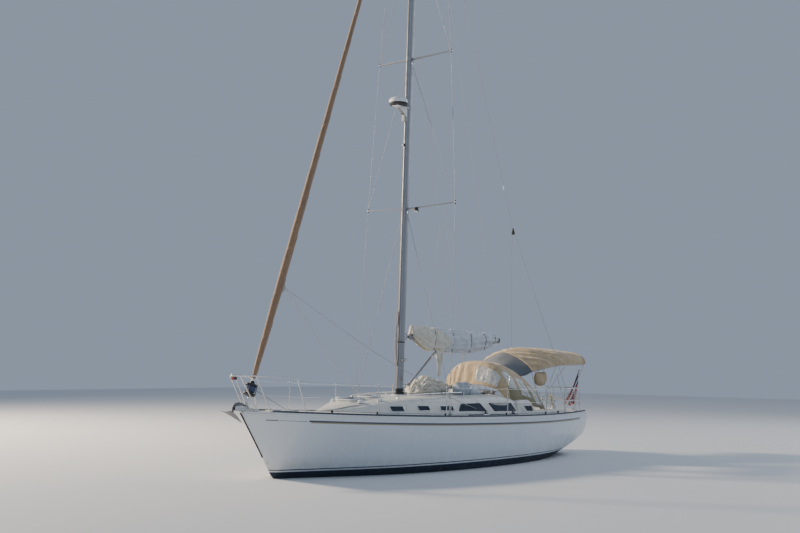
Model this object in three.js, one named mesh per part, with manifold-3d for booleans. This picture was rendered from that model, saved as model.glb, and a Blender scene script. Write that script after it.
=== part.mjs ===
// Cruising sloop of about 11 m, afloat: hull, deck, keel, rudder, rig, canvas and fittings.
// Millimetres. +X forward, +Y to port, +Z up; the origin is on the centreline at the waterline.
import * as THREE from 'three';
import { mergeVertices } from 'three/addons/utils/BufferGeometryUtils.js';
import Module from 'manifold-3d';

const wasm = await Module();
wasm.setup();

// Driving dimensions
const STEM_X = 5700; // stemhead, forward of the origin
const LENGTH = 11060; // of the hull at the sheer
const GAP = 0.3; // what two seated pieces keep between them
const HULL_WALL = 40;
const DECK_THICK = 30;
const WALL = 30; // coachroof and cockpit mouldings
const CAMBER = 60; // rise of the deck at midbreadth
const SIDES = [['port', 1], ['stbd', -1]];

// A distance aft of the stemhead, as an X position
const aft = (distance) => STEM_X - distance;

// Colours, read as the finish of each piece
const FINISH = {
  gelcoat: [0xe9edf0, 0.35, 0],
  deck: [0xe4e2da, 0.55, 0],
  antifoul: [0x14202f, 0.8, 0],
  glass: [0x0f1a26, 0.12, 0],
  steel: [0xc7cacc, 0.25, 1],
  alloy: [0xb9bcbf, 0.4, 1],
  darkAlloy: [0x4d5866, 0.5, 0.6],
  galvanised: [0x5d6062, 0.6, 0.8],
  bronze: [0x8a6a3a, 0.4, 1],
  black: [0x1b1c1e, 0.6, 0],
  tanCanvas: [0xa98f6b, 0.9, 0],
  greyCanvas: [0x59626b, 0.9, 0],
  sailcloth: [0xb9c0c6, 0.8, 0],
  cream: [0xd3c8ae, 0.85, 0],
  navyCanvas: [0x2a3648, 0.9, 0],
  ensign: [0xa32a2a, 0.85, 0],
  engineGrey: [0x59706a, 0.6, 0.3],
  teak: [0x8a6542, 0.7, 0],
};

// Geometry helpers

function solid(geometry) {
  const bare = geometry.clone();
  for (const name of ['normal', 'uv']) bare.deleteAttribute(name);
  const merged = mergeVertices(bare, 1e-3);
  const mesh = new wasm.Mesh({
    numProp: 3,
    vertProperties: new Float32Array(merged.attributes.position.array),
    triVerts: new Uint32Array(merged.index.array),
  });
  return new wasm.Manifold(mesh);
}

function asGeometry(body) {
  const mesh = body.getMesh();
  const geometry = new THREE.BufferGeometry();
  geometry.setAttribute('position', new THREE.BufferAttribute(mesh.vertProperties.slice(), 3));
  geometry.setIndex(new THREE.BufferAttribute(mesh.triVerts.slice(), 1));
  geometry.computeVertexNormals();
  return geometry;
}

const joined = (bodies) => bodies.reduce((all, one) => all.add(one));
const cut = (body, ...tools) => tools.reduce((rest, tool) => rest.subtract(tool), body);
const largest = (body) => body.decompose().sort((a, b) => b.volume() - a.volume())[0];
const mirrored = (body) => body.mirror([0, 1, 0]);
const onSide = (body, sign) => (sign > 0 ? body : mirrored(body));

// Rings of equal length, each a closed polygon, skinned and capped at both ends. Sides from the one
// numbered turned are cut along their other diagonal, so that both faces of a thin sheet run parallel
function loft(rings, turned = Infinity) {
  const count = rings[0].length;
  const vertices = rings.flat();
  const faces = [];
  for (let r = 0; r + 1 < rings.length; r++) {
    for (let i = 0; i < count; i++) {
      const j = (i + 1) % count;
      const [a, b] = [r * count + i, r * count + j];
      const [c, d] = [b + count, a + count];
      faces.push(...(i < turned ? [[a, b, c], [a, c, d]] : [[a, b, d], [b, c, d]]));
    }
  }
  const ends = [[rings[0], 0, true], [rings.at(-1), (rings.length - 1) * count, false]];
  for (const [ring, start, flip] of ends) {
    for (const [a, b, c] of THREE.ShapeUtils.triangulateShape(flatten(ring), [])) {
      faces.push(flip ? [start + a, start + c, start + b] : [start + a, start + b, start + c]);
    }
  }
  const geometry = new THREE.BufferGeometry();
  const coordinates = vertices.flatMap((v) => v.toArray());
  geometry.setAttribute('position', new THREE.Float32BufferAttribute(coordinates, 3));
  geometry.setIndex(faces.flat());
  const body = solid(geometry);
  if (body.volume() > 0) return body;
  geometry.setIndex(faces.map(([a, b, c]) => [a, c, b]).flat());
  return solid(geometry);
}

// The ring's own plane, so that its cap can be cut into triangles
function flatten(ring) {
  const centre = ring.reduce((sum, v) => sum.add(v), new THREE.Vector3()).divideScalar(ring.length);
  const normal = new THREE.Vector3();
  ring.forEach((v, i) => {
    const next = ring[(i + 1) % ring.length];
    normal.add(v.clone().sub(centre).cross(next.clone().sub(centre)));
  });
  normal.normalize();
  const across = ring[0].clone().sub(centre).normalize();
  const up = normal.clone().cross(across);
  return ring.map((v) => {
    const offset = v.clone().sub(centre);
    return new THREE.Vector2(offset.dot(across), offset.dot(up));
  });
}

const point = (x, y, z) => new THREE.Vector3(x, y, z);

// A round bar along a line of points, mitred at its bends
function bar(points, radius, sides = 8, endRadius = radius) {
  const places = points.map((p) => point(...p));
  const rings = places.map((place, i) => {
    const before = places[Math.max(i - 1, 0)];
    const after = places[Math.min(i + 1, places.length - 1)];
    const into = place.clone().sub(before).normalize();
    const out = after.clone().sub(place).normalize();
    const axis = (i === 0 ? out : i === places.length - 1 ? into : into.clone().add(out)).normalize();
    const bend = i > 0 && i < places.length - 1 ? Math.max(into.dot(axis), 0.4) : 1;
    return { place, axis, bend, fold: out.clone().sub(into) };
  });
  let side = point(0, 0, 1).cross(rings[0].axis);
  if (side.length() < 0.05) side = point(0, 1, 0).cross(rings[0].axis);
  const swept = rings.map(({ place, axis, bend, fold }, i) => {
    side = side.clone().addScaledVector(axis, -side.dot(axis)).normalize();
    const up = axis.clone().cross(side);
    const size = radius + ((endRadius - radius) * i) / (rings.length - 1);
    const crease = fold.addScaledVector(axis, -fold.dot(axis));
    const creased = crease.length() > 1e-6;
    if (creased) crease.normalize();
    return Array.from({ length: sides }, (_, k) => {
      const angle = ((k + 0.5) / sides) * 2 * Math.PI;
      const offset = side.clone().multiplyScalar(Math.cos(angle) * size);
      offset.addScaledVector(up, Math.sin(angle) * size);
      if (creased) offset.addScaledVector(crease, offset.dot(crease) * (1 / bend - 1));
      return place.clone().add(offset);
    });
  });
  return loft(swept);
}

// Points of an arc that leaves `from`, passes its highest point above the middle and ends at `to`
// Where `span` is below 1 only that middle share of the arc is given
function archPoints(from, crown, to, steps, fullness = 2.6, span = 1) {
  return Array.from({ length: steps + 1 }, (_, i) => {
    const t = 0.5 + span * (i / steps - 0.5);
    const side = 2 * t - 1;
    const lift = Math.pow(Math.max(1 - Math.pow(Math.abs(side), fullness), 0), 1 / fullness);
    const base = from.map((v, k) => v + (to[k] - v) * t);
    const middle = from.map((v, k) => (v + to[k]) / 2);
    return base.map((v, k) => v + (crown[k] - middle[k]) * lift);
  });
}

const box = (low, high) => {
  const size = high.map((v, k) => v - low[k]);
  const geometry = new THREE.BoxGeometry(...size);
  geometry.translate(...low.map((v, k) => v + size[k] / 2));
  return solid(geometry);
};

// An upright cylinder, or a cone where the two radii differ
const post = ([x, y, z], radius, height, sides = 16, topRadius = radius) => {
  const geometry = new THREE.CylinderGeometry(topRadius, radius, height, sides);
  geometry.rotateX(Math.PI / 2);
  geometry.translate(x, y, z + height / 2);
  return solid(geometry);
};

// A closed outline drawn in XZ and carried through from one Y to another
function plateXZ(outline, fromY, toY) {
  return loft([fromY, toY].map((y) => outline.map(([x, z]) => point(x, y, z))));
}

// A closed outline drawn in XY, standing between two heights
function plateXY(outline, fromZ, toZ) {
  return loft([fromZ, toZ].map((z) => outline.map(([x, y]) => point(x, y, z))));
}

const roundedRectangle = (x, y, length, width, radius) => {
  const points = [];
  const corners = [[1, 1, 0], [-1, 1, 90], [-1, -1, 180], [1, -1, 270]];
  for (const [sx, sy, start] of corners) {
    for (const step of [0, 45, 90]) {
      const angle = THREE.MathUtils.degToRad(start + step);
      points.push([
        x + sx * (length / 2 - radius) + radius * Math.cos(angle),
        y + sy * (width / 2 - radius) + radius * Math.sin(angle),
      ]);
    }
  }
  return points;
};

// What rests on a surface is trimmed by that surface, raised by the seat gap
const seatedOn = (body, support) => body.subtract(support.translate([0, 0, GAP]));
const hungUnder = (body, support) => body.subtract(support.translate([0, 0, -GAP]));

const root = new THREE.Group();

function place(name, body, finish) {
  const [colour, roughness, metalness] = FINISH[finish];
  const material = new THREE.MeshStandardMaterial({ color: colour, roughness, metalness });
  const mesh = new THREE.Mesh(asGeometry(body), material);
  mesh.name = name;
  root.add(mesh);
  return body;
}

// Hull

// Stations: aft of stemhead, half breadth at the sheer, height of the sheer, height of the lowest point,
// and two exponents that set how full the section is
const STATIONS = [
  { at: 0, half: 26, sheer: 1360, low: 1335, bilge: 1.1, flat: 1.3 },
  { at: 230, half: 215, sheer: 1350, low: 1005, bilge: 1.1, flat: 1.3 },
  { at: 520, half: 440, sheer: 1340, low: 580, bilge: 1.15, flat: 1.3 },
  { at: 905, half: 690, sheer: 1319, low: 10, bilge: 1.2, flat: 1.3 },
  { at: 1300, half: 905, sheer: 1301, low: -165, bilge: 1.4, flat: 1.35 },
  { at: 2000, half: 1195, sheer: 1268, low: -300, bilge: 1.9, flat: 1.5 },
  { at: 3000, half: 1490, sheer: 1226, low: -415, bilge: 2.7, flat: 1.8 },
  { at: 4200, half: 1710, sheer: 1184, low: -495, bilge: 3.5, flat: 2.05 },
  { at: 5600, half: 1825, sheer: 1146, low: -530, bilge: 4, flat: 2.2 },
  { at: 7000, half: 1840, sheer: 1117, low: -495, bilge: 4.1, flat: 2.25 },
  { at: 8300, half: 1765, sheer: 1099, low: -385, bilge: 3.9, flat: 2.2 },
  { at: 9400, half: 1625, sheer: 1096, low: -220, bilge: 3.5, flat: 2.15 },
  { at: 10300, half: 1460, sheer: 1104, low: -45, bilge: 3.2, flat: 2.1 },
  { at: 10800, half: 1350, sheer: 1114, low: 75, bilge: 3.1, flat: 2.1 },
  { at: LENGTH, half: 1290, sheer: 1119, low: 150, bilge: 3.1, flat: 2.1 },
];

// A row of a table at a distance that lies between two of its rows
function between(table, distance) {
  const next = Math.max(table.findIndex((row) => row.at >= distance), 1);
  const [a, b] = [table[next - 1], table[next]];
  const t = (distance - a.at) / (b.at - a.at);
  return Object.fromEntries(Object.keys(a).map((key) => [key, a[key] + (b[key] - a[key]) * t]));
}
const stationAt = (distance) => between(STATIONS, distance);

const SECTION_STEPS = 9;

// Half breadth of a section at one height
function halfAt({ half, sheer, low, bilge, flat }, z) {
  const share = Math.min(Math.max((z - low) / (sheer - low), 0), 1);
  return half * Math.pow(1 - Math.pow(1 - share, bilge), 1 / flat);
}

// A section from the lowest point up to a given top, both sides, set in by a wall
function hullRing(station, wall = 0, top = station.sheer) {
  const low = station.low + wall;
  const half = [];
  for (let i = 0; i <= SECTION_STEPS; i++) {
    const z = low + (top - low) * Math.pow(i / SECTION_STEPS, 1.7);
    half.push([Math.max(halfAt(station, z - wall) - wall, 0), z]);
  }
  const x = aft(station.at);
  const port = half.map(([y, z]) => point(x, y, z));
  const stbd = half.slice(1).map(([y, z]) => point(x, -y, z)).reverse();
  return [...port, ...stbd];
}

const seam = (station) => station.sheer - DECK_THICK - GAP;
const hullSolid = loft(STATIONS.map((station) => hullRing(station, 0, seam(station))));

// The hollow inside the hull, from behind the stem to ahead of the transom
const hollowStations = STATIONS.filter(({ at }) => at > 1000 && at < 10500)
  .concat([{ ...stationAt(10940) }]);
const hullHollow = loft(hollowStations.map((station) => hullRing(station, HULL_WALL, station.sheer + 100)));

// Rudder stock, shaft line and their openings in the hull
const RUDDER = { at: 9950, stock: 38, top: -190, depth: 1500, chordTop: 620, chordFoot: 420, lead: 130 };
const SHAFT = { from: [aft(8250), 0, -340], to: [aft(9330), 0, -560], radius: 16 };
const bearing = (radius) => radius + 0.6;
const shaftLine = (radius) => bar([SHAFT.from, SHAFT.to], radius, 24);

const stockHole = post([aft(RUDDER.at), 0, -400], bearing(RUDDER.stock), 600, 32);

// Anchor locker in the foredeck, a moulded tub let into the bow
const LOCKER = { at: 1120, length: 520, width: 420, floor: 1120, wall: 25 };
const lockerBox = (grow, floor, top) => box(
  [aft(LOCKER.at) - LOCKER.length / 2 - grow, -LOCKER.width / 2 - grow, floor],
  [aft(LOCKER.at) + LOCKER.length / 2 + grow, LOCKER.width / 2 + grow, top],
);
const lockerRoom = lockerBox(GAP, LOCKER.floor - LOCKER.wall - GAP, 1500);
const hull = cut(hullSolid, hullHollow, stockHole, shaftLine(bearing(SHAFT.radius)), lockerRoom);
place('hull', hull, 'gelcoat');

// Deck moulding

function deckRing(station, thickness) {
  const x = aft(station.at);
  const breadth = [1, 0.75, 0.45, 0, -0.45, -0.75, -1];
  const camber = CAMBER * Math.min(station.half / 1200, 1);
  const upper = breadth.map((s) => point(x, station.half * s, station.sheer + camber * (1 - s * s)));
  const under = upper.map((p) => point(p.x, p.y, p.z - thickness)).reverse();
  return [...upper, ...under];
}
const deckPlate = loft(STATIONS.map((station) => deckRing(station, DECK_THICK)));
// The same surface carried deep down, for trimming what stands on the deck
const deckBlock = loft(STATIONS.map((station) => deckRing(station, 400)));

function deckHeight(distance, y) {
  const station = stationAt(distance);
  const camber = CAMBER * Math.min(station.half / 1200, 1);
  return station.sheer + camber * (1 - Math.pow(y / station.half, 2));
}

// Coachroof: aft of stemhead, half width at the deck and at the shoulder, height of shoulder, height of crown
const ROOF = [
  { at: 2080, foot: 120, shoulder: 100, side: 1300, crown: 1322 },
  { at: 2300, foot: 290, shoulder: 210, side: 1318, crown: 1350 },
  { at: 2520, foot: 460, shoulder: 330, side: 1350, crown: 1395 },
  { at: 2700, foot: 580, shoulder: 440, side: 1380, crown: 1445 },
  { at: 2930, foot: 730, shoulder: 580, side: 1410, crown: 1498 },
  { at: 3200, foot: 870, shoulder: 730, side: 1450, crown: 1525 },
  { at: 3600, foot: 1020, shoulder: 890, side: 1505, crown: 1560 },
  { at: 4800, foot: 1170, shoulder: 1050, side: 1562, crown: 1610 },
  { at: 6300, foot: 1240, shoulder: 1105, side: 1570, crown: 1625 },
  { at: 7350, foot: 1230, shoulder: 1090, side: 1566, crown: 1622 },
  { at: 7750, foot: 1205, shoulder: 1065, side: 1508, crown: 1615 },
  { at: 8000, foot: 1185, shoulder: 1050, side: 1455, crown: 1606 },
  { at: 8120, foot: 1175, shoulder: 1045, side: 1400, crown: 1600 },
];
const ROOF_LOW = 1050; // the coachroof's walls run down past the deck

function roofRing({ at, foot, shoulder, side, crown }, wall = 0, low = ROOF_LOW) {
  const x = aft(at);
  const half = [
    [foot - wall, low],
    [foot - wall, Math.min(deckHeight(at, foot) - 10, side - 30)],
    [shoulder + 0.35 * (foot - shoulder) - wall, side - 45 - wall * 0.6],
    [shoulder - 0.25 * (foot - shoulder) - wall, side - wall],
    [shoulder * 0.5, side + (crown - side) * 0.78 - wall],
    [0, crown - wall],
  ];
  const port = half.map(([y, z]) => point(x, y, z));
  const stbd = half.slice(0, -1).map(([y, z]) => point(x, -y, z)).reverse();
  return [...port, ...stbd];
}
const roofSolid = loft(ROOF.map((section) => roofRing(section)));
const roofHollow = loft([
  ...ROOF.slice(1, -2).map((section) => roofRing({ ...section, at: section.at + 40 }, WALL, ROOF_LOW - 60)),
  roofRing({ ...ROOF.at(-1), at: 8040 }, WALL, ROOF_LOW - 60),
]);

// Cockpit: a seat level and a foot well inside a moulded tub
const COCKPIT = {
  front: 8120, back: 10450, half: 900, seat: 800, wellHalf: 400, sole: 420, wellBack: 10150,
};
function tub(grow, raise) {
  const seatPart = box(
    [aft(COCKPIT.back) - grow, -COCKPIT.half - grow, COCKPIT.seat - grow],
    [aft(COCKPIT.front) + grow, COCKPIT.half + grow, raise],
  );
  const well = box(
    [aft(COCKPIT.wellBack) - grow, -COCKPIT.wellHalf - grow, COCKPIT.sole - grow],
    [aft(COCKPIT.front) + grow, COCKPIT.wellHalf + grow, COCKPIT.seat + grow],
  );
  return seatPart.add(well);
}
const tubSolid = tub(WALL, 1130);
const tubHollow = tub(0, 2000);

// Coamings: a wall each side of the cockpit, high beside the companionway and low further aft
const COAMING = [
  { at: 7940, inner: 905, outer: 1165, high: 1447 },
  { at: 8560, inner: 905, outer: 1150, high: 1436 },
  { at: 8760, inner: 905, outer: 1140, high: 1262 },
  { at: 9800, inner: 905, outer: 1080, high: 1205 },
  { at: 10350, inner: 905, outer: 1040, high: 1190 },
  { at: 10620, inner: 905, outer: 1000, high: 1125 },
];
const coaming = loft(COAMING.map(({ at, inner, outer, high }) => [
  point(aft(at), inner, ROOF_LOW), point(aft(at), outer + 15, ROOF_LOW),
  point(aft(at), outer, high - 30), point(aft(at), outer - 35, high), point(aft(at), inner, high),
]));

// Companionway through the aft face and the roof
const COMPANION = { half: 330, front: 7450, sill: 900 };
const companionCut = box([aft(8400), -COMPANION.half, COMPANION.sill], [aft(8000), COMPANION.half, 1900])
  .add(box([aft(8400), -COMPANION.half, 1500], [aft(COMPANION.front), COMPANION.half, 1900]));

// Deck hatches in the roof: name, aft of stemhead at the middle, length, width
const ROOF_HATCHES = [
  { name: 'fore_hatch_lid', at: 3190, size: [520, 470] },
  { name: 'mid_hatch_lid', at: 3780, size: [400, 420] },
];
// A lid lies on a coaming that is tilted with the roof's slope
const LID = { thick: 34, coaming: 26 };
const roofAt = (distance) => between(ROOF, distance);
function onHatch(hatch, shrink, low, high) {
  const [length, width] = hatch.size;
  const front = roofAt(hatch.at - length / 2).crown;
  const back = roofAt(hatch.at + length / 2).crown;
  const middle = Math.max((front + back) / 2, roofAt(hatch.at).crown);
  const outline = roundedRectangle(0, 0, length - shrink, width - shrink, 40);
  const lean = (back - front) / length;
  const onRoof = (rise) => outline.map(([x, y]) => point(aft(hatch.at) + x, y, middle + rise - x * lean));
  return loft([low, high].map(onRoof));
}
const hatchLid = (hatch) => onHatch(hatch, 0, LID.coaming + GAP, LID.coaming + LID.thick);
const hatchCoamings = ROOF_HATCHES.map((hatch) => onHatch(hatch, 40, -60, LID.coaming));
const hatchHoles = ROOF_HATCHES.map(({ at, size: [length, width] }) => box(
  [aft(at) - length / 2 + 40, -width / 2 + 40, 1300],
  [aft(at) + length / 2 - 40, width / 2 - 40, 1900],
));

// Side windows: corners in X and Z as seen from the side, four a pane
const WINDOWS = [
  { name: 'window_fwd', corners: [[54, 1422], [-674, 1425], [-879, 1240], [178, 1267]] },
  { name: 'window_aft', corners: [[-1017, 1427], [-2020, 1412], [-2180, 1204], [-1201, 1231]] },
];
// The same outline with each edge moved inwards
function inset(outline, distance) {
  const turn = Math.sign(THREE.ShapeUtils.area(outline.map(([x, z]) => new THREE.Vector2(x, z))));
  const edges = outline.map(([x, z], i) => {
    const [nextX, nextZ] = outline[(i + 1) % outline.length];
    const size = Math.hypot(nextX - x, nextZ - z);
    const [ux, uz] = [(nextX - x) / size, (nextZ - z) / size];
    return { x: x - turn * uz * distance, z: z + turn * ux * distance, ux, uz };
  });
  return edges.map((edge, i) => {
    const last = edges[(i + edges.length - 1) % edges.length];
    const cross = last.ux * edge.uz - last.uz * edge.ux;
    const along = ((edge.x - last.x) * edge.uz - (edge.z - last.z) * edge.ux) / cross;
    return [last.x + last.ux * along, last.z + last.uz * along];
  });
}
const windowPrism = (corners, shrink) => plateXZ(inset(corners, shrink), 700, 1500);
const windowHoles = WINDOWS.flatMap(({ corners }) => {
  const hole = windowPrism(corners, 0);
  return [hole, mirrored(hole)];
});

const anchorTub = lockerBox(0, LOCKER.floor - LOCKER.wall, 1500).intersect(deckBlock);
const anchorWell = lockerBox(-LOCKER.wall, LOCKER.floor, 1500);

const MAST = { at: 4818, foot: 1630, head: 16200, long: 215, wide: 125, rake: 0.0289 };

// Winch bases carry the drums on a central pin
const WINCHES = { at: 9900, half: 985, base: 62, pin: 22 };
const winchBase = (side) => post([aft(WINCHES.at), side * WINCHES.half, 1150], WINCHES.base, 160, 16)
  .add(post([aft(WINCHES.at), side * WINCHES.half, 1250], WINCHES.pin, 170, 16));

// Runners for the sliding hatch, and the hood that it slides under
const SLIDE = { front: 7370, back: 8190, half: 372, low: 1640, thick: 40 };
const HOOD = { front: 6640, back: 7370, half: 400, wall: 22, room: 6, top: 1718 };
const hatchRunner = box(
  [aft(8150), SLIDE.half - 36, 1560], [aft(HOOD.front + 10), SLIDE.half - 8, SLIDE.low],
);
const hoodBlock = box([aft(HOOD.back), -HOOD.half, 1560], [aft(HOOD.front), HOOD.half, HOOD.top]);
const hood = hoodBlock.subtract(
  box([aft(HOOD.back + 50), -SLIDE.half - HOOD.room, 1600],
    [aft(HOOD.front + HOOD.wall), SLIDE.half + HOOD.room, HOOD.top - HOOD.wall]),
).add(roofSolid.intersect(hoodBlock));
const deckShell = joined([deckPlate, roofSolid, tubSolid, coaming, mirrored(coaming), anchorTub,
  winchBase(1), winchBase(-1), ...hatchCoamings,
  hood, hatchRunner, mirrored(hatchRunner)]);
const mastPad = post([aft(MAST.at), 0, MAST.foot - 50], 190, 50, 16);
const deck = cut(
  deckShell.add(mastPad),
  roofHollow, tubHollow.subtract(coaming).subtract(mirrored(coaming)), companionCut, anchorWell,
  ...hatchHoles, ...windowHoles,
);
place('deck', deck, 'deck');

for (const { name, corners } of WINDOWS) {
  const thin = loft(ROOF.map((section) => roofRing(section, 10, ROOF_LOW - 60)));
  for (const [side, sign] of SIDES) {
    const pane = onSide(windowPrism(corners, 0.4), sign).intersect(roofSolid.subtract(thin));
    place(`${name}_${side}`, pane, 'glass');
  }
}

// Keel, rudder, shaft strut, propeller

// A foil section in XY: its leading edge, chord and thickness
function foilRing(leading, chord, thick, z, slope = 0) {
  const shares = [0, 0.04, 0.14, 0.35, 0.65, 1];
  const widths = [0, 0.27, 0.42, 0.5, 0.36, 0.03];
  const port = shares.map((s, i) => (
    point(aft(leading + s * chord), widths[i] * thick, z + slope * s * chord)
  ));
  const stbd = port.slice(1).map((p) => point(p.x, -p.y, p.z));
  return [...port, ...stbd.reverse()];
}

// Keel sections: height, leading edge, chord, thickness
const KEEL = [
  [-380, 4780, 1850, 210], [-1500, 5060, 1420, 165], [-1690, 5050, 1480, 200],
  [-1800, 4990, 1680, 360], [-1890, 4990, 1680, 370], [-1950, 5080, 1500, 220],
];
const keel = loft(KEEL.map(([z, leading, chord, thick]) => foilRing(leading, chord, thick, z)));
place('keel', hungUnder(keel, hullSolid), 'antifoul');

const bladeLead = RUDDER.at - RUDDER.lead;
const rudder = loft([
  foilRing(bladeLead, RUDDER.chordTop, 110, RUDDER.top, 0.17),
  foilRing(bladeLead + 40, RUDDER.chordFoot + 60, 90, -RUDDER.depth + 200),
  foilRing(bladeLead + 70, RUDDER.chordFoot - 60, 60, -RUDDER.depth),
]).add(post([aft(RUDDER.at), 0, -600], RUDDER.stock, 850, 24));
place('rudder', rudder, 'antifoul');

const shaftSlope = (SHAFT.to[2] - SHAFT.from[2]) / (SHAFT.to[0] - SHAFT.from[0]);
const shaftHeight = (x) => SHAFT.from[2] + (x - SHAFT.from[0]) * shaftSlope;
const shaftAt = (distance) => [aft(distance), 0, shaftHeight(aft(distance))];
const STRUT = { at: 9200, barrel: 34, half: 60, arm: 45, thick: 18 };
const strutFoot = shaftAt(STRUT.at);
const strut = loft([
  [strutFoot[2], STRUT.arm], [-100, STRUT.arm + 15],
].map(([z, half]) => [[half, 0], [0, STRUT.thick / 2], [-half, 0], [0, -STRUT.thick / 2]]
  .map(([dx, dy]) => point(strutFoot[0] + dx, dy, z))))
  .add(bar([shaftAt(STRUT.at - STRUT.half), shaftAt(STRUT.at + STRUT.half)], STRUT.barrel, 16));
place('shaft_strut', hungUnder(cut(strut, shaftLine(bearing(SHAFT.radius))), hullSolid), 'bronze');

const PROP = { at: 9330, hub: 40, blade: 215, blades: 3 };
const shaftAxis = point(SHAFT.from[0] - SHAFT.to[0], 0, SHAFT.from[2] - SHAFT.to[2]).normalize();
const shaftUp = point(0, 1, 0).cross(shaftAxis).negate();
const shaftFrame = new THREE.Matrix4().makeBasis(shaftAxis, point(0, 1, 0), shaftUp)
  .setPosition(point(...shaftAt(PROP.at)));
// Blade sections: distance out, chord, thickness, angle of the chord to the shaft
const BLADE = [
  [20, 70, 16, 28], [90, 120, 11, 48], [160, 130, 8, 60], [205, 90, 5, 66], [PROP.blade, 40, 4, 68],
];
function propBlade(turn) {
  return loft(BLADE.map(([radius, chord, thick, angle]) => {
    const lean = THREE.MathUtils.degToRad(angle);
    return [[0.5, 0], [0.2, 0.5], [-0.2, 0.5], [-0.5, 0], [-0.2, -0.5], [0.2, -0.5]].map(([s, t]) => {
      const [along, acrossChord] = [s * chord, t * thick];
      const flat = point(
        along * Math.cos(lean) - acrossChord * Math.sin(lean),
        along * Math.sin(lean) + acrossChord * Math.cos(lean),
        radius,
      );
      return flat.applyAxisAngle(point(1, 0, 0), turn).applyMatrix4(shaftFrame);
    });
  }));
}
const bladeTurns = Array.from({ length: PROP.blades }, (_, i) => (i / PROP.blades) * 2 * Math.PI);
const propeller = joined([
  bar([shaftAt(8302), shaftAt(PROP.at + 30)], SHAFT.radius, 16),
  bar([shaftAt(PROP.at - 55), shaftAt(PROP.at + 45)], PROP.hub, 16),
  bar([shaftAt(PROP.at + 40), shaftAt(PROP.at + 95)], PROP.hub, 16, 14),
  ...bladeTurns.map(propBlade),
]);
place('propeller', propeller, 'bronze');

// Cabin sole with the steps, and the engine behind them

const SOLE = { from: 2500, to: 7640, top: -110, thick: 20 };
const ENGINE = { from: 7650, to: 8300, half: 250, top: 250 };
const soleRoom = [[0, 0, GAP], [0, GAP, 0], [0, -GAP, 0]]
  .map((shift) => hullHollow.translate(shift)).reduce((all, one) => all.intersect(one));
const soleEnds = box([aft(SOLE.to), -2000, SOLE.top - SOLE.thick], [aft(SOLE.from), 2000, SOLE.top]);
const STEP_OUTLINE = [[7300, -125], [7300, 150], [7550, 150], [7550, 400], [7800, 400], [7800, 650],
  [8035, 650], [8035, 270], [7630, 270], [7630, -125]];
const steps = plateXZ(STEP_OUTLINE.map(([at, z]) => [aft(at), z]), -300, 300);
place('cabin_sole', soleEnds.intersect(soleRoom).add(steps), 'teak');

const engine = box([aft(ENGINE.to), -ENGINE.half, -500], [aft(ENGINE.from), ENGINE.half, ENGINE.top]);
place('engine', engine.intersect(soleRoom), 'engineGrey');

// Toe rails along the deck edge

const RAIL = { from: 480, to: 10980, wide: 18, inset: 14, high: 42 };
const railStations = [
  stationAt(RAIL.from), ...STATIONS.filter(({ at }) => at > RAIL.from && at < RAIL.to), stationAt(RAIL.to),
];
const toeRail = loft(railStations.map(({ at, half, sheer }) => {
  const outer = half - RAIL.inset;
  return [[outer, -20], [outer, RAIL.high], [outer - RAIL.wide, RAIL.high], [outer - RAIL.wide, -20]]
    .map(([y, z]) => point(aft(at), y, sheer + z));
}));
for (const [side, sign] of SIDES) {
  place(`toe_rail_${side}`, seatedOn(onSide(toeRail, sign), deckBlock), 'darkAlloy');
}

// Stem fitting with the bow roller, and the anchor on it

const ROLLER = { at: -130, z: 1425, radius: 34 };
const cheekOutline = [[430, 1330], [430, 1400], [100, 1440], [-110, 1482], [-178, 1465], [-182, 1402],
  [-120, 1385], [-10, 1372], [-10, 1300]].map(([at, z]) => [aft(at), z]);
const cheek = plateXZ(cheekOutline, 38, 44);
const stemPlate = box([aft(430), -60, 1300], [aft(-5), 60, 1378]);
const tang = plateXZ([[190, 1330], [190, 1500], [170, 1530], [110, 1530], [90, 1500], [90, 1330]]
  .map(([at, z]) => [aft(at), z]), -5, 5);
const roller = bar([[aft(ROLLER.at), -39, ROLLER.z], [aft(ROLLER.at), 39, ROLLER.z]], ROLLER.radius, 16);
const stemFitting = seatedOn(joined([
  cheek, mirrored(cheek), stemPlate, tang, roller,
]).subtract(hullSolid.translate([0, 0, GAP])), deckBlock);
place('stem_fitting', stemFitting, 'steel');

const shankTop = ROLLER.z + ROLLER.radius;
const SHANK = [[130, shankTop], [130, shankTop + 34], [-50, shankTop + 94], [-160, shankTop + 70],
  [-222, shankTop + 8], [-230, 1300], [-180, 1290], [-182, 1440], [-140, shankTop + 2], [-60, shankTop + 22]];
const shank = plateXZ(SHANK.map(([at, z]) => [aft(at), z]), -9, 9);
// Fluke sections: aft of stemhead, half width, height at the middle, at the edges and underneath
const FLUKE = [[-392, 150, 1374, 1400, 1352], [-230, 122, 1312, 1318, 1284], [-90, 64, 1232, 1232, 1206],
  [43, 8, 1146, 1143, 1138]];
const fluke = loft(FLUKE.map(([at, half, middle, edges, under]) => [
  [0, middle], [half, edges], [0, under], [-half, edges],
].map(([y, z]) => point(aft(at), y, z))));
place('anchor', shank.add(fluke).subtract(stemFitting.translate([0, 0, GAP])), 'galvanised');

// Guard rails: pulpit, pushpit, stanchions with lifelines

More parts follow.
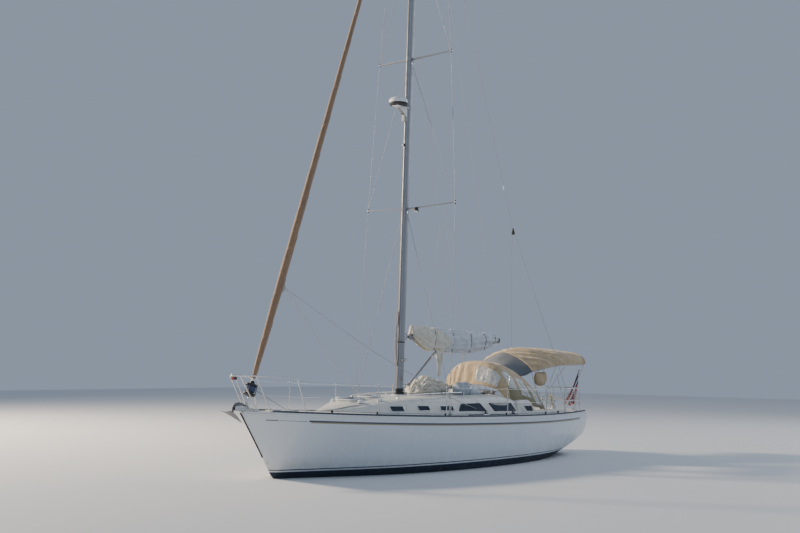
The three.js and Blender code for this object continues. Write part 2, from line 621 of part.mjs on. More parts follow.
const TUBE = 13;
const both = (build) => [build(1), build(-1)];
const PULPIT = { top: 2060, knee: [880, 680, 1985] };
const pulpitTop = [PULPIT.knee, [830, 658, 2025], [300, 410, PULPIT.top], [110, 308, PULPIT.top],
  [-170, 150, PULPIT.top + 10], [-245, 0, PULPIT.top + 15]];
const mirrorPath = (path) => [...path, ...path.slice(0, -1).reverse().map(([at, y, z]) => [at, -y, z])];
const fromStem = (path) => path.map(([at, y, z]) => [aft(at), y, z]);
const foot = (at, y) => [at, y, deckHeight(at, Math.abs(y)) - 12];
const base = (at, y) => post([aft(at), y, deckHeight(at, Math.abs(y)) - 12], 32, 22, 8);
const tube = (path) => bar(fromStem(path), TUBE, 8);
const PULPIT_LEGS = [
  { head: PULPIT.knee, at: 1100, y: 720 },
  { head: [110, 308, PULPIT.top], at: 490, y: 330 },
  { head: [-170, 150, PULPIT.top + 10], at: 285, y: 180 },
];
const pulpitSide = (s) => joined([
  ...PULPIT_LEGS.flatMap(({ head: [at, y, z], at: footAt, y: footY }) => [
    tube([[at, s * y, z], foot(footAt, s * footY)]), base(footAt, s * footY),
  ]),
]);
const pulpit = joined([tube(mirrorPath(pulpitTop)), ...both(pulpitSide)]);
place('pulpit', seatedOn(pulpit, deckBlock), 'steel');

const PUSHPIT = { top: 1740, mid: 1430 };
const STAFF = { foot: [10960, 772, PUSHPIT.mid - 40], head: [11420, 860, 2230], radius: 12 };
const PUSHPIT_PATH = [
  [9620, 1500], [10300, 1385], [10750, 1290], [10900, 1160], [10960, 900], [10960, 300], [10960, 0],
];
const PUSHPIT_LEGS = [[9620, 1500], [10300, 1385], [10900, 1160], [10960, 300]];
const pushpitRail = (height) => tube(mirrorPath(PUSHPIT_PATH.map(([at, y]) => [at, y, height])));
const pushpitLeg = ([at, y]) => joined([tube([[at, y, PUSHPIT.top], foot(at, y)]), base(at, y)]);
const pushpit = joined([
  pushpitRail(PUSHPIT.top), pushpitRail(PUSHPIT.mid),
  ...PUSHPIT_LEGS.flatMap(([at, y]) => both((s) => pushpitLeg([at, s * y]))),
  bar(fromStem([STAFF.foot, STAFF.head]), STAFF.radius, 8),
]);
place('pushpit', seatedOn(pushpit, deckBlock), 'steel');

const STANCHIONS = [2600, 4450, 6650, 8480];
const LINE = { low: 330, high: 640, radius: 4, inset: 75 };
// Each line's height, and where it meets the pulpit: aft of stemhead, to port and up
const LINE_STARTS = [[LINE.low, [1011, 712, 1659]], [LINE.high, [916, 696, 1960]]];
const edge = (at, up) => {
  const { half, sheer } = stationAt(at);
  return [aft(at), half - LINE.inset, sheer + up];
};
const lifelines = joined([
  ...STANCHIONS.map((at) => {
    const { half } = stationAt(at);
    return joined([bar([edge(at, LINE.high + 15), edge(at, -10)], TUBE - 1, 8), base(at, half - LINE.inset)]);
  }),
  ...LINE_STARTS.map(([up, start]) => bar([
    ...fromStem([start]),
    ...STANCHIONS.map((at) => edge(at, up)),
    [aft(9620) + TUBE + 6, 1506, stationAt(9620).sheer + up - 20],
  ], LINE.radius, 5)),
]);
for (const [side, sign] of SIDES) {
  place(`lifelines_${side}`, seatedOn(onSide(lifelines, sign), deckBlock), 'steel');
}

// Handrails on the coachroof

const GRAB = { from: 3950, to: 6350, half: 690, rise: 60, feet: 5 };
const grabHeight = (at) => roofAt(at).side + (roofAt(at).crown - roofAt(at).side) * 0.5;
const grabStep = (GRAB.to - GRAB.from) / (GRAB.feet - 1);
const grabStops = Array.from({ length: GRAB.feet }, (_, i) => GRAB.from + grabStep * i);
const grabRail = joined([
  bar(grabStops.map((at) => [aft(at), GRAB.half, grabHeight(at) + GRAB.rise]), 15, 6),
  ...grabStops.map((at) => post([aft(at), GRAB.half, grabHeight(at) - 60], 16, GRAB.rise + 60, 8)),
]);
for (const [side, sign] of SIDES) {
  place(`handrail_${side}`, seatedOn(onSide(grabRail, sign), roofSolid), 'steel');
}

// Lids and hatches

for (const hatch of ROOF_HATCHES) place(hatch.name, hatchLid(hatch), 'gelcoat');
const lockerLid = lockerBox(12, 1250, 1500)
  .intersect(deckBlock.translate([0, 0, 16])).subtract(deckBlock.translate([0, 0, GAP]));
place('anchor_locker_lid', lockerLid, 'deck');

const slideSection = [
  [1, 0], [1, 0.6], [0.5, 1], [-0.5, 1], [-1, 0.6], [-1, 0],
].map(([across, up]) => [across * SLIDE.half, SLIDE.low + GAP + up * SLIDE.thick]);
const slideRing = (at) => slideSection.map(([y, z]) => point(aft(at), y, z));
const slideTop = loft([SLIDE.front, SLIDE.back].map(slideRing));
const slideLip = box([aft(SLIDE.back), -310, 1565], [aft(SLIDE.back - 25), 310, SLIDE.low + 10]);
place('companionway_hatch', slideTop.add(slideLip), 'gelcoat');

const SEAT_LID = { from: 8480, to: 9380, inner: 430, outer: 870, thick: 22 };
const seatLid = plateXY(roundedRectangle(
  aft((SEAT_LID.from + SEAT_LID.to) / 2), (SEAT_LID.inner + SEAT_LID.outer) / 2,
  SEAT_LID.to - SEAT_LID.from, SEAT_LID.outer - SEAT_LID.inner, 30,
), COCKPIT.seat + GAP, COCKPIT.seat + SEAT_LID.thick);
place('locker_lid_port', seatLid, 'deck');
place('locker_lid_stbd', mirrored(seatLid), 'deck');

// Winch drums on their pins
const DRUM_PROFILE = [
  [23, 0], [60, 0], [60, 14], [44, 30], [44, 80], [58, 104], [58, 116], [23, 116], [23, 0],
];
function winchDrum(sign) {
  const geometry = new THREE.LatheGeometry(DRUM_PROFILE.map(([r, z]) => new THREE.Vector2(r, z)), 24);
  geometry.rotateX(Math.PI / 2);
  geometry.translate(aft(WINCHES.at), sign * WINCHES.half, 1310 + GAP);
  return solid(geometry);
}
for (const [side, sign] of SIDES) place(`winch_${side}`, winchDrum(sign), 'steel');

// Steering pedestal and wheel

const WHEEL = { at: 9660, z: 1250, radius: 430, rim: 14, spokes: 5, pin: 16, hub: 48 };
const CORNERS = [[1, 1], [-1, 1], [-1, -1], [1, -1]];
const PEDESTAL = { at: 9480, sections: [[COCKPIT.sole + GAP, 120, 110], [700, 80, 75], [1330, 80, 85]] };
const pedestal = joined([
  loft(PEDESTAL.sections.map(([z, dx, dy]) => (
    CORNERS.map(([sx, sy]) => point(aft(PEDESTAL.at) + sx * dx, sy * dy, z))
  ))),
  bar([[aft(9500), 0, WHEEL.z], [aft(WHEEL.at + 60), 0, WHEEL.z]], WHEEL.pin, 16),
  post([aft(9470), 0, 1325], 95, 70, 16, 60),
]);
place('steering_pedestal', pedestal, 'gelcoat');

const rim = new THREE.TorusGeometry(WHEEL.radius, WHEEL.rim, 8, 36);
rim.rotateY(Math.PI / 2);
rim.translate(aft(WHEEL.at), 0, WHEEL.z);
const spokes = Array.from({ length: WHEEL.spokes }, (_, i) => {
  const turn = (i / WHEEL.spokes) * 2 * Math.PI;
  return bar([[aft(WHEEL.at), 20 * Math.sin(turn), WHEEL.z + 20 * Math.cos(turn)],
    [aft(WHEEL.at), WHEEL.radius * Math.sin(turn), WHEEL.z + WHEEL.radius * Math.cos(turn)]], 8, 6);
});
const hub = bar([[aft(WHEEL.at - 30), 0, WHEEL.z], [aft(WHEEL.at + 30), 0, WHEEL.z]], WHEEL.hub, 16);
const hubBore = bar(
  [[aft(WHEEL.at - 40), 0, WHEEL.z], [aft(WHEEL.at + 80), 0, WHEEL.z]], bearing(WHEEL.pin) + 0.3, 24,
);
place('steering_wheel', joined([solid(rim), hub, ...spokes]).subtract(hubBore), 'steel');

// Mast, with the brackets that carry the boom and its strut

const mastX = (z) => aft(MAST.at) - (z - MAST.foot) * MAST.rake;
const OVAL = 12;
function mastRing(z, grow = 0, taper = 1) {
  return Array.from({ length: OVAL }, (_, i) => {
    const angle = (i / OVAL) * 2 * Math.PI;
    return point(
      mastX(z) + (MAST.long / 2 + grow) * taper * Math.cos(angle),
      (MAST.wide / 2 + grow) * taper * Math.sin(angle),
      z,
    );
  });
}
// The after face of the mast at one height
const mastBack = (z) => mastX(z) - MAST.long / 2;

const BOOM = { pivot: 660, z: 2960, pin: 14, long: 3740, high: 140, wide: 92, jaw: 60 };
const VANG = { z: 1820, pin: 12, reach: 1440, radius: 30, eye: 34 };
function bracket(z, half, pin) {
  const ears = [z + half, z - half - 14].map((low) => (
    box([BOOM.pivot - pin - 8, -26, low], [mastBack(z) + 25, 26, low + 14])
  ));
  return joined([...ears, post([BOOM.pivot, 0, z - half - 8], pin, 2 * half + 16, 16)]);
}
const truck = box(
  [mastX(MAST.head) - 170, -30, MAST.head - 30], [mastX(MAST.head) + 110, 30, MAST.head + 12],
);
const mast = joined([
  loft([mastRing(MAST.foot + GAP), mastRing(MAST.head - 900), mastRing(MAST.head, 0, 0.8)]),
  bracket(BOOM.z, BOOM.jaw, BOOM.pin), bracket(VANG.z, VANG.eye, VANG.pin), truck,
]);
place('mast', mast, 'alloy');

// Spreaders, each pair held by a collar round the mast
const SPREADERS = [
  { name: 'spreaders_lower', z: 5950, half: 1330, sweep: 190 },
  { name: 'spreaders_mid', z: 9560, half: 1100, sweep: 170 },
  { name: 'spreaders_upper', z: 12900, half: 810, sweep: 130 },
];
const SPREADER = { rise: 80, rootChord: 130, tipChord: 75, thick: 24, collar: 12 };
const tipOf = ({ z, half, sweep }) => [mastX(z) - sweep, half, z + SPREADER.rise];
const spreaderPairs = [];
for (const spreader of SPREADERS) {
  const sections = [[0, SPREADER.rootChord, 0, 0], [1, SPREADER.tipChord, spreader.sweep, SPREADER.rise]];
  const arm = loft(sections.map(([share, chord, back, up]) => (
    [[0.5, 0], [0.1, 0.5], [-0.5, 0], [0.1, -0.5]].map(([s, v]) => point(
      mastX(spreader.z) - back + s * chord, share * spreader.half, spreader.z + up + v * SPREADER.thick,
    ))
  )));
  const collar = loft([-45, 45].map((dz) => mastRing(spreader.z + dz, SPREADER.collar)));
  const mastSpace = loft([-300, 300].map((dz) => mastRing(spreader.z + dz, GAP + 0.2)));
  spreaderPairs.push(place(spreader.name, joined([arm, mirrored(arm), collar]).subtract(mastSpace), 'alloy'));
}

// Standing rigging

const WIRE = 5;
const wire = (points, radius = WIRE, sides = 6) => bar(points, radius, sides);
const CHAINPLATE = { at: 4890, y: 1425 };
const chainFoot = [aft(CHAINPLATE.at), CHAINPLATE.y, deckHeight(CHAINPLATE.at, CHAINPLATE.y) - 10];
const aboveFoot = (rise, dx) => [chainFoot[0] + dx, chainFoot[1], chainFoot[2] + rise];
const outside = (spreader, gap = WIRE + 1.3) => {
  const [x, y, z] = tipOf(spreader);
  return [x, y + gap, z];
};
const atMast = (z, gap = 14) => [mastX(z), MAST.wide / 2 + gap, z];
const [lower, mid, upper] = SPREADERS;
const [chainX, chainY, chainZ] = chainFoot;
const shrouds = joined([
  box([chainX - 55, chainY - 10, chainZ - 5], [chainX + 55, chainY + 10, chainZ + 100]),
  wire([aboveFoot(70, 20), aboveFoot(330, 20)], 11, 8),
  wire([aboveFoot(70, -25), aboveFoot(330, -30)], 11, 8),
  wire([aboveFoot(320, 20), outside(lower), outside(mid), outside(upper), atMast(MAST.head - 120, 8)]),
  wire([aboveFoot(320, -30), atMast(lower.z - 120)]),
  wire([outside(lower), atMast(mid.z - 120)]),
  wire([outside(mid), atMast(upper.z - 120)]),
]);
for (const [side, sign] of SIDES) {
  const tips = spreaderPairs.flatMap((pair) => [pair, pair.translate([0, sign * GAP, 0])]);
  place(`shrouds_${side}`, seatedOn(cut(onSide(shrouds, sign), ...tips), deckBlock), 'steel');
}

const FORESTAY = { foot: [aft(140), 0, 1500], head: [mastX(MAST.head) + 100, 0, MAST.head - 60], radius: 6 };
const stayDirection = point(...FORESTAY.head).sub(point(...FORESTAY.foot)).normalize();
const stayPoint = (z) => {
  const t = (z - FORESTAY.foot[2]) / (FORESTAY.head[2] - FORESTAY.foot[2]);
  return FORESTAY.foot.map((v, k) => v + (FORESTAY.head[k] - v) * t);
};
const toggle = box([FORESTAY.foot[0] - 14, -14, 1500], [FORESTAY.foot[0] + 18, 14, 1550]);
const forestay = joined([bar([stayPoint(1535), stayPoint(MAST.head - 60)], FORESTAY.radius, 8), toggle])
  .subtract(stemFitting.translate([0, 0, GAP]));
place('forestay', forestay.subtract(mast.translate([0, 0, -GAP])), 'steel');

// Furled headsail and the drum that turns it, both bored for the stay
const stayBore = (low, high) => bar([stayPoint(low), stayPoint(high)], FORESTAY.radius + 1, 8);
// Height and radius of each section
const FURLED = [
  [2010, 42], [2300, 55], [3300, 76], [3900, 84], [5000, 80], [7500, 66], [10600, 48],
  [13500, 34], [15200, 22],
];
const stayUp = new THREE.Matrix4().makeBasis(
  point(0, 1, 0).cross(stayDirection).normalize(), point(0, 1, 0), stayDirection,
);
function stayRing(z, radius, sides = 10, bulge = () => 1) {
  const centre = point(...stayPoint(z));
  return Array.from({ length: sides }, (_, i) => {
    const angle = (i / sides) * 2 * Math.PI;
    const size = radius * bulge(angle);
    return point(size * Math.cos(angle), size * Math.sin(angle), 0).applyMatrix4(stayUp).add(centre);
  });
}
const genoa = loft(FURLED.map(([z, radius]) => stayRing(z, radius)));
const clew = loft([[3700, 40], [3900, 150], [4060, 70]].map(([z, reach]) => stayRing(z, 84, 10,
  (angle) => (Math.cos(angle - Math.PI) > 0.9 ? 1 + reach / 84 : 0.8))));
place('genoa_furled', genoa.add(clew).subtract(stayBore(1900, 15400)), 'tanCanvas');

const DRUM = [
  [1660, 60], [1690, 125], [1720, 125], [1750, 80], [1870, 80], [1900, 125], [1930, 125], [1960, 50],
];
const drum = loft(DRUM.map(([z, radius]) => stayRing(z, radius, 16)));
place('furler_drum', drum.subtract(stayBore(1500, 2200)), 'black');

// Backstay in one wire to a splitter, then a leg to each quarter
const SPLIT = { at: 9440, z: 5850 };
const QUARTER = [10860, 1000];
const quarterFoot = (s) => [aft(QUARTER[0]), s * QUARTER[1], deckHeight(...QUARTER) - 10];
const backstay = joined([
  wire([[mastX(MAST.head) - 160, 0, MAST.head - 38], [aft(SPLIT.at), 0, SPLIT.z]], WIRE),
  box([aft(SPLIT.at) - 30, -60, SPLIT.z - 50], [aft(SPLIT.at) + 30, 60, SPLIT.z + 40]),
  ...both((s) => wire([[aft(SPLIT.at), s * 40, SPLIT.z - 20], quarterFoot(s)], WIRE)),
  ...both((s) => box([aft(QUARTER[0]) - 30, s * QUARTER[1] - 8, quarterFoot(s)[2] - 2],
    [aft(QUARTER[0]) + 30, s * QUARTER[1] + 8, quarterFoot(s)[2] + 90])),
]);
place('backstay', seatedOn(backstay, deckBlock), 'steel');

// Boom, its strut and the mainsail flaked along it

const boomEnd = BOOM.pivot - BOOM.long;
const boomRing = (x) => Array.from({ length: 10 }, (_, i) => {
  const angle = (i / 10) * 2 * Math.PI;
  return point(x, (BOOM.wide / 2) * Math.cos(angle), BOOM.z + (BOOM.high / 2) * Math.sin(angle));
});
const jawBore = (z, half, pin) => post([BOOM.pivot, 0, z - half - 5], bearing(pin), 2 * half + 10, 24);
const boom = joined([
  loft([boomRing(BOOM.pivot - 70), boomRing(boomEnd)]),
  box([BOOM.pivot - 110, -20, BOOM.z - BOOM.jaw + GAP], [BOOM.pivot, 20, BOOM.z + BOOM.jaw - GAP]),
  post([BOOM.pivot, 0, BOOM.z - BOOM.jaw + GAP], 26, 2 * (BOOM.jaw - GAP), 16),
]).subtract(jawBore(BOOM.z, BOOM.jaw, BOOM.pin));
place('boom', boom, 'alloy');

const vangTop = [BOOM.pivot - VANG.reach, 0, BOOM.z - BOOM.high / 2 + 5];
const vang = joined([
  post([BOOM.pivot, 0, VANG.z - VANG.eye + GAP], 26, 2 * (VANG.eye - GAP), 16),
  box([BOOM.pivot - 105, -12, VANG.z - 30], [BOOM.pivot, 12, VANG.z + 30]),
  bar([[BOOM.pivot - 85, 0, VANG.z + 12], vangTop], VANG.radius, 10),
]).subtract(jawBore(VANG.z, VANG.eye, VANG.pin));
place('vang', vang.subtract(boom.translate([0, 0, -GAP])), 'alloy');

// Flaked sail: X, how far it drops on the port side, its height above the boom and its width
const FLAKES = [
  { x: 480, drop: 60, rise: 210, wide: 90 },
  { x: 60, drop: 330, rise: 190, wide: 165 },
  { x: -700, drop: 400, rise: 170, wide: 205 },
  { x: -1500, drop: 430, rise: 150, wide: 215 },
  { x: -2300, drop: 330, rise: 120, wide: 190 },
  { x: -2950, drop: 110, rise: 80, wide: 110 },
];
const sail = loft(FLAKES.map(({ x, drop, rise, wide }) => [
  [-70, 0], [-95, rise * 0.5], [-20, rise], [wide * 0.6, rise * 0.8], [wide, -0.1 * drop],
  [wide * 0.85, -0.7 * drop], [wide * 0.5, -drop], [60, -0.8 * drop], [52, -10], [0, 2],
].map(([y, dz]) => point(x, y, BOOM.z + BOOM.high / 2 + dz))));
const boomRoom = [[0, 0, 0], [0, 0, GAP], [0, GAP, 0]].map((shift) => boom.translate(shift));
place('mainsail_flaked', cut(sail, ...boomRoom), 'sailcloth');

// Radome on a bracket ahead of the mast

const RADOME = { z: 8370, radius: 225, high: 200, ahead: 370 };
const radomeX = mastX(RADOME.z) + RADOME.ahead;
const domeProfile = [
  [0, 0], [190, 0], [RADOME.radius, 40], [RADOME.radius, 120], [190, 175],
  [100, RADOME.high], [0, RADOME.high],
];
const dome = new THREE.LatheGeometry(domeProfile.map(([r, z]) => new THREE.Vector2(r, z)), 20);
dome.rotateX(Math.PI / 2);
dome.translate(radomeX, 0, RADOME.z);
const mastSlot = loft([RADOME.z - 400, RADOME.z + 200].map((z) => mastRing(z, GAP + 0.2)));
const radome = joined([
  solid(dome),
  box([mastX(RADOME.z) + 60, -90, RADOME.z - 22], [radomeX + 120, 90, RADOME.z + 2]),
  box([mastX(RADOME.z) + 60, -14, RADOME.z - 150], [mastX(RADOME.z) + 140, 14, RADOME.z - 10]),
]).subtract(mastSlot);
place('radome', radome, 'gelcoat');

// Canvas over the companionway and the cockpit, on tube bows

// An arch across the boat as a thin band: its feet, its crown, its half width
const ARCH_STEPS = 10;
function archBand({ at, top = at, half, foot, crown, fullness, span }, thick) {
  const arch = (inward) => archPoints(
    [aft(at), -half + inward, foot], [aft(top), 0, crown - inward], [aft(at), half - inward, foot],
    ARCH_STEPS, fullness, span,
  );
  return [...arch(0), ...arch(thick).reverse()].map((p) => point(...p));
}
const DODGER = [
  { at: 7800, top: 7480, half: 920, foot: 1480, crown: 1850 },
  { at: 7950, top: 7680, half: 970, foot: 1440, crown: 2350 },
  { at: 8350, top: 8050, half: 1030, foot: 1380, crown: 2385, fullness: 2.4 },
  { at: 9350, top: 8450, half: 1085, foot: 1200, crown: 2370, fullness: 2 },
];
const CLOTH = 10;
const canvas = (arches) => loft(arches.map((arch) => archBand(arch, CLOTH)), ARCH_STEPS + 1);
const dodger = canvas(DODGER);
place('dodger_cloth', largest(cut(dodger, deck.translate([0, 0, GAP]), deck)), 'tanCanvas');

const BIMINI = [
  { at: 9000, half: 900, foot: 2180, crown: 2655, fullness: 1.35 },
  { at: 9900, half: 1090, foot: 2330, crown: 2770, fullness: 2 },
  { at: 11150, half: 1200, foot: 2370, crown: 2705, fullness: 2.8 },
];
const legSlots = both((s) => bar([[aft(SPLIT.at), s * 40, SPLIT.z - 20], quarterFoot(s)], 30, 8));
place('bimini_cloth', cut(canvas(BIMINI), ...legSlots), 'tanCanvas');
const LINK = [
  { at: 9350, top: 8440, half: 1096, foot: 1210, crown: 2381, fullness: 2, span: 0.7 },
  { ...BIMINI[0], at: BIMINI[0].at - GAP },
];
const link = canvas(LINK);
place('link_cloth', link.subtract(dodger.translate([0, 0, GAP])), 'greyCanvas');

const BOW = 13;
const bow = ({ foot: low, at, half, crown, knee, fullness }) => bar([
  [aft(low.at), -low.y, low.z],
  ...archPoints([aft(at), -half, knee], [aft(at), 0, crown], [aft(at), half, knee], ARCH_STEPS, fullness),
  [aft(low.at), low.y, low.z],
], BOW, 8);
const bowFoot = { at: 9300, y: 985, z: 1270 };
const BOWS = [
  { foot: bowFoot, at: 9022, half: 868, knee: 2155, crown: 2622, fullness: 1.35 },
  { foot: bowFoot, at: 9900, half: 1060, knee: 2305, crown: 2742, fullness: 2 },
  { foot: { at: 10500, y: 960, z: 1140 }, at: 11110, half: 1170, knee: 2340, crown: 2677, fullness: 2.8 },
];
const biminiFrame = joined([
  ...BOWS.map(bow),
  ...both((s) => bar(fromStem(BOWS.map(({ at, half, knee }) => [at, s * half, knee])), BOW - 3, 8)),
  ...both((s) => box([aft(9340), s * 985 - 28, 1220], [aft(9260), s * 985 + 28, 1300])),
]);
place('bimini_frame', largest(cut(biminiFrame, deck.translate([0, 0, GAP]), deck)), 'darkAlloy');

// Ensign on its staff

const ENSIGN = { upper: 0.97, lower: 0.52, thick: 6, waves: [[0, 0], [80, 20], [190, -16], [270, 8]] };
const staffAt = (share) => STAFF.head.map((v, k) => STAFF.foot[k] + (v - STAFF.foot[k]) * share);
const flag = loft([ENSIGN.upper, ENSIGN.lower].map((share) => {
  const [at, y, z] = staffAt(share);
  const face = (lift) => ENSIGN.waves.map(([dx, dy]) => (
    point(aft(at) + STAFF.radius + 2 + dx, y + dy + lift, z)
  ));
  return [...face(-ENSIGN.thick / 2), ...face(ENSIGN.thick / 2).reverse()];
}));
place('ensign', flag, 'ensign');

// Sail heap and bags lying on the coachroof

const HEAP = [
  { x: 560, half: 120, high: 120 }, { x: 350, half: 330, high: 320 }, { x: 0, half: 400, high: 430 },
  { x: -400, half: 380, high: 380 }, { x: -640, half: 260, high: 240 }, { x: -760, half: 100, high: 90 },
];
const BAG = [
  { x: -620, half: 110, high: 280 }, { x: -760, half: 140, high: 320 }, { x: -960, half: 140, high: 310 },
  { x: -1250, half: 130, high: 180 }, { x: -1480, half: 80, high: 100 },
];
// A lump lying on the roof, whose underside is the roof itself
const lump = (table, y, level) => seatedOn(loft(table.map(({ x, half, high }) => (
  Array.from({ length: 8 }, (_, i) => {
    const angle = (i / 8) * 2 * Math.PI;
    return point(x, y + half * Math.cos(angle), level + Math.max(high * Math.sin(angle), -150));
  })))), roofSolid);
place('sail_heap', lump(HEAP, 40, 1590).subtract(vang), 'cream');
place('sail_bag', lump(BAG, 556, 1575).subtract(grabRail), 'navyCanvas');

export default root;
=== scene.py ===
# %% [markdown]
# # A cruising sloop, dressed over its fixed frame
#
# The frame is a plain but exact model of an eleven metre sloop: each moving part is its own body.
# This lesson gives it the fair curves, cloth, ropes and finishes of the real boat.
# Loading the frame comes first, because every later piece takes its place from it.

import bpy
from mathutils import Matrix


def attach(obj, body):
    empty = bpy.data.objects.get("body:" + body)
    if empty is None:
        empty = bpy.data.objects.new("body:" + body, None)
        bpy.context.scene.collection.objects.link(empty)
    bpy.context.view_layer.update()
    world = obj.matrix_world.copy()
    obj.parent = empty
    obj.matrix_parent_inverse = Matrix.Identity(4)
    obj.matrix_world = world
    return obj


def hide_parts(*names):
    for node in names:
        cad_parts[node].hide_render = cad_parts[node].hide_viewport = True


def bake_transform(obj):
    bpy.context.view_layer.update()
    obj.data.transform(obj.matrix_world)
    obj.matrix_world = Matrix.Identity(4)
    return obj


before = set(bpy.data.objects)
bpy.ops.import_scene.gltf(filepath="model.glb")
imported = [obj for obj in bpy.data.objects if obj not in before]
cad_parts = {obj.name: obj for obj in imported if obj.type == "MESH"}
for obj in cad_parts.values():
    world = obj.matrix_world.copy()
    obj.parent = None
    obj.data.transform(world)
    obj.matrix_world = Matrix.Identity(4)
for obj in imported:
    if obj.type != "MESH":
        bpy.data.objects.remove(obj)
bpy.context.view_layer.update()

import math

import bmesh
import bpy
from mathutils import Matrix, Vector, noise
from mathutils.bvhtree import BVHTree

# %% [markdown]
# ## Camera
#
# The boat floats in front of a camera that stands about two metres above the waterline, off her port bow.
# A camera could be aimed by hand until the picture matches. Here its place, turn and lens come from
# measured sizes of the hull and rig, so the view repeats exactly. The small shift only frames the picture.

# %% Camera
STEM = 5.70


def aft(distance):
    """A distance aft of the stemhead, in metres, as an X position."""
    return STEM - distance


def aim_camera(place, yaw, pitch, roll, lens, shift):
    turn, tilt, lean = (math.radians(angle) for angle in (yaw, pitch, roll))
    ahead = Vector((-math.sin(turn) * math.cos(tilt), -math.cos(turn) * math.cos(tilt), math.sin(tilt)))
    level = Vector((-math.cos(turn), math.sin(turn), 0))
    top = level.cross(ahead)
    right = level * math.cos(lean) + top * math.sin(lean)
    top = right.cross(ahead)
    data = bpy.data.cameras.new("camera")
    data.lens = lens
    data.sensor_width = 36
    data.shift_x, data.shift_y = shift
    data.clip_end = 300
    camera = bpy.data.objects.new("camera", data)
    basis = Matrix((right, top, -ahead)).transposed().to_4x4()
    camera.matrix_world = Matrix.Translation(place) @ basis
    bpy.context.scene.collection.objects.link(camera)
    bpy.context.scene.camera = camera
    return camera


camera = aim_camera((20.39, 16.44, 2.34), yaw=51.6, pitch=5.55, roll=0.62, lens=49.4,
    shift=(-0.0425, -0.0119))
print("camera looks along", -camera.matrix_world.col[2].xyz)

# %% [markdown]
# ## Shader maths as expressions
#
# A material is a small program drawn as boxes and wires. Written box by box it is hard to read.
# One class wraps a socket, so that adding or multiplying two of them adds the Math node in between.
# A second class holds a material and makes every other node with one method.


# %% Sockets that add and multiply
class Wire:
    """A number that varies over a surface. Python operators on it add Math nodes."""

    def __init__(self, tree, socket):
        self.tree, self.socket = tree, socket

    def maths(self, operation, *others):
        node = self.tree.nodes.new("ShaderNodeMath")
        node.operation = operation
        for target, value in zip(node.inputs, others):
            if isinstance(value, Wire):
                self.tree.links.new(value.socket, target)
            else:
                target.default_value = value
        return Wire(self.tree, node.outputs[0])

    def __add__(self, other):
        return self.maths("ADD", self, other)

    def __radd__(self, other):
        return self.maths("ADD", other, self)

    def __sub__(self, other):
        return self.maths("SUBTRACT", self, other)

    def __rsub__(self, other):
        return self.maths("SUBTRACT", other, self)

    def __mul__(self, other):
        return self.maths("MULTIPLY", self, other)

    def __rmul__(self, other):
        return self.maths("MULTIPLY", other, self)

    def __truediv__(self, other):
        return self.maths("DIVIDE", self, other)

    def above(self, edge, soft=0.0):
        """1 where this is above an edge, 0 below, with a soft step between."""
        if not soft:
            return self.maths("GREATER_THAN", self, edge)
        return (((self - edge) / soft) + 0.5).limited()

    def between(self, low, high, soft=0.0):
        return self.above(low, soft) * (1 - self.above(high, soft))

    def limited(self):
        return self.maths("MAXIMUM", self.maths("MINIMUM", self, 1.0), 0.0)

    def sine(self):
        return self.maths("SINE", self)

    def size(self):
        return self.maths("ABSOLUTE", self)

    def wrapped(self, period):
        """Where this lies within each repeat, from 0 to 1."""
        return self.maths("FRACT", self / period)


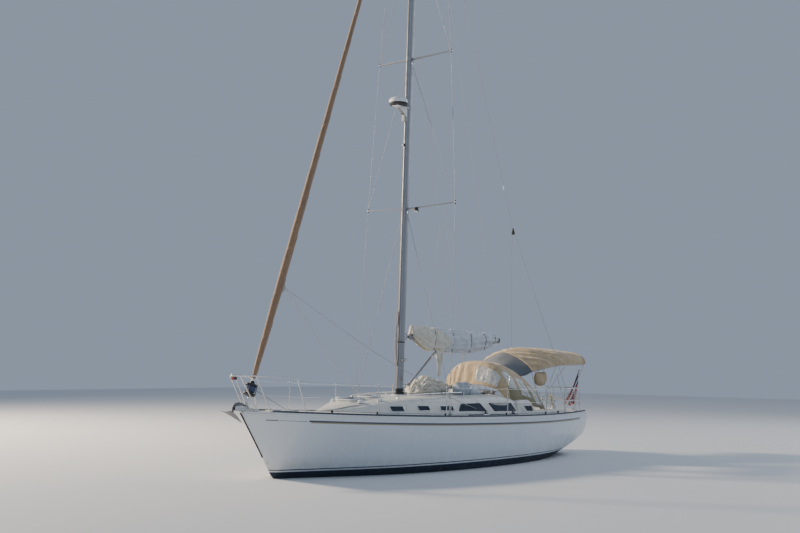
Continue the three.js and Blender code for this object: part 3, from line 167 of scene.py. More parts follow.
class Finish:
    """A material with one Principled surface, built from nodes."""

    def __init__(self, name, base, roughness=0.5, metallic=0.0, **fixed):
        self.material = bpy.data.materials.new(name)
        self.material.use_nodes = True
        self.tree = self.material.node_tree
        self.surface = self.tree.nodes["Principled BSDF"]
        self.base = base
        self.surface.inputs["Base Color"].default_value = (*base, 1)
        self.surface.inputs["Roughness"].default_value = roughness
        self.surface.inputs["Metallic"].default_value = metallic
        for key, value in fixed.items():
            self.surface.inputs[key.replace("_", " ")].default_value = value
        self.places = self.node("ShaderNodeTexCoord").outputs["Object"]

    def node(self, kind, settings=None, **sockets):
        """Any node: its settings are set first, then the values or links of its sockets."""
        node = self.tree.nodes.new(kind)
        for key, value in (settings or {}).items():
            if key == "stops":
                ramp = node.color_ramp
                while len(ramp.elements) < len(value):
                    ramp.elements.new(0.5)
                for element, (place, colour) in zip(ramp.elements, value):
                    element.position = place
                    element.color = (*colour, 1)
            else:
                setattr(node, key, value)
        for key, value in sockets.items():
            target = node.inputs[int(key[1:]) if key[0] == "i" and key[1:].isdigit()
                else key.replace("_", " ")]
            source = value.socket if isinstance(value, Wire) else value
            if isinstance(source, bpy.types.NodeSocket):
                self.tree.links.new(source, target)
            else:
                target.default_value = source
        return node

    def wire(self, node, output=0):
        return Wire(self.tree, node.outputs[output])

    def axes(self):
        split = self.node("ShaderNodeSeparateXYZ", Vector=self.places)
        return [self.wire(split, i) for i in range(3)]

    def uv(self):
        split = self.node("ShaderNodeSeparateXYZ", Vector=self.node("ShaderNodeUVMap").outputs["UV"])
        return self.wire(split, 0), self.wire(split, 1)

    def stretched(self, scale, source=None):
        node = self.node("ShaderNodeMapping", Vector=source or self.places, Scale=scale)
        return node.outputs["Vector"]

    def noise(self, scale, detail=3.0, rough=0.55, along=None, source=None):
        """Cloudy noise from 0 to 1. scale is in clouds a metre; along stretches it."""
        place = self.stretched(along, source) if along else (source or self.places)
        node = self.node("ShaderNodeTexNoise", Vector=place, Scale=scale, Detail=detail, Roughness=rough)
        return self.wire(node, 0)

    def cells(self, scale, settings=None, source=None):
        node = self.node("ShaderNodeTexVoronoi", settings, Vector=source or self.places, Scale=scale)
        return self.wire(node, 0)

    def blend(self, share, first, second):
        """A colour that goes from the first to the second as share goes from 0 to 1."""
        node = self.node("ShaderNodeMix", {"data_type": "RGBA"})
        for target, value in ((0, share), (6, first), (7, second)):
            source = value.socket if isinstance(value, Wire) else value
            if isinstance(source, bpy.types.NodeSocket):
                self.tree.links.new(source, node.inputs[target])
            elif target == 0:
                node.inputs[0].default_value = value
            else:
                node.inputs[target].default_value = (*value, 1)
        return node.outputs[2]

    def feed(self, name, value):
        self.tree.links.new(value.socket if isinstance(value, Wire) else value, self.surface.inputs[name])
        return self

    def relief(self, height, depth, smooth_edges=0.0):
        """Bumps of a height in metres, and edges rounded by a radius where one is given."""
        bump = self.node("ShaderNodeBump", Height=height, Distance=depth, Strength=1.0)
        if smooth_edges:
            edges = self.node("ShaderNodeBevel", {"samples": 4}, Radius=smooth_edges)
            self.tree.links.new(edges.outputs[0], bump.inputs["Normal"])
        self.tree.links.new(bump.outputs[0], self.surface.inputs["Normal"])
        return self


print("shader helpers ready")

# %% [markdown]
# ## Finishes of hard parts
#
# Gelcoat is a thick, glossy resin skin. Up close it has a faint ripple, chalky patches and dirt in runs.
# Moulded decks carry a fine raised grip pattern between smooth borders. Metals differ mostly in roughness:
# polished stainless with faint brown tea stains, satin anodised extrusions, dull galvanising.
# Noise in several sizes gives each its own unevenness, at the scale seen from arm's length.


# %% Gelcoat and deck
def weathered(finish, tint, dirt, shine, streaks=(2, 2, 0.5), chalk=0.5):
    """Soft colour change, runs of dirt and an uneven shine, for a hard outdoor finish."""
    clouds = finish.noise(0.9, 4)
    runs = finish.noise(5, 4, 0.6, along=streaks)
    specks = finish.noise(90, 2, 0.7)
    colour = finish.blend(clouds, finish.base, tint)
    soiled = (runs.above(0.56, 0.22) * 0.3 + specks.above(0.66, 0.2) * 0.12).limited()
    finish.feed("Base Color", finish.blend(soiled, colour, dirt))
    finish.feed("Roughness", shine + (clouds * 0.12 + soiled * 0.25) * chalk)


def gelcoat(name, base=(0.77, 0.79, 0.80), edges=0.006):
    finish = Finish(name, base, 0.3, Coat_Roughness=0.08)
    finish.surface.inputs["Coat Weight"].default_value = 0.35
    weathered(finish, tuple(c * 0.96 for c in base), (0.42, 0.40, 0.36), 0.24)
    ripple = finish.noise(14, 2) * 0.7 + finish.noise(420, 1) * 0.05
    return finish.relief(ripple, 0.0008, edges).material


GRIP_TURNS = 420.0  # radians of the pattern to a metre


def grip_deck():
    """Moulded deck: a fine diamond grip on level places, smooth gelcoat on the sides and borders."""
    finish = Finish("moulded_deck", (0.76, 0.75, 0.71), 0.5)
    weathered(finish, (0.70, 0.69, 0.65), (0.33, 0.31, 0.27), 0.42, (1, 1, 1))
    x, y, _ = finish.axes()
    diamonds = ((x + y) * GRIP_TURNS).sine() * ((x - y) * GRIP_TURNS).sine()
    normal = finish.node("ShaderNodeSeparateXYZ",
        Vector=finish.node("ShaderNodeNewGeometry").outputs["Normal"])
    level = finish.wire(normal, 2).above(0.86, 0.06)
    panel = finish.wire(finish.node("ShaderNodeTexBrick", {"offset": 0.0},
        Vector=finish.places, Scale=1.0, Color1=(1, 1, 1, 1), Color2=(1, 1, 1, 1), Mortar=(0, 0, 0, 1),
        Mortar_Size=0.022, Mortar_Smooth=0.1, Brick_Width=0.86, Row_Height=0.62), 0)
    grip = (diamonds.above(0.0, 0.5)) * level * panel
    shade = finish.blend(grip * 0.5, finish.surface.inputs["Base Color"].links[0].from_socket,
        (0.60, 0.60, 0.57))
    finish.feed("Base Color", shade)
    return finish.relief(grip + finish.noise(60, 2) * 0.1, 0.0012, 0.010).material


white_gelcoat = gelcoat("white_gelcoat")
deck_mould = grip_deck()


# %% Metals
def metal(name, base, shine, stain, amount=0.25, along=(1, 1, 1), grain=900.0, edges=0.0):
    finish = Finish(name, base, shine, 1.0)
    stains = finish.noise(7, 5, 0.65).above(0.62, 0.25) * amount
    fine = finish.noise(grain, 2, 0.6, along=along)
    smear = finish.noise(18, 3)
    finish.feed("Base Color", finish.blend(stains, finish.blend(smear * 0.35, base,
                tuple(c * 0.8 for c in base)), stain))
    finish.feed("Roughness", shine + fine * 0.10 + smear * 0.08 + stains * 0.3)
    finish.feed("Metallic", 1 - stains * 0.8)
    return finish.relief(fine, 0.00008, edges).material


stainless = metal("polished_stainless", (0.70, 0.71, 0.72), 0.12, (0.33, 0.20, 0.10), 0.30)
anodised = metal("satin_anodised", (0.36, 0.37, 0.39), 0.42, (0.27, 0.27, 0.27), 0.5, (6, 6, 0.2),
    edges=0.002)
dark_anodised = metal("dark_anodised", (0.10, 0.12, 0.15), 0.38, (0.30, 0.31, 0.31), 0.4, (0.2, 6, 6))
wire_rope = metal("wire_rope", (0.30, 0.31, 0.33), 0.45, (0.17, 0.12, 0.08), 0.5, grain=1500.0)
bronze = metal("dull_bronze", (0.42, 0.27, 0.12), 0.38, (0.16, 0.33, 0.27), 0.6)


def galvanising():
    # painted shade: the zinc is given a dark grey, as the anchor looks in shade
    finish = Finish("galvanised", (0.21, 0.22, 0.23), 0.55, 0.8)
    spangle = finish.cells(90, {"feature": "F1"})
    rust = finish.noise(16, 5, 0.7).above(0.6, 0.12)
    finish.feed("Base Color", finish.blend(rust * 0.8, finish.blend(spangle, (0.15, 0.16, 0.18),
                (0.28, 0.29, 0.30)), (0.24, 0.10, 0.04)))
    finish.feed("Roughness", 0.45 + rust * 0.4)
    finish.feed("Metallic", 0.85 - rust * 0.8)
    return finish.relief(rust + finish.noise(300, 3) * 0.4, 0.0006).material


galvanised = galvanising()


# %% Plastics, rubber, glass, timber
def moulded(name, base, shine, coat=0.0, grain=700.0, depth=0.00025):
    finish = Finish(name, base, shine)
    finish.surface.inputs["Coat Weight"].default_value = coat
    wear = finish.noise(12, 4, 0.6)
    scuffs = finish.noise(60, 5, 0.7).above(0.66, 0.1)
    pale = tuple(min(1, c * 1.6 + 0.05) for c in base)
    finish.feed("Base Color", finish.blend(wear * 0.3 + scuffs * 0.3, base, pale))
    finish.feed("Roughness", shine + wear * 0.15 + scuffs * 0.15)
    return finish.relief(finish.noise(grain, 2), depth).material


black_plastic = moulded("black_plastic", (0.018, 0.019, 0.021), 0.42)
grey_plastic = moulded("grey_plastic", (0.30, 0.31, 0.32), 0.5)
white_plastic = moulded("white_plastic", (0.74, 0.75, 0.75), 0.35, 0.2)
black_rubber = moulded("black_rubber", (0.022, 0.022, 0.023), 0.7, depth=0.0004)
red_lamp = moulded("red_lamp", (0.45, 0.012, 0.012), 0.12, 0.6)
green_lamp = moulded("green_lamp", (0.01, 0.24, 0.09), 0.12, 0.6)
engine_paint = moulded("engine_paint", (0.13, 0.21, 0.19), 0.45, 0.1)
leather_wrap = moulded("leather_wrap", (0.10, 0.065, 0.04), 0.6, grain=1500.0, depth=0.0006)
buoy_vinyl = moulded("buoy_vinyl", (0.68, 0.60, 0.42), 0.55, grain=260.0, depth=0.0008)


def dark_acrylic(name, base, alpha):
    finish = Finish(name, base, 0.06, Alpha=alpha, IOR=1.49)
    film = finish.noise(9, 4, 0.6)
    drops = finish.cells(120).above(0.12, 0.05)
    finish.feed("Base Color", finish.blend(film * 0.25, base, (0.10, 0.13, 0.17)))
    finish.feed("Roughness", 0.05 + film * 0.10 + (1 - drops) * 0.15)
    return finish.relief(finish.noise(5, 2), 0.0006).material


window_acrylic = dark_acrylic("window_acrylic", (0.012, 0.022, 0.045), 0.93)
hatch_acrylic = dark_acrylic("hatch_acrylic", (0.05, 0.07, 0.09), 0.9)


PLANK = 0.055


def teak():
    finish = Finish("oiled_teak", (0.32, 0.19, 0.09), 0.55)
    rings = finish.node("ShaderNodeTexWave", {"bands_direction": "Y"}, Vector=finish.stretched((0.6, 9, 9)),
        Scale=6.0, Distortion=5.0, Detail=4.0, Detail_Scale=1.4)
    pores = finish.noise(260, 3, 0.7, along=(0.05, 1, 1))
    grain = finish.wire(rings, 1) * 0.6 + pores * 0.4
    _, y, _ = finish.axes()
    caulk = 1 - y.wrapped(PLANK).above(0.06)
    wood = finish.blend(grain, (0.40, 0.25, 0.13), (0.20, 0.11, 0.05))
    finish.feed("Base Color", finish.blend(caulk, wood, (0.02, 0.02, 0.02)))
    finish.feed("Roughness", 0.45 + grain * 0.25)
    return finish.relief(grain * 0.4 - caulk, 0.0008).material


oiled_teak = teak()
print("hard finishes:", len(bpy.data.materials))

# %% [markdown]
# ## Finishes of cloth and rope
#
# Woven acrylic canvas is matt, with a plain weave, sun-faded high places and dirt in the folds.
# Sailcloth is smoother, with crease lines. A weave that follows the cloth needs the piece's own UV map,
# laid out in metres, so a thread is the same size everywhere. Clear vinyl is a glossy film with wrinkles.


# %% Cloth, vinyl and rope
def woven(name, base, faded, dirty, thread=0.0016, sheen=0.25, crease=0.35, shine=0.82):
    finish = Finish(name, base, shine, Sheen_Weight=sheen)
    u, v = finish.uv()
    turns = math.pi / thread
    warp, weft = (u * turns).sine(), (v * turns).sine()
    weave = (warp * weft * 0.5) + 0.5
    clouds = finish.noise(1.3, 4, 0.6)
    soil = finish.noise(6, 5, 0.65).above(0.58, 0.25)
    colour = finish.blend(clouds, base, faded)
    colour = finish.blend(soil * 0.4, colour, dirty)
    finish.feed("Base Color", finish.blend(weave * 0.12, colour, tuple(c * 0.6 for c in base)))
    finish.feed("Roughness", shine + clouds * 0.1)
    crinkle = finish.noise(11, 4, 0.6) * crease + weave * 0.05
    return finish.relief(crinkle, 0.006).material


tan_canvas = woven("tan_canvas", (0.50, 0.37, 0.215), (0.60, 0.46, 0.29), (0.24, 0.18, 0.11))
# painted shade: the tan canvas painted darker and olive, as it looks in shade
olive_canvas = woven("olive_canvas", (0.22, 0.195, 0.105), (0.30, 0.26, 0.15), (0.11, 0.10, 0.06))
# painted shade: a dark blue-grey cloth for the link panel, as the canopy cloth looks in shade
shade_canvas = woven("shade_canvas", (0.115, 0.135, 0.15), (0.16, 0.18, 0.20), (0.07, 0.08, 0.09))
navy_canvas = woven("navy_canvas", (0.045, 0.065, 0.11), (0.08, 0.10, 0.15), (0.03, 0.035, 0.05))
grey_bag = woven("grey_bag", (0.36, 0.40, 0.45), (0.45, 0.48, 0.52), (0.20, 0.21, 0.23))
# painted shade: the sailcloth is given a blue-grey, as it looks in shade
sailcloth = woven("sailcloth", (0.55, 0.60, 0.66), (0.66, 0.69, 0.72), (0.36, 0.38, 0.40), 0.0009, 0.1, 0.5,
    0.55)
cream_cloth = woven("cream_cloth", (0.66, 0.62, 0.52), (0.78, 0.74, 0.64), (0.26, 0.24, 0.20), 0.0012, 0.2,
    0.7, 0.75)


STRIP_THREADS = 1960  # radians of the weave to a metre


def sun_strip():
    """The sun strip of a furled headsail: tan canvas in a helix, painted dark brown as it looks in shade,
    with stitched edges and dirt between.
    """
    finish = Finish("furled_cover", (0.36, 0.22, 0.125), 0.84, Sheen_Weight=0.25)
    u, v = finish.uv()
    seam = v.wrapped(0.92).between(0.012, 0.03, 0.008)
    weave = ((u * STRIP_THREADS).sine() * (v * STRIP_THREADS).sine()) * 0.5 + 0.5
    streaks = finish.noise(7, 5, 0.65, along=(3, 3, 0.35))
    clouds = finish.noise(0.7, 3)
    # painted shade: the tan strip is given a dark brown, as it looks in shade
    colour = finish.blend(clouds, (0.40, 0.245, 0.14), (0.27, 0.17, 0.105))
    colour = finish.blend(streaks.above(0.52, 0.3) * 0.5, colour, (0.17, 0.115, 0.08))
    colour = finish.blend(seam * 0.5, colour, (0.50, 0.38, 0.25))
    finish.feed("Base Color", finish.blend(weave * 0.1, colour, (0.13, 0.08, 0.05)))
    finish.feed("Roughness", 0.78 + clouds * 0.14)
    return finish.relief(streaks * 0.5 + weave * 0.04 + seam * 0.1, 0.008).material


furled_cover = sun_strip()


def flag_nylon():
    """Common stripes and a plain dark canton, on light nylon."""
    finish = Finish("flag_cloth", (0.45, 0.03, 0.035), 0.7, Sheen_Weight=0.3)
    u, v = finish.uv()
    red = v.wrapped(2 / 13).above(0.5, 0.02)
    stripes = finish.blend(red, (0.72, 0.70, 0.66), (0.47, 0.028, 0.035))
    canton = u.above(0.60, 0.01) * v.above(6 / 13, 0.01)
    colour = finish.blend(canton, stripes, (0.035, 0.05, 0.13))
    grey = finish.noise(8, 4)
    finish.feed("Base Color", finish.blend(grey * 0.25, colour, (0.30, 0.27, 0.26)))
    finish.feed("Roughness", 0.62 + grey * 0.2)
    return finish.relief(finish.noise(30, 4), 0.002).material


flag_cloth = flag_nylon()


def vinyl_film():
    finish = Finish("clear_vinyl", (0.55, 0.54, 0.50), 0.12, Alpha=0.42, IOR=1.45)
    haze = finish.noise(3.5, 4, 0.6)
    crinkle = finish.noise(9, 5, 0.55, along=(1, 1, 0.5))
    finish.feed("Base Color", finish.blend(haze, (0.50, 0.49, 0.45), (0.74, 0.72, 0.66)))
    finish.feed("Roughness", 0.08 + haze * 0.22)
    finish.feed("Alpha", 0.26 + haze * 0.34 + crinkle.above(0.62, 0.1) * 0.2)
    return finish.relief(crinkle, 0.02).material


clear_vinyl = vinyl_film()


def braid(name, base, fleck, twist=46.0):
    """Braided rope. UV runs round the rope and along it, in metres."""
    finish = Finish(name, base, 0.75)
    u, v = finish.uv()
    one = (u * twist + v * 260).sine()
    other = (u * twist - v * 260).sine()
    strands = one.maths("MAXIMUM", one, other) * 0.5 + 0.5
    marks = (u * 2 + v * 18).wrapped(1.0).above(0.82, 0.03)
    dirt = finish.noise(14, 4)
    colour = finish.blend(marks * 0.8, base, fleck)
    finish.feed("Base Color", finish.blend(dirt * 0.4 + strands * 0.1, colour, tuple(c * 0.5 for c in base)))
    finish.feed("Roughness", 0.68 + dirt * 0.15)
    return finish.relief(strands, 0.0006).material


white_braid = braid("white_braid", (0.55, 0.54, 0.50), (0.05, 0.09, 0.25))
red_braid = braid("red_braid", (0.42, 0.40, 0.37), (0.40, 0.04, 0.04))
blue_braid = braid("blue_braid", (0.07, 0.10, 0.19), (0.45, 0.45, 0.42))
black_braid = braid("black_braid", (0.035, 0.035, 0.04), (0.16, 0.16, 0.15))
tan_line = braid("tan_line", (0.36, 0.29, 0.19), (0.45, 0.38, 0.27))
seam_thread = Finish("seam_thread", (0.62, 0.55, 0.42), 0.7)
seam_thread.feed("Roughness", 0.6 + seam_thread.noise(400) * 0.3)
seam_thread = seam_thread.relief(seam_thread.noise(900), 0.0003).material
print("finishes:", len(bpy.data.materials))

# %% [markdown]
# ## The hull's paint
#
# The topsides are white gelcoat, with a dark antifouled bottom, a thin line above it, and a broad
# dark band with a gold lower edge under the deck. Bands could be cut as strips of mesh. Painting them
# by distance keeps their edges crisp and fair: the hull's UV map holds, in metres, the distance aft
# of the stem and the drop below the sheer, so both kinds of band are simple comparisons.


# %% Hull paint
def painted_topsides():
    # painted shade: the white gelcoat is given a blue-grey, as the port side looks in shade
    white_blued_by_painted_shade = (0.70, 0.745, 0.79)
    finish = Finish("hull_paint", white_blued_by_painted_shade, 0.22, Coat_Roughness=0.05)
    along, drop = finish.uv()
    _, _, z = finish.axes()
    clouds = finish.noise(0.55, 4, 0.55)
    runs = finish.noise(2.4, 5, 0.6, along=(1.6, 1.6, 0.45))
    grime = (runs.above(0.55, 0.25) * (1.1 - z).limited()).limited()
    colour = finish.blend(clouds, white_blued_by_painted_shade, (0.64, 0.69, 0.74))
    colour = finish.blend(grime * 0.10, colour, (0.42, 0.41, 0.36))
    tan_scum = z.between(0.10, 0.36, 0.14) * finish.noise(5, 5, 0.7, along=(1, 1, 0.4)).above(0.44, 0.3)
    colour = finish.blend(tan_scum * 0.22, colour, (0.45, 0.40, 0.28))

    paint_top = 0.128 + (along / 4.0).limited() * 0.03 + (along / 11.0) * 0.012
    line_low, line_high = paint_top + 0.03, paint_top + 0.052
    bottom = 1 - (z - paint_top).above(0.0, 0.003)
    pinstripe = (z - line_low).above(0.0, 0.003) * (1 - (z - line_high).above(0.0, 0.003))
    weed = finish.noise(22, 6, 0.75).above(0.5, 0.2) * (1 - z.above(0.05, 0.08))
    antifoul = finish.blend(finish.noise(2.4, 5, 0.6), (0.008, 0.015, 0.036), (0.014, 0.024, 0.048))
    antifoul = finish.blend(weed * 0.6, antifoul, (0.045, 0.055, 0.035))
    antifoul = finish.blend(finish.noise(9, 4, 0.7, along=(1, 1, 0.3)).above(0.6, 0.2) * 0.25, antifoul,
        (0.10, 0.11, 0.11))
    colour = finish.blend(pinstripe, colour, (0.02, 0.03, 0.07))
    colour = finish.blend(bottom, colour, antifoul)

    band = along.between(1.12, 10.50, 0.004) * drop.between(0.123, 0.157, 0.002)
    gold = along.between(1.16, 10.46, 0.004) * drop.between(0.157, 0.179, 0.002)
    fine = along.between(0.62, 1.09, 0.004) * drop.between(0.143, 0.152, 0.002)
    tip = along.between(0.40, 0.60, 0.004) * drop.between(0.138, 0.157, 0.003)
    worn = finish.noise(70, 4, 0.7).above(0.70, 0.06)
    colour = finish.blend((band + fine + tip) * (1 - worn * 0.4), colour, (0.055, 0.070, 0.095))
    colour = finish.blend(gold * (1 - worn * 0.5), colour, (0.36, 0.29, 0.17))
    finish.feed("Base Color", colour)
    finish.feed("Roughness", 0.20 + clouds * 0.10 + grime * 0.12 + bottom * 0.45)
    finish.feed("Coat Weight", 0.5 * (1 - bottom))
    ripple = finish.noise(1.1, 3) * 6 + finish.noise(460, 2) * 0.05 * (1 + bottom * 8)
    edge = (bottom + band + gold) * 0.12
    return finish.relief(ripple + edge, 0.0016).material


hull_paint = painted_topsides()


def antifoul_paint():
    finish = Finish("antifoul_paint", (0.014, 0.026, 0.055), 0.75)
    patchy = finish.noise(2.4, 5, 0.6)
    weed = finish.noise(18, 6, 0.75).above(0.56, 0.18)
    finish.feed("Base Color", finish.blend(weed * 0.5, finish.blend(patchy, (0.012, 0.022, 0.048),
                (0.03, 0.05, 0.08)), (0.05, 0.06, 0.04)))
    finish.feed("Roughness", 0.65 + patchy * 0.2)
    return finish.relief(finish.noise(120, 4) + weed * 0.6, 0.0015, 0.006).material


antifoul = antifoul_paint()
print("hull paint ready; finishes:", len(bpy.data.materials))

# %% [markdown]
# ## Making meshes
#
# Most of a boat is one of four kinds of form: a skin over cross sections, a tube along a path,
# a turned shape, or a softened block. Each gets one small helper.
# Fair curves matter most, so tables of sections are read through a smooth spline, not straight lines.


# %% Smooth tables and skins
def smooth(table, place):
    """A row of a table at any place along its first column, by a spline through its rows."""
    count = len(table)
    i = max(0, min(count - 2, next((k for k in range(count - 1) if place <= table[k + 1][0]), count - 2)))
    p1, p2 = table[i], table[i + 1]
    span = p2[0] - p1[0]
    t = (place - p1[0]) / span
    row = [place]
    for c in range(1, len(p1)):
        here = (p2[c] - p1[c]) / span
        before = (p1[c] - table[i - 1][c]) / (p1[0] - table[i - 1][0]) if i > 0 else here
        after = (table[i + 2][c] - p2[c]) / (table[i + 2][0] - p2[0]) if i + 2 < count else here
        m1, m2 = (before + here) / 2 * span, (here + after) / 2 * span
        if before * here <= 0:
            m1 = 0.0 if i > 0 else m1
        if here * after <= 0:
            m2 = 0.0 if i + 2 < count else m2
        row.append((2 * t**3 - 3 * t**2 + 1) * p1[c] + (t**3 - 2 * t**2 + t) * m1
                   + (-2 * t**3 + 3 * t**2) * p2[c] + (t**3 - t**2) * m2)
    return row


def spread(low, high, count):
    return [low + (high - low) * i / (count - 1) for i in range(count)]


def angles(count):
    """Angles of a full turn, for a closed ring of a number of points."""
    return spread(0, 2 * math.pi * (count - 1) / count, count)


def mirror_points(path):
    return [(p[0], -p[1], p[2]) for p in path]


def both_sides(path):
    """A path that ends on the middle line, carried on to its mirror image."""
    return path + mirror_points(path[:-1])[::-1]


def make(name, points, faces, material, uvs=None, flat=False):
    """A mesh object with its faces turned outwards. uvs holds one pair for each point."""
    mesh = bpy.data.meshes.new(name)
    mesh.from_pydata([tuple(p) for p in points], [], faces)
    if uvs:
        layer = mesh.uv_layers.new(name="UVMap")
        for loop in mesh.loops:
            layer.data[loop.index].uv = uvs[loop.vertex_index]
    work = bmesh.new()
    work.from_mesh(mesh)
    bmesh.ops.recalc_face_normals(work, faces=work.faces)
    work.to_mesh(mesh)
    work.free()
    mesh.shade_flat() if flat else mesh.shade_smooth()
    piece = bpy.data.objects.new(name, mesh)
    bpy.context.scene.collection.objects.link(piece)
    mesh.materials.append(material)
    return piece


def skin(rings, ends=True, closed=True):
    """Points and faces of a skin over rings of equal length. ends closes the first and last ring."""
    count = len(rings[0])
    points = [p for ring in rings for p in ring]
    faces = []
    for r in range(len(rings) - 1):
        for i in range(count if closed else count - 1):
            j = (i + 1) % count
            faces.append((r * count + i, r * count + j, (r + 1) * count + j, (r + 1) * count + i))
    if ends and closed:
        faces.append(tuple(range(count)))
        last = (len(rings) - 1) * count
        faces.append(tuple(last + i for i in range(count)))
    return points, faces


def modified(piece, *changes):
    """Runs modifiers on a piece and keeps the result as its mesh."""
    for kind, settings in changes:
        modifier = piece.modifiers.new(kind, kind)
        for key, value in settings.items():
            setattr(modifier, key, value)
    bpy.context.view_layer.update()
    shaped = bpy.data.meshes.new_from_object(piece.evaluated_get(bpy.context.evaluated_depsgraph_get()))
    piece.modifiers.clear()
    old = piece.data
    piece.data = shaped
    bpy.data.meshes.remove(old)
    return piece


def repainted(piece, material):
    """A piece with one finish all over."""
    piece.data.materials.clear()
    piece.data.materials.append(material)
    return piece


def crisp(piece, degrees=35):
    """Smooth shading that keeps edges sharper than an angle."""
    piece.data.shade_smooth()
    work = bmesh.new()
    work.from_mesh(piece.data)
    for edge in work.edges:
        edge.smooth = not (len(edge.link_faces) == 2 and edge.calc_face_angle() > math.radians(degrees))
    work.to_mesh(piece.data)
    work.free()
    return piece


def eased(piece, soft, steps=2):
    """A piece with its sharp edges rounded off."""
    settings = {"width": soft, "segments": steps, "limit_method": "ANGLE", "angle_limit": 0.9}
    return crisp(modified(piece, ("BEVEL", settings)), 40)


def joined(name, pieces):
    """Several pieces of one body made one object, each keeping its own material."""
    with bpy.context.temp_override(active_object=pieces[0], selected_editable_objects=pieces):
        bpy.ops.object.join()
    pieces[0].name = name
    return pieces[0]


def ride(piece, body="boat", replaces=()):
    """Hands a finished piece to its body, and hides the parts it replaces."""
    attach(piece, body)
    if replaces:
        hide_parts(*replaces)
    return piece


def dressed(name, parts, slot, *nodes, body="boat"):
    """Joins parts into one piece, and hands it to its body in place of its nodes."""
    return ride(joined(name, parts), body, nodes)


def block(name, low, high, material, soft=0.006, steps=2):
    """A box with its edges rounded."""
    (x0, y0, z0), (x1, y1, z1) = low, high
    points = [(x, y, z) for x in (x0, x1) for y in (y0, y1) for z in (z0, z1)]
    faces = [(0, 1, 3, 2), (4, 6, 7, 5), (0, 4, 5, 1), (2, 3, 7, 6), (0, 2, 6, 4), (1, 5, 7, 3)]
    piece = make(name, points, faces, material)
    modified(piece, ("BEVEL", {"width": soft, "segments": steps, "limit_method": "NONE"}))
    return crisp(piece, 50)


def turned(name, profile, material, centre=(0, 0, 0), axis=(0, 0, 1), steps=32, sharp=40):
    """A profile of (radius, height) pairs turned round an axis."""
    turn = Vector((0, 0, 1)).rotation_difference(Vector(axis)).to_matrix()
    points, rows = [], []
    for radius, height in profile:
        if radius < 1e-6:
            rows.append([len(points)])
            points.append((0, 0, height))
            continue
        rows.append(list(range(len(points), len(points) + steps)))
        for k in range(steps):
            angle = 2 * math.pi * k / steps
            points.append((radius * math.cos(angle), radius * math.sin(angle), height))
    faces = []
    for lower, upper in zip(rows, rows[1:]):
        for k in range(steps):
            j = (k + 1) % steps
            ring = [lower[k % len(lower)], lower[j % len(lower)], upper[j % len(upper)],
                upper[k % len(upper)]]
            face = [v for i, v in enumerate(ring) if v not in ring[:i]]
            if len(face) > 2:
                faces.append(face)
    for row in (rows[0], rows[-1]):
        if len(row) > 1:
            faces.append(row)
    piece = make(name, [turn @ Vector(p) + Vector(centre) for p in points], faces, material)
    return crisp(piece, sharp)


def rod(name, radius, low, high, *rest):
    """A plain round rod with flat ends."""
    return turned(name, [(0, low), (radius, low), (radius, high), (0, high)], *rest)


SIDES = ((1, "port"), (-1, "stbd"))
UP, ABEAM = (0, 0, 1), (0, 1, 0)


def sheave(place, radius, half, steps):
    """The grooved wheel of a block, on an axle that lies abeam."""
    profile = [(0, -half), (radius, -half), (radius - 0.006, 0), (radius, half), (0, half)]
    return turned("sheave", profile, black_plastic, place, ABEAM, steps)


print("mesh helpers ready")

# %% [markdown]
# ## Tubes with Geometry Nodes
#
# Rails, wires and ropes are all a circle drawn along a path. A tree with named inputs for the radius and
# the number of sides does this once for every one of them. Paths are rounded at their corners first,
# as a bent tube is. The tree also lays a UV map round and along the tube, for rope patterns.


# %% A tube tree
def new_tree(name, **inputs):
    tree = bpy.data.node_groups.new(name, "GeometryNodeTree")
    tree.interface.new_socket("Geometry", in_out="INPUT", socket_type="NodeSocketGeometry")
    for key, (kind, value) in inputs.items():
        socket = tree.interface.new_socket(key, in_out="INPUT", socket_type="NodeSocket" + kind)
        if value is not None:
            socket.default_value = value
    tree.interface.new_socket("Geometry", in_out="OUTPUT", socket_type="NodeSocketGeometry")
    return tree


def add(tree, kind, settings=None, **sockets):
    node = tree.nodes.new(kind)
    for key, value in (settings or {}).items():
        setattr(node, key, value)
    for key, value in sockets.items():
        target = node.inputs[key.replace("_", " ")]
        if isinstance(value, bpy.types.NodeSocket):
            tree.links.new(value, target)
        else:
            target.default_value = value
    return node


def finish_tree(tree, geometry, material, uv=None):
    """The last steps of every tree: real geometry and its material."""
    if uv is not None:
        geometry = add(tree, "GeometryNodeStoreNamedAttribute", {"data_type": "FLOAT2", "domain": "CORNER"},
            Geometry=geometry, Name="UVMap", Value=uv).outputs[0]
    real = add(tree, "GeometryNodeRealizeInstances", Geometry=geometry)
    final = add(tree, "GeometryNodeSetMaterial", Geometry=real.outputs[0], Material=material)
    tree.links.new(final.outputs[0], tree.nodes.new("NodeGroupOutput").inputs[0])


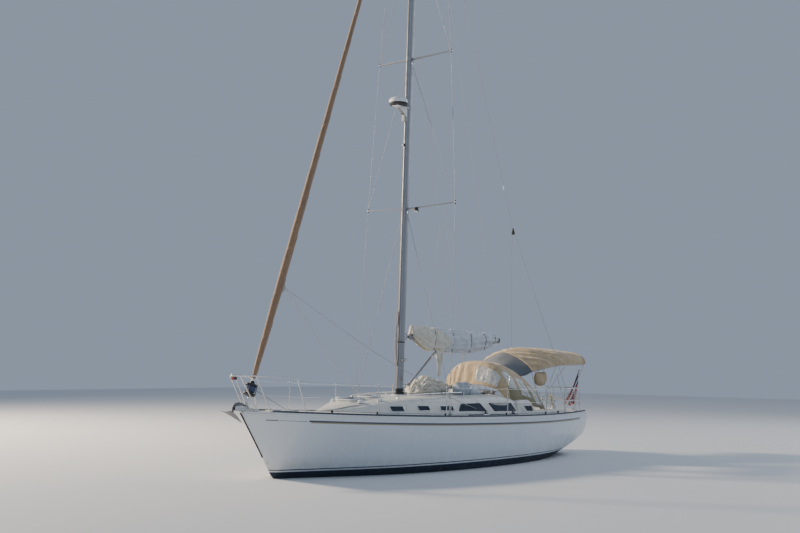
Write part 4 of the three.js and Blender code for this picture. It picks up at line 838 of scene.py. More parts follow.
def tube_tree():
    tree = new_tree("tube_along_path", Radius=("Float", 0.01), Sides=("Int", 12), Material=("Material", None))
    source = tree.nodes.new("NodeGroupInput")
    length = add(tree, "GeometryNodeSplineParameter")
    kept = add(tree, "GeometryNodeStoreNamedAttribute", {"data_type": "FLOAT", "domain": "POINT"},
        Geometry=source.outputs["Geometry"], Name="far", Value=length.outputs["Length"])
    circle = add(tree, "GeometryNodeCurvePrimitiveCircle", {"mode": "RADIUS"},
        Resolution=source.outputs["Sides"], Radius=source.outputs["Radius"])
    turn = add(tree, "GeometryNodeSplineParameter")
    profile = add(tree, "GeometryNodeStoreNamedAttribute", {"data_type": "FLOAT", "domain": "POINT"},
        Geometry=circle.outputs[0], Name="turn", Value=turn.outputs["Factor"])
    swept = add(tree, "GeometryNodeCurveToMesh", Curve=kept.outputs[0], Profile_Curve=profile.outputs[0],
        Fill_Caps=True)
    far = add(tree, "GeometryNodeInputNamedAttribute", {"data_type": "FLOAT"}, Name="far")
    round_it = add(tree, "GeometryNodeInputNamedAttribute", {"data_type": "FLOAT"}, Name="turn")
    uv = add(tree, "ShaderNodeCombineXYZ", X=round_it.outputs[0], Y=far.outputs[0])
    finish_tree(tree, swept.outputs[0], source.outputs["Material"], uv.outputs[0])
    return tree


TUBE = tube_tree()


def run_tree(piece, tree, **values):
    """Runs a tree on a piece with its inputs set, and returns the result as a plain mesh piece."""
    modifier = piece.modifiers.new("tree", "NODES")
    modifier.node_group = tree
    for item in tree.interface.items_tree:
        if getattr(item, "in_out", "") == "INPUT" and item.name in values:
            modifier[item.identifier] = values[item.name]
    bpy.context.view_layer.update()
    mesh = bpy.data.meshes.new_from_object(piece.evaluated_get(bpy.context.evaluated_depsgraph_get()))
    name = piece.name
    piece.modifiers.clear()
    bpy.data.objects.remove(piece)
    for spare in ("far", "turn"):
        if spare in mesh.attributes:
            mesh.attributes.remove(mesh.attributes[spare])
    made = bpy.data.objects.new(name, mesh)
    bpy.context.scene.collection.objects.link(made)
    return made


def rounded(path, radius, steps=5):
    """A path of points with its corners rounded."""
    path = [Vector(p) for p in path]
    out = [path[0]]
    for before, here, after in zip(path, path[1:], path[2:]):
        a, b = before - here, after - here
        cut = min(radius, a.length * 0.45, b.length * 0.45)
        start, end = here + a.normalized() * cut, here + b.normalized() * cut
        if radius <= 0:
            out.append(here)
            continue
        for k in range(steps + 1):
            t = k / steps
            out.append(start * (1 - t) ** 2 + here * 2 * t * (1 - t) + end * t**2)
    out.append(path[-1])
    return out


def curve_of(name, paths):
    data = bpy.data.curves.new(name, "CURVE")
    data.dimensions = "3D"
    for path in paths:
        spline = data.splines.new("POLY")
        spline.points.add(len(path) - 1)
        for point, place in zip(spline.points, path):
            point.co = (*place, 1)
    piece = bpy.data.objects.new(name, data)
    bpy.context.scene.collection.objects.link(piece)
    return piece


def tubes(name, paths, radius, material, sides=12, bend=0.0):
    """Round tubes along several paths, as one piece."""
    paths = [rounded(path, bend) if bend else [Vector(p) for p in path] for path in paths]
    piece = run_tree(curve_of(name, paths), TUBE, Radius=radius, Sides=sides, Material=material)
    return crisp(piece, 50)


def sagging(start, end, sag, steps=14):
    """Points of a line that hangs slightly between two ends."""
    a, b = Vector(start), Vector(end)
    return [a.lerp(b, t) - Vector((0, 0, sag * 4 * t * (1 - t))) for t in spread(0, 1, steps)]


def from_stem(path):
    """Points given in metres aft of the stemhead, as points of the frame."""
    return [(aft(a), y, z) for a, y, z in path]


print("tube tree inputs:", [i.name for i in TUBE.interface.items_tree])

# %% [markdown]
# ## Hull
#
# The hull is one fair skin from stem to transom: sharp and deep forward, broad and flat aft.
# It could be modelled by pulling a grid about, but a fair hull is easier to get from its lines: a table of
# a few sections, each with its breadth, sheer, depth and fullness, read through a spline. The skin gets
# a real wall with Solidify, so the inside shows correctly through the hatches.

# %% Hull lines and skin
HULL_LINES = [  # aft of stem, half breadth, sheer, lowest point, fullness of bilge and of flare
    (0.00, 0.026, 1.360, 1.335, 1.10, 1.30), (0.23, 0.215, 1.350, 1.005, 1.10, 1.30),
    (0.52, 0.440, 1.340, 0.580, 1.15, 1.30), (0.905, 0.690, 1.319, 0.010, 1.20, 1.30),
    (1.30, 0.905, 1.301, -0.165, 1.40, 1.35), (2.00, 1.195, 1.268, -0.300, 1.90, 1.50),
    (3.00, 1.490, 1.226, -0.415, 2.70, 1.80), (4.20, 1.710, 1.184, -0.495, 3.50, 2.05),
    (5.60, 1.825, 1.146, -0.530, 4.00, 2.20), (7.00, 1.840, 1.117, -0.495, 4.10, 2.25),
    (8.30, 1.765, 1.099, -0.385, 3.90, 2.20), (9.40, 1.625, 1.096, -0.220, 3.50, 2.15),
    (10.30, 1.460, 1.104, -0.045, 3.20, 2.10), (10.80, 1.350, 1.114, 0.075, 3.10, 2.10),
    (11.06, 1.290, 1.119, 0.150, 3.10, 2.10),
]
LENGTH = 11.06
CAMBER = 0.06
DECK = 0.03


def half_at(lines, z):
    place, half, sheer, low, bilge, flat = lines
    share = min(max((z - low) / (sheer - low), 0.0), 1.0)
    return half * (1 - (1 - share) ** bilge) ** (1 / flat)


def hull_ring(lines, steps=18, top=None):
    place, half, sheer, low = lines[:4]
    top = sheer - DECK if top is None else top
    side = []
    for i in range(steps + 1):
        z = top + (low - top) * (1 - (1 - i / steps) ** 1.9)
        side.append((aft(place), half_at(lines, z) if i < steps else 0.0, z))
    return both_sides(side)


HULL_PLACES = sorted({round(p, 3) for p in spread(0, LENGTH, 75)} | {0.06, 0.12, 0.23, 0.38, 0.905})
hull_rows = [smooth(HULL_LINES, p) for p in HULL_PLACES]
hull_points, hull_faces = skin([hull_ring(row) for row in hull_rows], closed=False)
side_steps = len(hull_ring(hull_rows[0])) // 2
transom_start = (len(hull_rows) - 1) * (2 * side_steps + 1)
for start, flip in ((0, True), (transom_start, False)):
    for i in range(side_steps):
        a, b, c, d = start + i, start + i + 1, start + 2 * side_steps - i - 1, start + 2 * side_steps - i
        face = (a, b, c, d) if b != c else (a, b, d)
        hull_faces.append(face[::-1] if flip else face)
hull_uvs = [(STEM - x, smooth(HULL_LINES, STEM - x)[2] - z) for x, y, z in hull_points]
hull_piece = make("hull_shell", hull_points, hull_faces, hull_paint, hull_uvs)
modified(hull_piece, ("SOLIDIFY", {"thickness": 0.034, "offset": -1, "use_even_offset": False}))
ride(crisp(hull_piece, 38), replaces=["hull"])


def sheer_edge(place, inward=0.0, up=0.0):
    row = smooth(HULL_LINES, place)
    return (aft(place), row[1] - inward, row[2] + up)


def deck_top(place, y):
    row = smooth(HULL_LINES, place)
    camber = CAMBER * min(row[1] / 1.2, 1)
    return row[2] + camber * (1 - (y / row[1]) ** 2)


print("hull faces:", len(hull_piece.data.polygons), "box:", hull_piece.dimensions)

# %% [markdown]
# ## Floor and light
#
# The floor lies exactly at the waterline and has an opening where the hull goes through it. Light is soft:
# one strong warm lamp on the starboard side leaves the port side of the hull in gentle shade, as a low sun
# does. Two broad and fainter ones, off the port bow and astern, and a pale world give the rest.

# %% Floor and light
FLOOR_REACH = 60
SKY, SKY_STRENGTH = (0.58, 0.70, 0.90, 1), 0.46
floor_rim = []
for row in hull_rows:
    if row[3] < -0.02:
        floor_rim.append((aft(row[0]), max(half_at(row, 0.0) - 0.02, 0.004), 0.0))
rim = floor_rim + mirror_points(floor_rim)[::-1]
outer = []
for x, y, z in rim:
    reach = FLOOR_REACH / max(abs(x), abs(y), 0.01)
    outer.append((x * reach, y * reach, 0.0))
floor_points, floor_faces = skin([rim, outer], ends=False)
pale = Finish("pale_floor", (0.72, 0.73, 0.74), 0.55)
pale.feed("Roughness", 0.5 + pale.noise(2.0) * 0.1)
floor = make("floor", floor_points, floor_faces, pale.material, flat=True)
if floor.data.polygons[0].normal.z < 0:
    floor.data.flip_normals()

world = bpy.data.worlds.new("studio")
bpy.context.scene.world = world
world.use_nodes = True
background = world.node_tree.nodes["Background"].inputs
background["Color"].default_value, background["Strength"].default_value = SKY, SKY_STRENGTH


def lamp(name, place, target, size, watts, colour):
    data = bpy.data.lights.new(name, "AREA")
    data.shape, data.size, data.energy, data.color = "DISK", size, watts, colour
    light = bpy.data.objects.new(name, data)
    light.location = place
    light.rotation_euler = (Vector(target) - Vector(place)).to_track_quat("-Z", "Y").to_euler()
    bpy.context.scene.collection.objects.link(light)
    return light


lamp("sun_side", (12, -29, 15), (0, 0, 2.5), 4, 21000, (1.0, 0.84, 0.64))
lamp("sky_side", (14, 26, 20), (0, 0, 1), 22, 1100, (0.70, 0.84, 1.0))
lamp("stern_side", (-24, 8, 16), (0, 0, 2), 16, 1500, (0.90, 0.95, 1.0))
print("floor rim points:", len(rim))

# %% [markdown]
# ## Deck moulding
#
# Deck, coachroof, cockpit and coamings of a real boat are one moulding. They could be joined by hand,
# vertex by vertex. It is simpler and exact to add and cut plain closed solids: the shell is what is left
# when the inner solids are taken from the outer ones. The coachroof's sections come from a table like the
# hull's.

# %% Coachroof sections
ROOF_LINES = [  # aft of stem, half width at the deck, at the shoulder, shoulder height, crown height
    (2.08, 0.120, 0.100, 1.300, 1.322), (2.30, 0.290, 0.210, 1.318, 1.350),
    (2.52, 0.460, 0.330, 1.350, 1.395), (2.70, 0.580, 0.440, 1.380, 1.445),
    (2.93, 0.730, 0.580, 1.410, 1.498), (3.20, 0.870, 0.730, 1.450, 1.525),
    (3.60, 1.020, 0.890, 1.505, 1.560), (4.80, 1.170, 1.050, 1.562, 1.610),
    (6.30, 1.240, 1.105, 1.570, 1.625), (7.35, 1.230, 1.090, 1.566, 1.622),
    (7.75, 1.205, 1.065, 1.508, 1.615), (8.00, 1.185, 1.050, 1.455, 1.606),
    (8.12, 1.175, 1.045, 1.400, 1.600),
]
ROOF_FOOT = 1.05


def roof_ring(lines, wall=0.0, low=ROOF_FOOT):
    place, foot, shoulder, side, crown = lines
    foot, shoulder, side, crown = foot - wall, shoulder - wall, side - wall * 0.6, crown - wall
    edge = min(deck_top(place, foot) - 0.01, side - 0.03)
    half = [(foot, low), (foot, edge)]
    lean = foot - shoulder
    start = (foot - lean * 0.72, max(side - 0.065, edge + 0.002))
    corner, end = (shoulder - lean * 0.02, side), (shoulder - lean * 0.9, side + 0.02)
    for k in range(7):
        t = k / 6
        half.append(tuple(start[i] * (1 - t) ** 2 + corner[i] * 2 * t * (1 - t) + end[i] * t * t
                for i in (0, 1)))
    for share in (0.78, 0.58, 0.38, 0.19):
        y = shoulder * share
        half.append((y, side + (crown - side) * (1 - share**2.2)))
    half.append((0.0, crown))
    return both_sides([(aft(place), y, z) for y, z in half])


def roof_solid(name, places, wall=0.0, low=ROOF_FOOT):
    points, faces = skin([roof_ring(smooth(ROOF_LINES, p), wall, low) for p in places])
    return make(name, points, faces, deck_mould)


def prism(name, outline, low, high, axis="z"):
    """A closed outline carried between two places along an axis."""
    if axis == "z":
        rings = [[(x, y, z) for x, y in outline] for z in (low, high)]
    else:
        rings = [[(x, y, z) for x, z in outline] for y in (low, high)]
    points, faces = skin(rings)
    return make(name, points, faces, deck_mould)


def softened(outline, radius, steps=5):
    """A closed outline with its corners rounded."""
    out, count = [], len(outline)
    for i in range(count):
        here = Vector(outline[i])
        a, b = Vector(outline[i - 1]) - here, Vector(outline[(i + 1) % count]) - here
        cut = min(radius, a.length * 0.45, b.length * 0.45)
        start, end = here + a.normalized() * cut, here + b.normalized() * cut
        out += [start * (1 - t) ** 2 + here * 2 * t * (1 - t) + end * t * t for t in spread(0, 1, steps)]
    return [tuple(p) for p in out]


def rectangle(x0, x1, y0, y1, radius=0.03):
    return softened([(x0, y0), (x1, y0), (x1, y1), (x0, y1)], radius)


def combined(target, others, operation):
    """Adds solids to a target or cuts them from it, and removes them."""
    for other in others:
        modifier = target.modifiers.new("cut", "BOOLEAN")
        modifier.operation, modifier.solver, modifier.object = operation, "MANIFOLD", other
    modified(target)
    for other in others:
        bpy.data.objects.remove(other)
    return target


# %% Adding up the outer solids
SEAT, SOLE, WELL = 0.80, 0.42, 0.40
TRACK_OUT = 1.315
WALL = 0.03


def deck_ring(row):
    breadth = [1, 0.88, 0.72, 0.55, 0.36, 0.18, 0, -0.18, -0.36, -0.55, -0.72, -0.88, -1]
    camber = CAMBER * min(row[1] / 1.2, 1)
    upper = [(aft(row[0]), row[1] * s, row[2] + camber * (1 - s * s)) for s in breadth]
    return upper + [(x, y, z - DECK) for x, y, z in upper][::-1]


roof_front = [2.08, 2.14, 2.21, 2.30, 2.41, 2.52, 2.61, 2.70, 2.81, 2.93]
roof_places = roof_front + spread(3.05, 8.12, 34)
deck_piece = make("deck_moulding", *skin([deck_ring(row) for row in hull_rows]), deck_mould)
tub_half, tub_front, tub_back, well_back = 0.90, 8.12, 10.45, 10.15
outer_solids = [roof_solid("roof", roof_places), prism("tub",
        rectangle(aft(tub_back) - WALL, aft(tub_front) + WALL, -tub_half - WALL, tub_half + WALL, 0.09),
        SEAT - WALL, 1.13), prism("well", rectangle(aft(well_back) - WALL, aft(tub_front) + WALL,
            -WELL - WALL, WELL + WALL, 0.08), SOLE - WALL, SEAT + 0.02), ]
COAMING_LINES = [(7.94, 0.905, 1.165, 1.447), (8.56, 0.905, 1.150, 1.436), (8.76, 0.905, 1.140, 1.262),
                 (9.80, 0.905, 1.080, 1.205), (10.35, 0.905, 1.040, 1.190), (10.62, 0.905, 1.000, 1.125)]
for sign in (1, -1):
    rings = []
    for place in [7.94, 8.2, 8.45, 8.56, 8.62, 8.69, 8.76, 8.9, 9.3, 9.8, 10.2, 10.35, 10.45, 10.55, 10.62]:
        _, inner, edge, top = smooth(COAMING_LINES, place)
        ring = [(inner, ROOF_FOOT), (edge + 0.015, ROOF_FOOT), (edge + 0.003, top - 0.05),
            (edge - 0.008, top - 0.022), (edge - 0.028, top - 0.005), (edge - 0.05, top), (inner + 0.04, top),
            (inner + 0.012, top - 0.008), (inner, top - 0.03)]
        rings.append([(aft(place), sign * y, z) for y, z in ring])
    outer_solids.append(make("coaming", *skin(rings), deck_mould))
HATCHES = {"fore_hatch_lid": (3.19, 0.52, 0.47), "mid_hatch_lid": (3.78, 0.40, 0.42)}
WINCH_AFT, WINCH_OUT, WINCH_FOOT = 9.9, 0.985, 1.31


def roof_crown(place):
    return smooth(ROOF_LINES, place)[4]


def on_roof(name, place, length, width, low, high, radius=0.05):
    """A rounded slab lying on the roof's slope, between two heights above it."""
    front, back = roof_crown(place - length / 2), roof_crown(place + length / 2)
    middle = max((front + back) / 2, roof_crown(place))
    outline = rectangle(-length / 2, length / 2, -width / 2, width / 2, radius)
    rings = []
    for rise in (low, high):
        rings.append([(aft(place) + x, y, middle + rise - x * (back - front) / length) for x, y in outline])
    return make(name, *skin(rings), deck_mould)


for place, length, width in HATCHES.values():
    outer_solids.append(on_roof("coaming", place, length - 0.04, width - 0.04, -0.06, 0.026))
for sign in (1, -1):
    outer_solids.append(prism("runner", [(aft(8.15), sign * 0.336), (aft(6.66), sign * 0.336),
                (aft(6.66), sign * 0.364), (aft(8.15), sign * 0.364)], 1.56, 1.640))
    pedestal = [(0.0, 1.13), (0.075, 1.13), (0.066, 1.27), (0.062, WINCH_FOOT), (0, WINCH_FOOT)]
    outer_solids.append(turned("winch_base", pedestal, deck_mould, (aft(WINCH_AFT), sign * WINCH_OUT, 0)))
hood_rings = []
for place, drop in [(6.60, 0.085), (6.66, 0.03), (6.74, 0.008), (6.9, 0.0), (7.37, 0.0)]:
    top = 1.718 - drop
    ring = [(0.40, 1.56), (0.40, top - 0.05), (0.392, top - 0.02), (0.37, top - 0.005), (0.33, top),
        (0, top + 0.006)]
    hood_rings.append(both_sides([(aft(place), y, z) for y, z in ring]))
outer_solids.append(make("hood", *skin(hood_rings), deck_mould))
outer_solids.append(turned("mast_pad", [(0, 1.56), (0.20, 1.56), (0.19, 1.624), (0.175, 1.63), (0, 1.63)],
        deck_mould, (0.882, 0, 0)))
LOCKER_AFT = 1.12
outer_solids.append(prism("anchor_tub", rectangle(aft(LOCKER_AFT) - 0.26, aft(LOCKER_AFT) + 0.26, -0.21, 0.21,
            0.04), 1.095, 1.34))
combined(deck_piece, outer_solids, "UNION")
print("deck solids added, faces:", len(deck_piece.data.polygons))

# %% Cutting the inner solids
WINDOWS = {
    "window_fwd": [(0.054, 1.422), (-0.674, 1.425), (-0.879, 1.240), (0.178, 1.267)],
    "window_aft": [(-1.017, 1.427), (-2.020, 1.412), (-2.180, 1.204), (-1.201, 1.231)],
}
PORTS = {
    "port_a": [(2.261, 1.413), (1.925, 1.410), (1.910, 1.301), (2.238, 1.303)],
    "port_b": [(1.527, 1.411), (1.170, 1.407), (1.126, 1.301), (1.482, 1.298)],
    "port_c": [(0.799, 1.397), (0.370, 1.388), (0.338, 1.271), (0.774, 1.282)],
}
COAMING_PORT = [(-2.530, 1.322), (-2.920, 1.312), (-2.985, 1.190), (-2.670, 1.196)]
inner_solids = [roof_solid("roof_room", [2.52, 2.61, 2.70, 2.81, 2.93] + spread(3.05, 8.04, 30), WALL,
        ROOF_FOOT - 0.06), prism("tub_room", rectangle(aft(tub_back), aft(tub_front), -tub_half, tub_half,
            0.06), SEAT, 2.0), prism("well_room", rectangle(aft(well_back), aft(tub_front), -WELL, WELL,
            0.05), SOLE, SEAT + 0.05), prism("companion", rectangle(aft(8.4), aft(8.0), -0.33, 0.33, 0.01),
        0.90, 1.9), prism("companion_top", rectangle(aft(8.4), aft(7.45), -0.33, 0.33, 0.02), 1.50, 1.9),
    prism("anchor_room", rectangle(aft(LOCKER_AFT) - 0.235, aft(LOCKER_AFT) + 0.235, -0.185, 0.185, 0.03),
        1.12, 1.5), prism("hood_room", rectangle(aft(7.5), aft(6.70), -0.378, 0.378, 0.01), 1.628, 1.696), ]
for place, length, width in HATCHES.values():
    ahead, behind = aft(place) - length / 2 + 0.04, aft(place) + length / 2 - 0.04
    opening = rectangle(ahead, behind, -width / 2 + 0.04, width / 2 - 0.04, 0.03)
    inner_solids.append(prism("hatch_room", opening, 1.3, 1.9))
for outline in list(WINDOWS.values()) + list(PORTS.values()):
    inner_solids.append(prism("window", softened(outline, 0.03), 0.6, 1.5, "y"))
    inner_solids.append(prism("window", softened(outline, 0.03), -1.5, -0.6, "y"))
for sign in (1, -1):
    inner_solids.append(prism("coaming_port", softened(COAMING_PORT, 0.02), sign * 0.6, sign * 1.5, "y"))
combined(deck_piece, inner_solids[:1], "DIFFERENCE")
combined(deck_piece, inner_solids[1:], "DIFFERENCE")
modified(deck_piece, ("WELD", {"merge_threshold": 0.0004}))
for polygon in deck_piece.data.polygons:
    polygon.material_index = 0
ride(repainted(crisp(deck_piece, 32), deck_mould), replaces=["deck"])
print("deck faces:", len(deck_piece.data.polygons))

# %% [markdown]
# ## Panes, ports and hatch lids
#
# Dark acrylic panes sit in rebates in the coachroof's side, with a thin black seal round them.
# A pane must lie exactly on a side that curves both ways. It could be cut from the moulding by a boolean;
# here a small grid in the outline's shape is dropped on to the roof along Y with rays, which keeps it fair.

# %% A surface to lay things on
roof_points, roof_faces = skin([roof_ring(smooth(ROOF_LINES, p))
        for p in roof_front + spread(3.05, 8.12, 60)])
ROOF_SIDE = BVHTree.FromPolygons([Vector(p) for p in roof_points], roof_faces)


def side_at(x, z, sign=1):
    """Where the roof's side is, seen from abeam, and which way it faces."""
    place, normal, *_ = ROOF_SIDE.ray_cast(Vector((x, sign * 4.0, z)), Vector((0, -sign, 0)))
    if normal is not None and normal.y * sign < 0:
        normal = -normal
    return place, normal


def standing(x, y):
    """The height of deck or coachroof at a place, whichever is higher."""
    roof = ROOF_SIDE.ray_cast(Vector((x, y, 5.0)), Vector((0, 0, -1)))[0]
    return max(deck_top(STEM - x, y), roof.z if roof else -9)


def plate_on_side(name, outline, sign, out, thick, material, shrink=0.0, steps=8):
    """A plate in the shape of an outline in X and Z, laid on the roof's side."""
    cx = sum(p[0] for p in outline) / len(outline)
    cz = sum(p[1] for p in outline) / len(outline)
    rings = []
    for k in range(steps + 1):
        share = 1 - k / steps
        ring = []
        for x, z in outline:
            dx, dz = x - cx, z - cz
            reach = math.hypot(dx, dz)
            scale = share * (reach - shrink) / reach
            ring.append((cx + dx * scale, cz + dz * scale))
        rings.append(ring)
    points, faces = [], []
    count = len(outline)
    for ring in rings[:-1]:
        for x, z in ring:
            place, normal = side_at(x, z, sign)
            points.append(place + normal * out)
    centre, normal = side_at(cx, cz, sign)
    points.append(centre + normal * out)
    for r in range(len(rings) - 2):
        for i in range(count):
            j = (i + 1) % count
            faces.append((r * count + i, r * count + j, (r + 1) * count + j, (r + 1) * count + i))
    last = (len(rings) - 2) * count
    faces += [(last + i, last + (i + 1) % count, len(points) - 1) for i in range(count)]
    mesh = bpy.data.meshes.new(name)
    mesh.from_pydata(points, [], faces)
    piece = bpy.data.objects.new(name, mesh)
    bpy.context.scene.collection.objects.link(piece)
    mesh.materials.append(material)
    if mesh.polygons[0].normal.y * sign < 0:
        mesh.flip_normals()
    modified(piece, ("SOLIDIFY", {"thickness": thick, "offset": -1.0}))
    return crisp(piece, 40)


def spaced(path, step=0.2):
    """A path with points close enough together to bend smoothly."""
    out = []
    for a, b in zip(path, path[1:]):
        a, b = Vector(a), Vector(b)
        count = max(1, int((b - a).length / step))
        out += [a.lerp(b, k / count) for k in range(count)]
    return out + [Vector(path[-1])]


def bridge(piece):
    """Bakes the place of a rope that leads from the boat to a moving body into its mesh."""
    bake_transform(piece)
    return piece


def seal_on_side(outline, sign, out):
    path = [side_at(x, z, sign) for x, z in outline]
    return [place + normal * out for place, normal in path + path[:1]]


# %% Panes and ports
for sign, side in SIDES:
    for name, outline in WINDOWS.items():
        shape = softened(outline, 0.035, 6)
        pane = plate_on_side(f"{name}_pane_{side}", shape, sign, -0.004, 0.008, window_acrylic, 0.003)
        ride(pane, replaces=[f"{name}_{side}"])
        seal = tubes(f"{name}_seal_{side}", [seal_on_side(shape, sign, 0.0)], 0.006, black_rubber, 8)
        ride(seal)
    glass, frames = [], []
    for outline in PORTS.values():
        shape = softened(outline, 0.03, 5)
        glass.append(plate_on_side("port_glass", shape, sign, -0.010, 0.006, window_acrylic, 0.002, 4))
        frames.append(tubes("port_frame", [seal_on_side(shape, sign, 0.003)], 0.009, stainless, 8))
    dressed(f"port_glass_{side}", glass, "glass")
    dressed(f"port_frames_{side}", frames, "steel")
    y = sign * 1.13
    shape = softened(COAMING_PORT, 0.02, 5)
    pane = prism(f"coaming_port_{side}", shape, y - sign * 0.012, y - sign * 0.004, "y")
    pane.data.materials[0] = window_acrylic
    ride(crisp(pane))
print("panes laid on the roof")

# %% [markdown]
# Hatch lids are a cast frame with a tinted acrylic centre, two hinges and two catches.
# Each is made flat, on its own slope line, and rides on the body that lifts it.

# %% Hatch lids
def slab(name, place, length, width, low, high, radius, material, soft=0.006):
    piece = on_roof(name, place, length, width, low, high, radius)
    piece.data.materials[0] = material
    return eased(piece, soft)


for lid, (place, length, width) in HATCHES.items():
    body = lid.replace("_lid", "")
    frame_ring = slab("frame", place, length, width, 0.0265, 0.050, 0.05, white_gelcoat)
    hole = on_roof("hole", place, length - 0.09, width - 0.09, 0.030, 0.09, 0.03)
    combined(frame_ring, [hole], "DIFFERENCE")
    repainted(crisp(frame_ring, 35), white_gelcoat)
    pane = slab("pane", place, length - 0.094, width - 0.094, 0.0305, 0.046, 0.03, hatch_acrylic, 0.002)
    parts = [frame_ring, pane]
    ahead, behind = roof_crown(place - length / 2), roof_crown(place + length / 2)
    slope, middle = (behind - ahead) / length, max((ahead + behind) / 2, roof_crown(place))
    catch = [(0, 0), (0.016, 0), (0.016, 0.006), (0.007, 0.010), (0, 0.010)]
    for sign in (1, -1):
        x = length / 2 - 0.02
        spot = (aft(place) + x, sign * width * 0.3, middle + 0.040 - x * slope)
        parts.append(rod("hinge", 0.009, -0.025, 0.025, stainless, spot, ABEAM, 12))
        x = -length / 2 + 0.075
        spot = (aft(place) + x, sign * width * 0.28, middle + 0.048 - x * slope)
        parts.append(turned("catch", catch, black_plastic, spot, UP, 16))
    dressed(f"{lid}_dressed", parts, "gelcoat", lid, body=body)
print("hatch lids done")

# %% Anchor locker lid, seat lids and sliding hatch
def deck_slab(name, outline, low, high, material, soft=0.005):
    """A slab on the deck's camber."""
    rings = [[(x, y, deck_top(STEM - x, y) + rise) for x, y in outline] for rise in (low, high)]
    return eased(make(name, *skin(rings), material), soft)


x0, x1 = aft(LOCKER_AFT) - 0.272, aft(LOCKER_AFT) + 0.272
lid = deck_slab("lid", rectangle(x0, x1, -0.222, 0.222, 0.04), 0.0008, 0.016, deck_mould)
latch = turned("latch", [(0, 0), (0.028, 0), (0.028, 0.004), (0.02, 0.006), (0, 0.006)], stainless,
    (x0 + 0.06, 0, deck_top(STEM - x0 - 0.06, 0) + 0.0155), UP, 24)
dressed("anchor_locker_lid_dressed", [lid, latch], "deck", "anchor_locker_lid", body="anchor_locker")

for sign, side in SIDES:
    ys = sorted((sign * 0.43, sign * 0.87))
    panel = prism("panel", rectangle(aft(9.38), aft(8.48), ys[0], ys[1], 0.03), SEAT + 0.0003, SEAT + 0.020)
    eased(panel, 0.005)
    slats = []
    for k in range(7):
        y = ys[0] + 0.035 + k * 0.058
        slats.append(block("slat", (aft(9.35), y, SEAT + 0.0195), (aft(8.51), y + 0.05, SEAT + 0.0275),
                oiled_teak, 0.002, 1))
    catch = turned("catch", [(0, 0), (0.022, 0), (0.022, 0.004), (0, 0.005)], stainless,
        (aft(8.93), sign * 0.45, SEAT + 0.0195), UP, 20)
    dressed(f"locker_lid_{side}_dressed", [panel, *slats, catch], "deck", f"locker_lid_{side}",
        body=f"locker_{side}")

slide_rings = []
for place, drop in [(7.37, 0.012), (7.385, 0.003), (7.41, 0.0), (8.15, 0.0), (8.178, 0.003), (8.19, 0.012)]:
    base = 1.6403
    ring = [(0.372, base), (0.372, base + 0.020 - drop * 0.5), (0.362, base + 0.027 - drop),
        (0.30, base + 0.036 - drop), (0.15, base + 0.040 - drop), (0, base + 0.041 - drop)]
    slide_rings.append(both_sides([(aft(place), y, z) for y, z in ring]))
cover = crisp(make("cover", *skin(slide_rings), white_gelcoat), 40)
lip = block("lip", (aft(8.19), -0.31, 1.566), (aft(8.165), 0.31, 1.649), white_gelcoat, 0.008)
rail = tubes("rail", [[(aft(8.05), -0.2, 1.672), (aft(8.05), -0.2, 1.706), (aft(8.05), 0.2, 1.706),
            (aft(8.05), 0.2, 1.672)]], 0.009, stainless, 10, 0.03)
dressed("companionway_hatch_dressed", [cover, lip, rail], "gelcoat", "companionway_hatch",
    body="companionway")
print("lids done")

# %% [markdown]
# ## Toe rails, rub strake and stem guard
#
# A perforated alloy toe rail runs along each deck edge and stops short of the bow, where the moulding
# itself turns up. Slots repeat along it, so a small tree sets one dark slot shape at even steps along the
# path.

# %% Toe rails
def edge_strip(name, places, section, sign, material):
    """A section of (inward, up) pairs swept along the deck edge."""
    rings = []
    for place in places:
        x, y, z = sheer_edge(place)
        rings.append([(x, sign * (y - inward), z + up) for inward, up in section])
    return crisp(make(name, *skin(rings), material), 40)


rail_places = spread(0.48, 10.98, 90)
RAIL = [(0.012, 0.0006), (0.012, 0.010), (0.015, 0.014), (0.015, 0.036), (0.013, 0.042), (0.019, 0.0455),
    (0.033, 0.0445), (0.034, 0.038), (0.021, 0.036), (0.021, 0.012), (0.040, 0.007), (0.042, 0.0012)]


def slot_tree():
    tree = new_tree("slots_along_path", Step=("Float", 0.11), Length=("Float", 0.05), Height=("Float", 0.012),
        Material=("Material", None))
    source = tree.nodes.new("NodeGroupInput")
    stops = add(tree, "GeometryNodeResampleCurve", {"mode": "LENGTH"}, Curve=source.outputs["Geometry"],
        Length=source.outputs["Step"])
    size = add(tree, "ShaderNodeCombineXYZ", X=0.0045, Y=source.outputs["Length"], Z=source.outputs["Height"])
    slot = add(tree, "GeometryNodeMeshCube", Size=size.outputs[0])
    tangent = add(tree, "GeometryNodeInputTangent")
    turn = add(tree, "FunctionNodeAlignRotationToVector", {"axis": "Y"}, Vector=tangent.outputs[0])
    set_out = add(tree, "GeometryNodeInstanceOnPoints", Points=stops.outputs[0], Instance=slot.outputs[0],
        Rotation=turn.outputs[0])
    finish_tree(tree, set_out.outputs[0], source.outputs["Material"])
    return tree


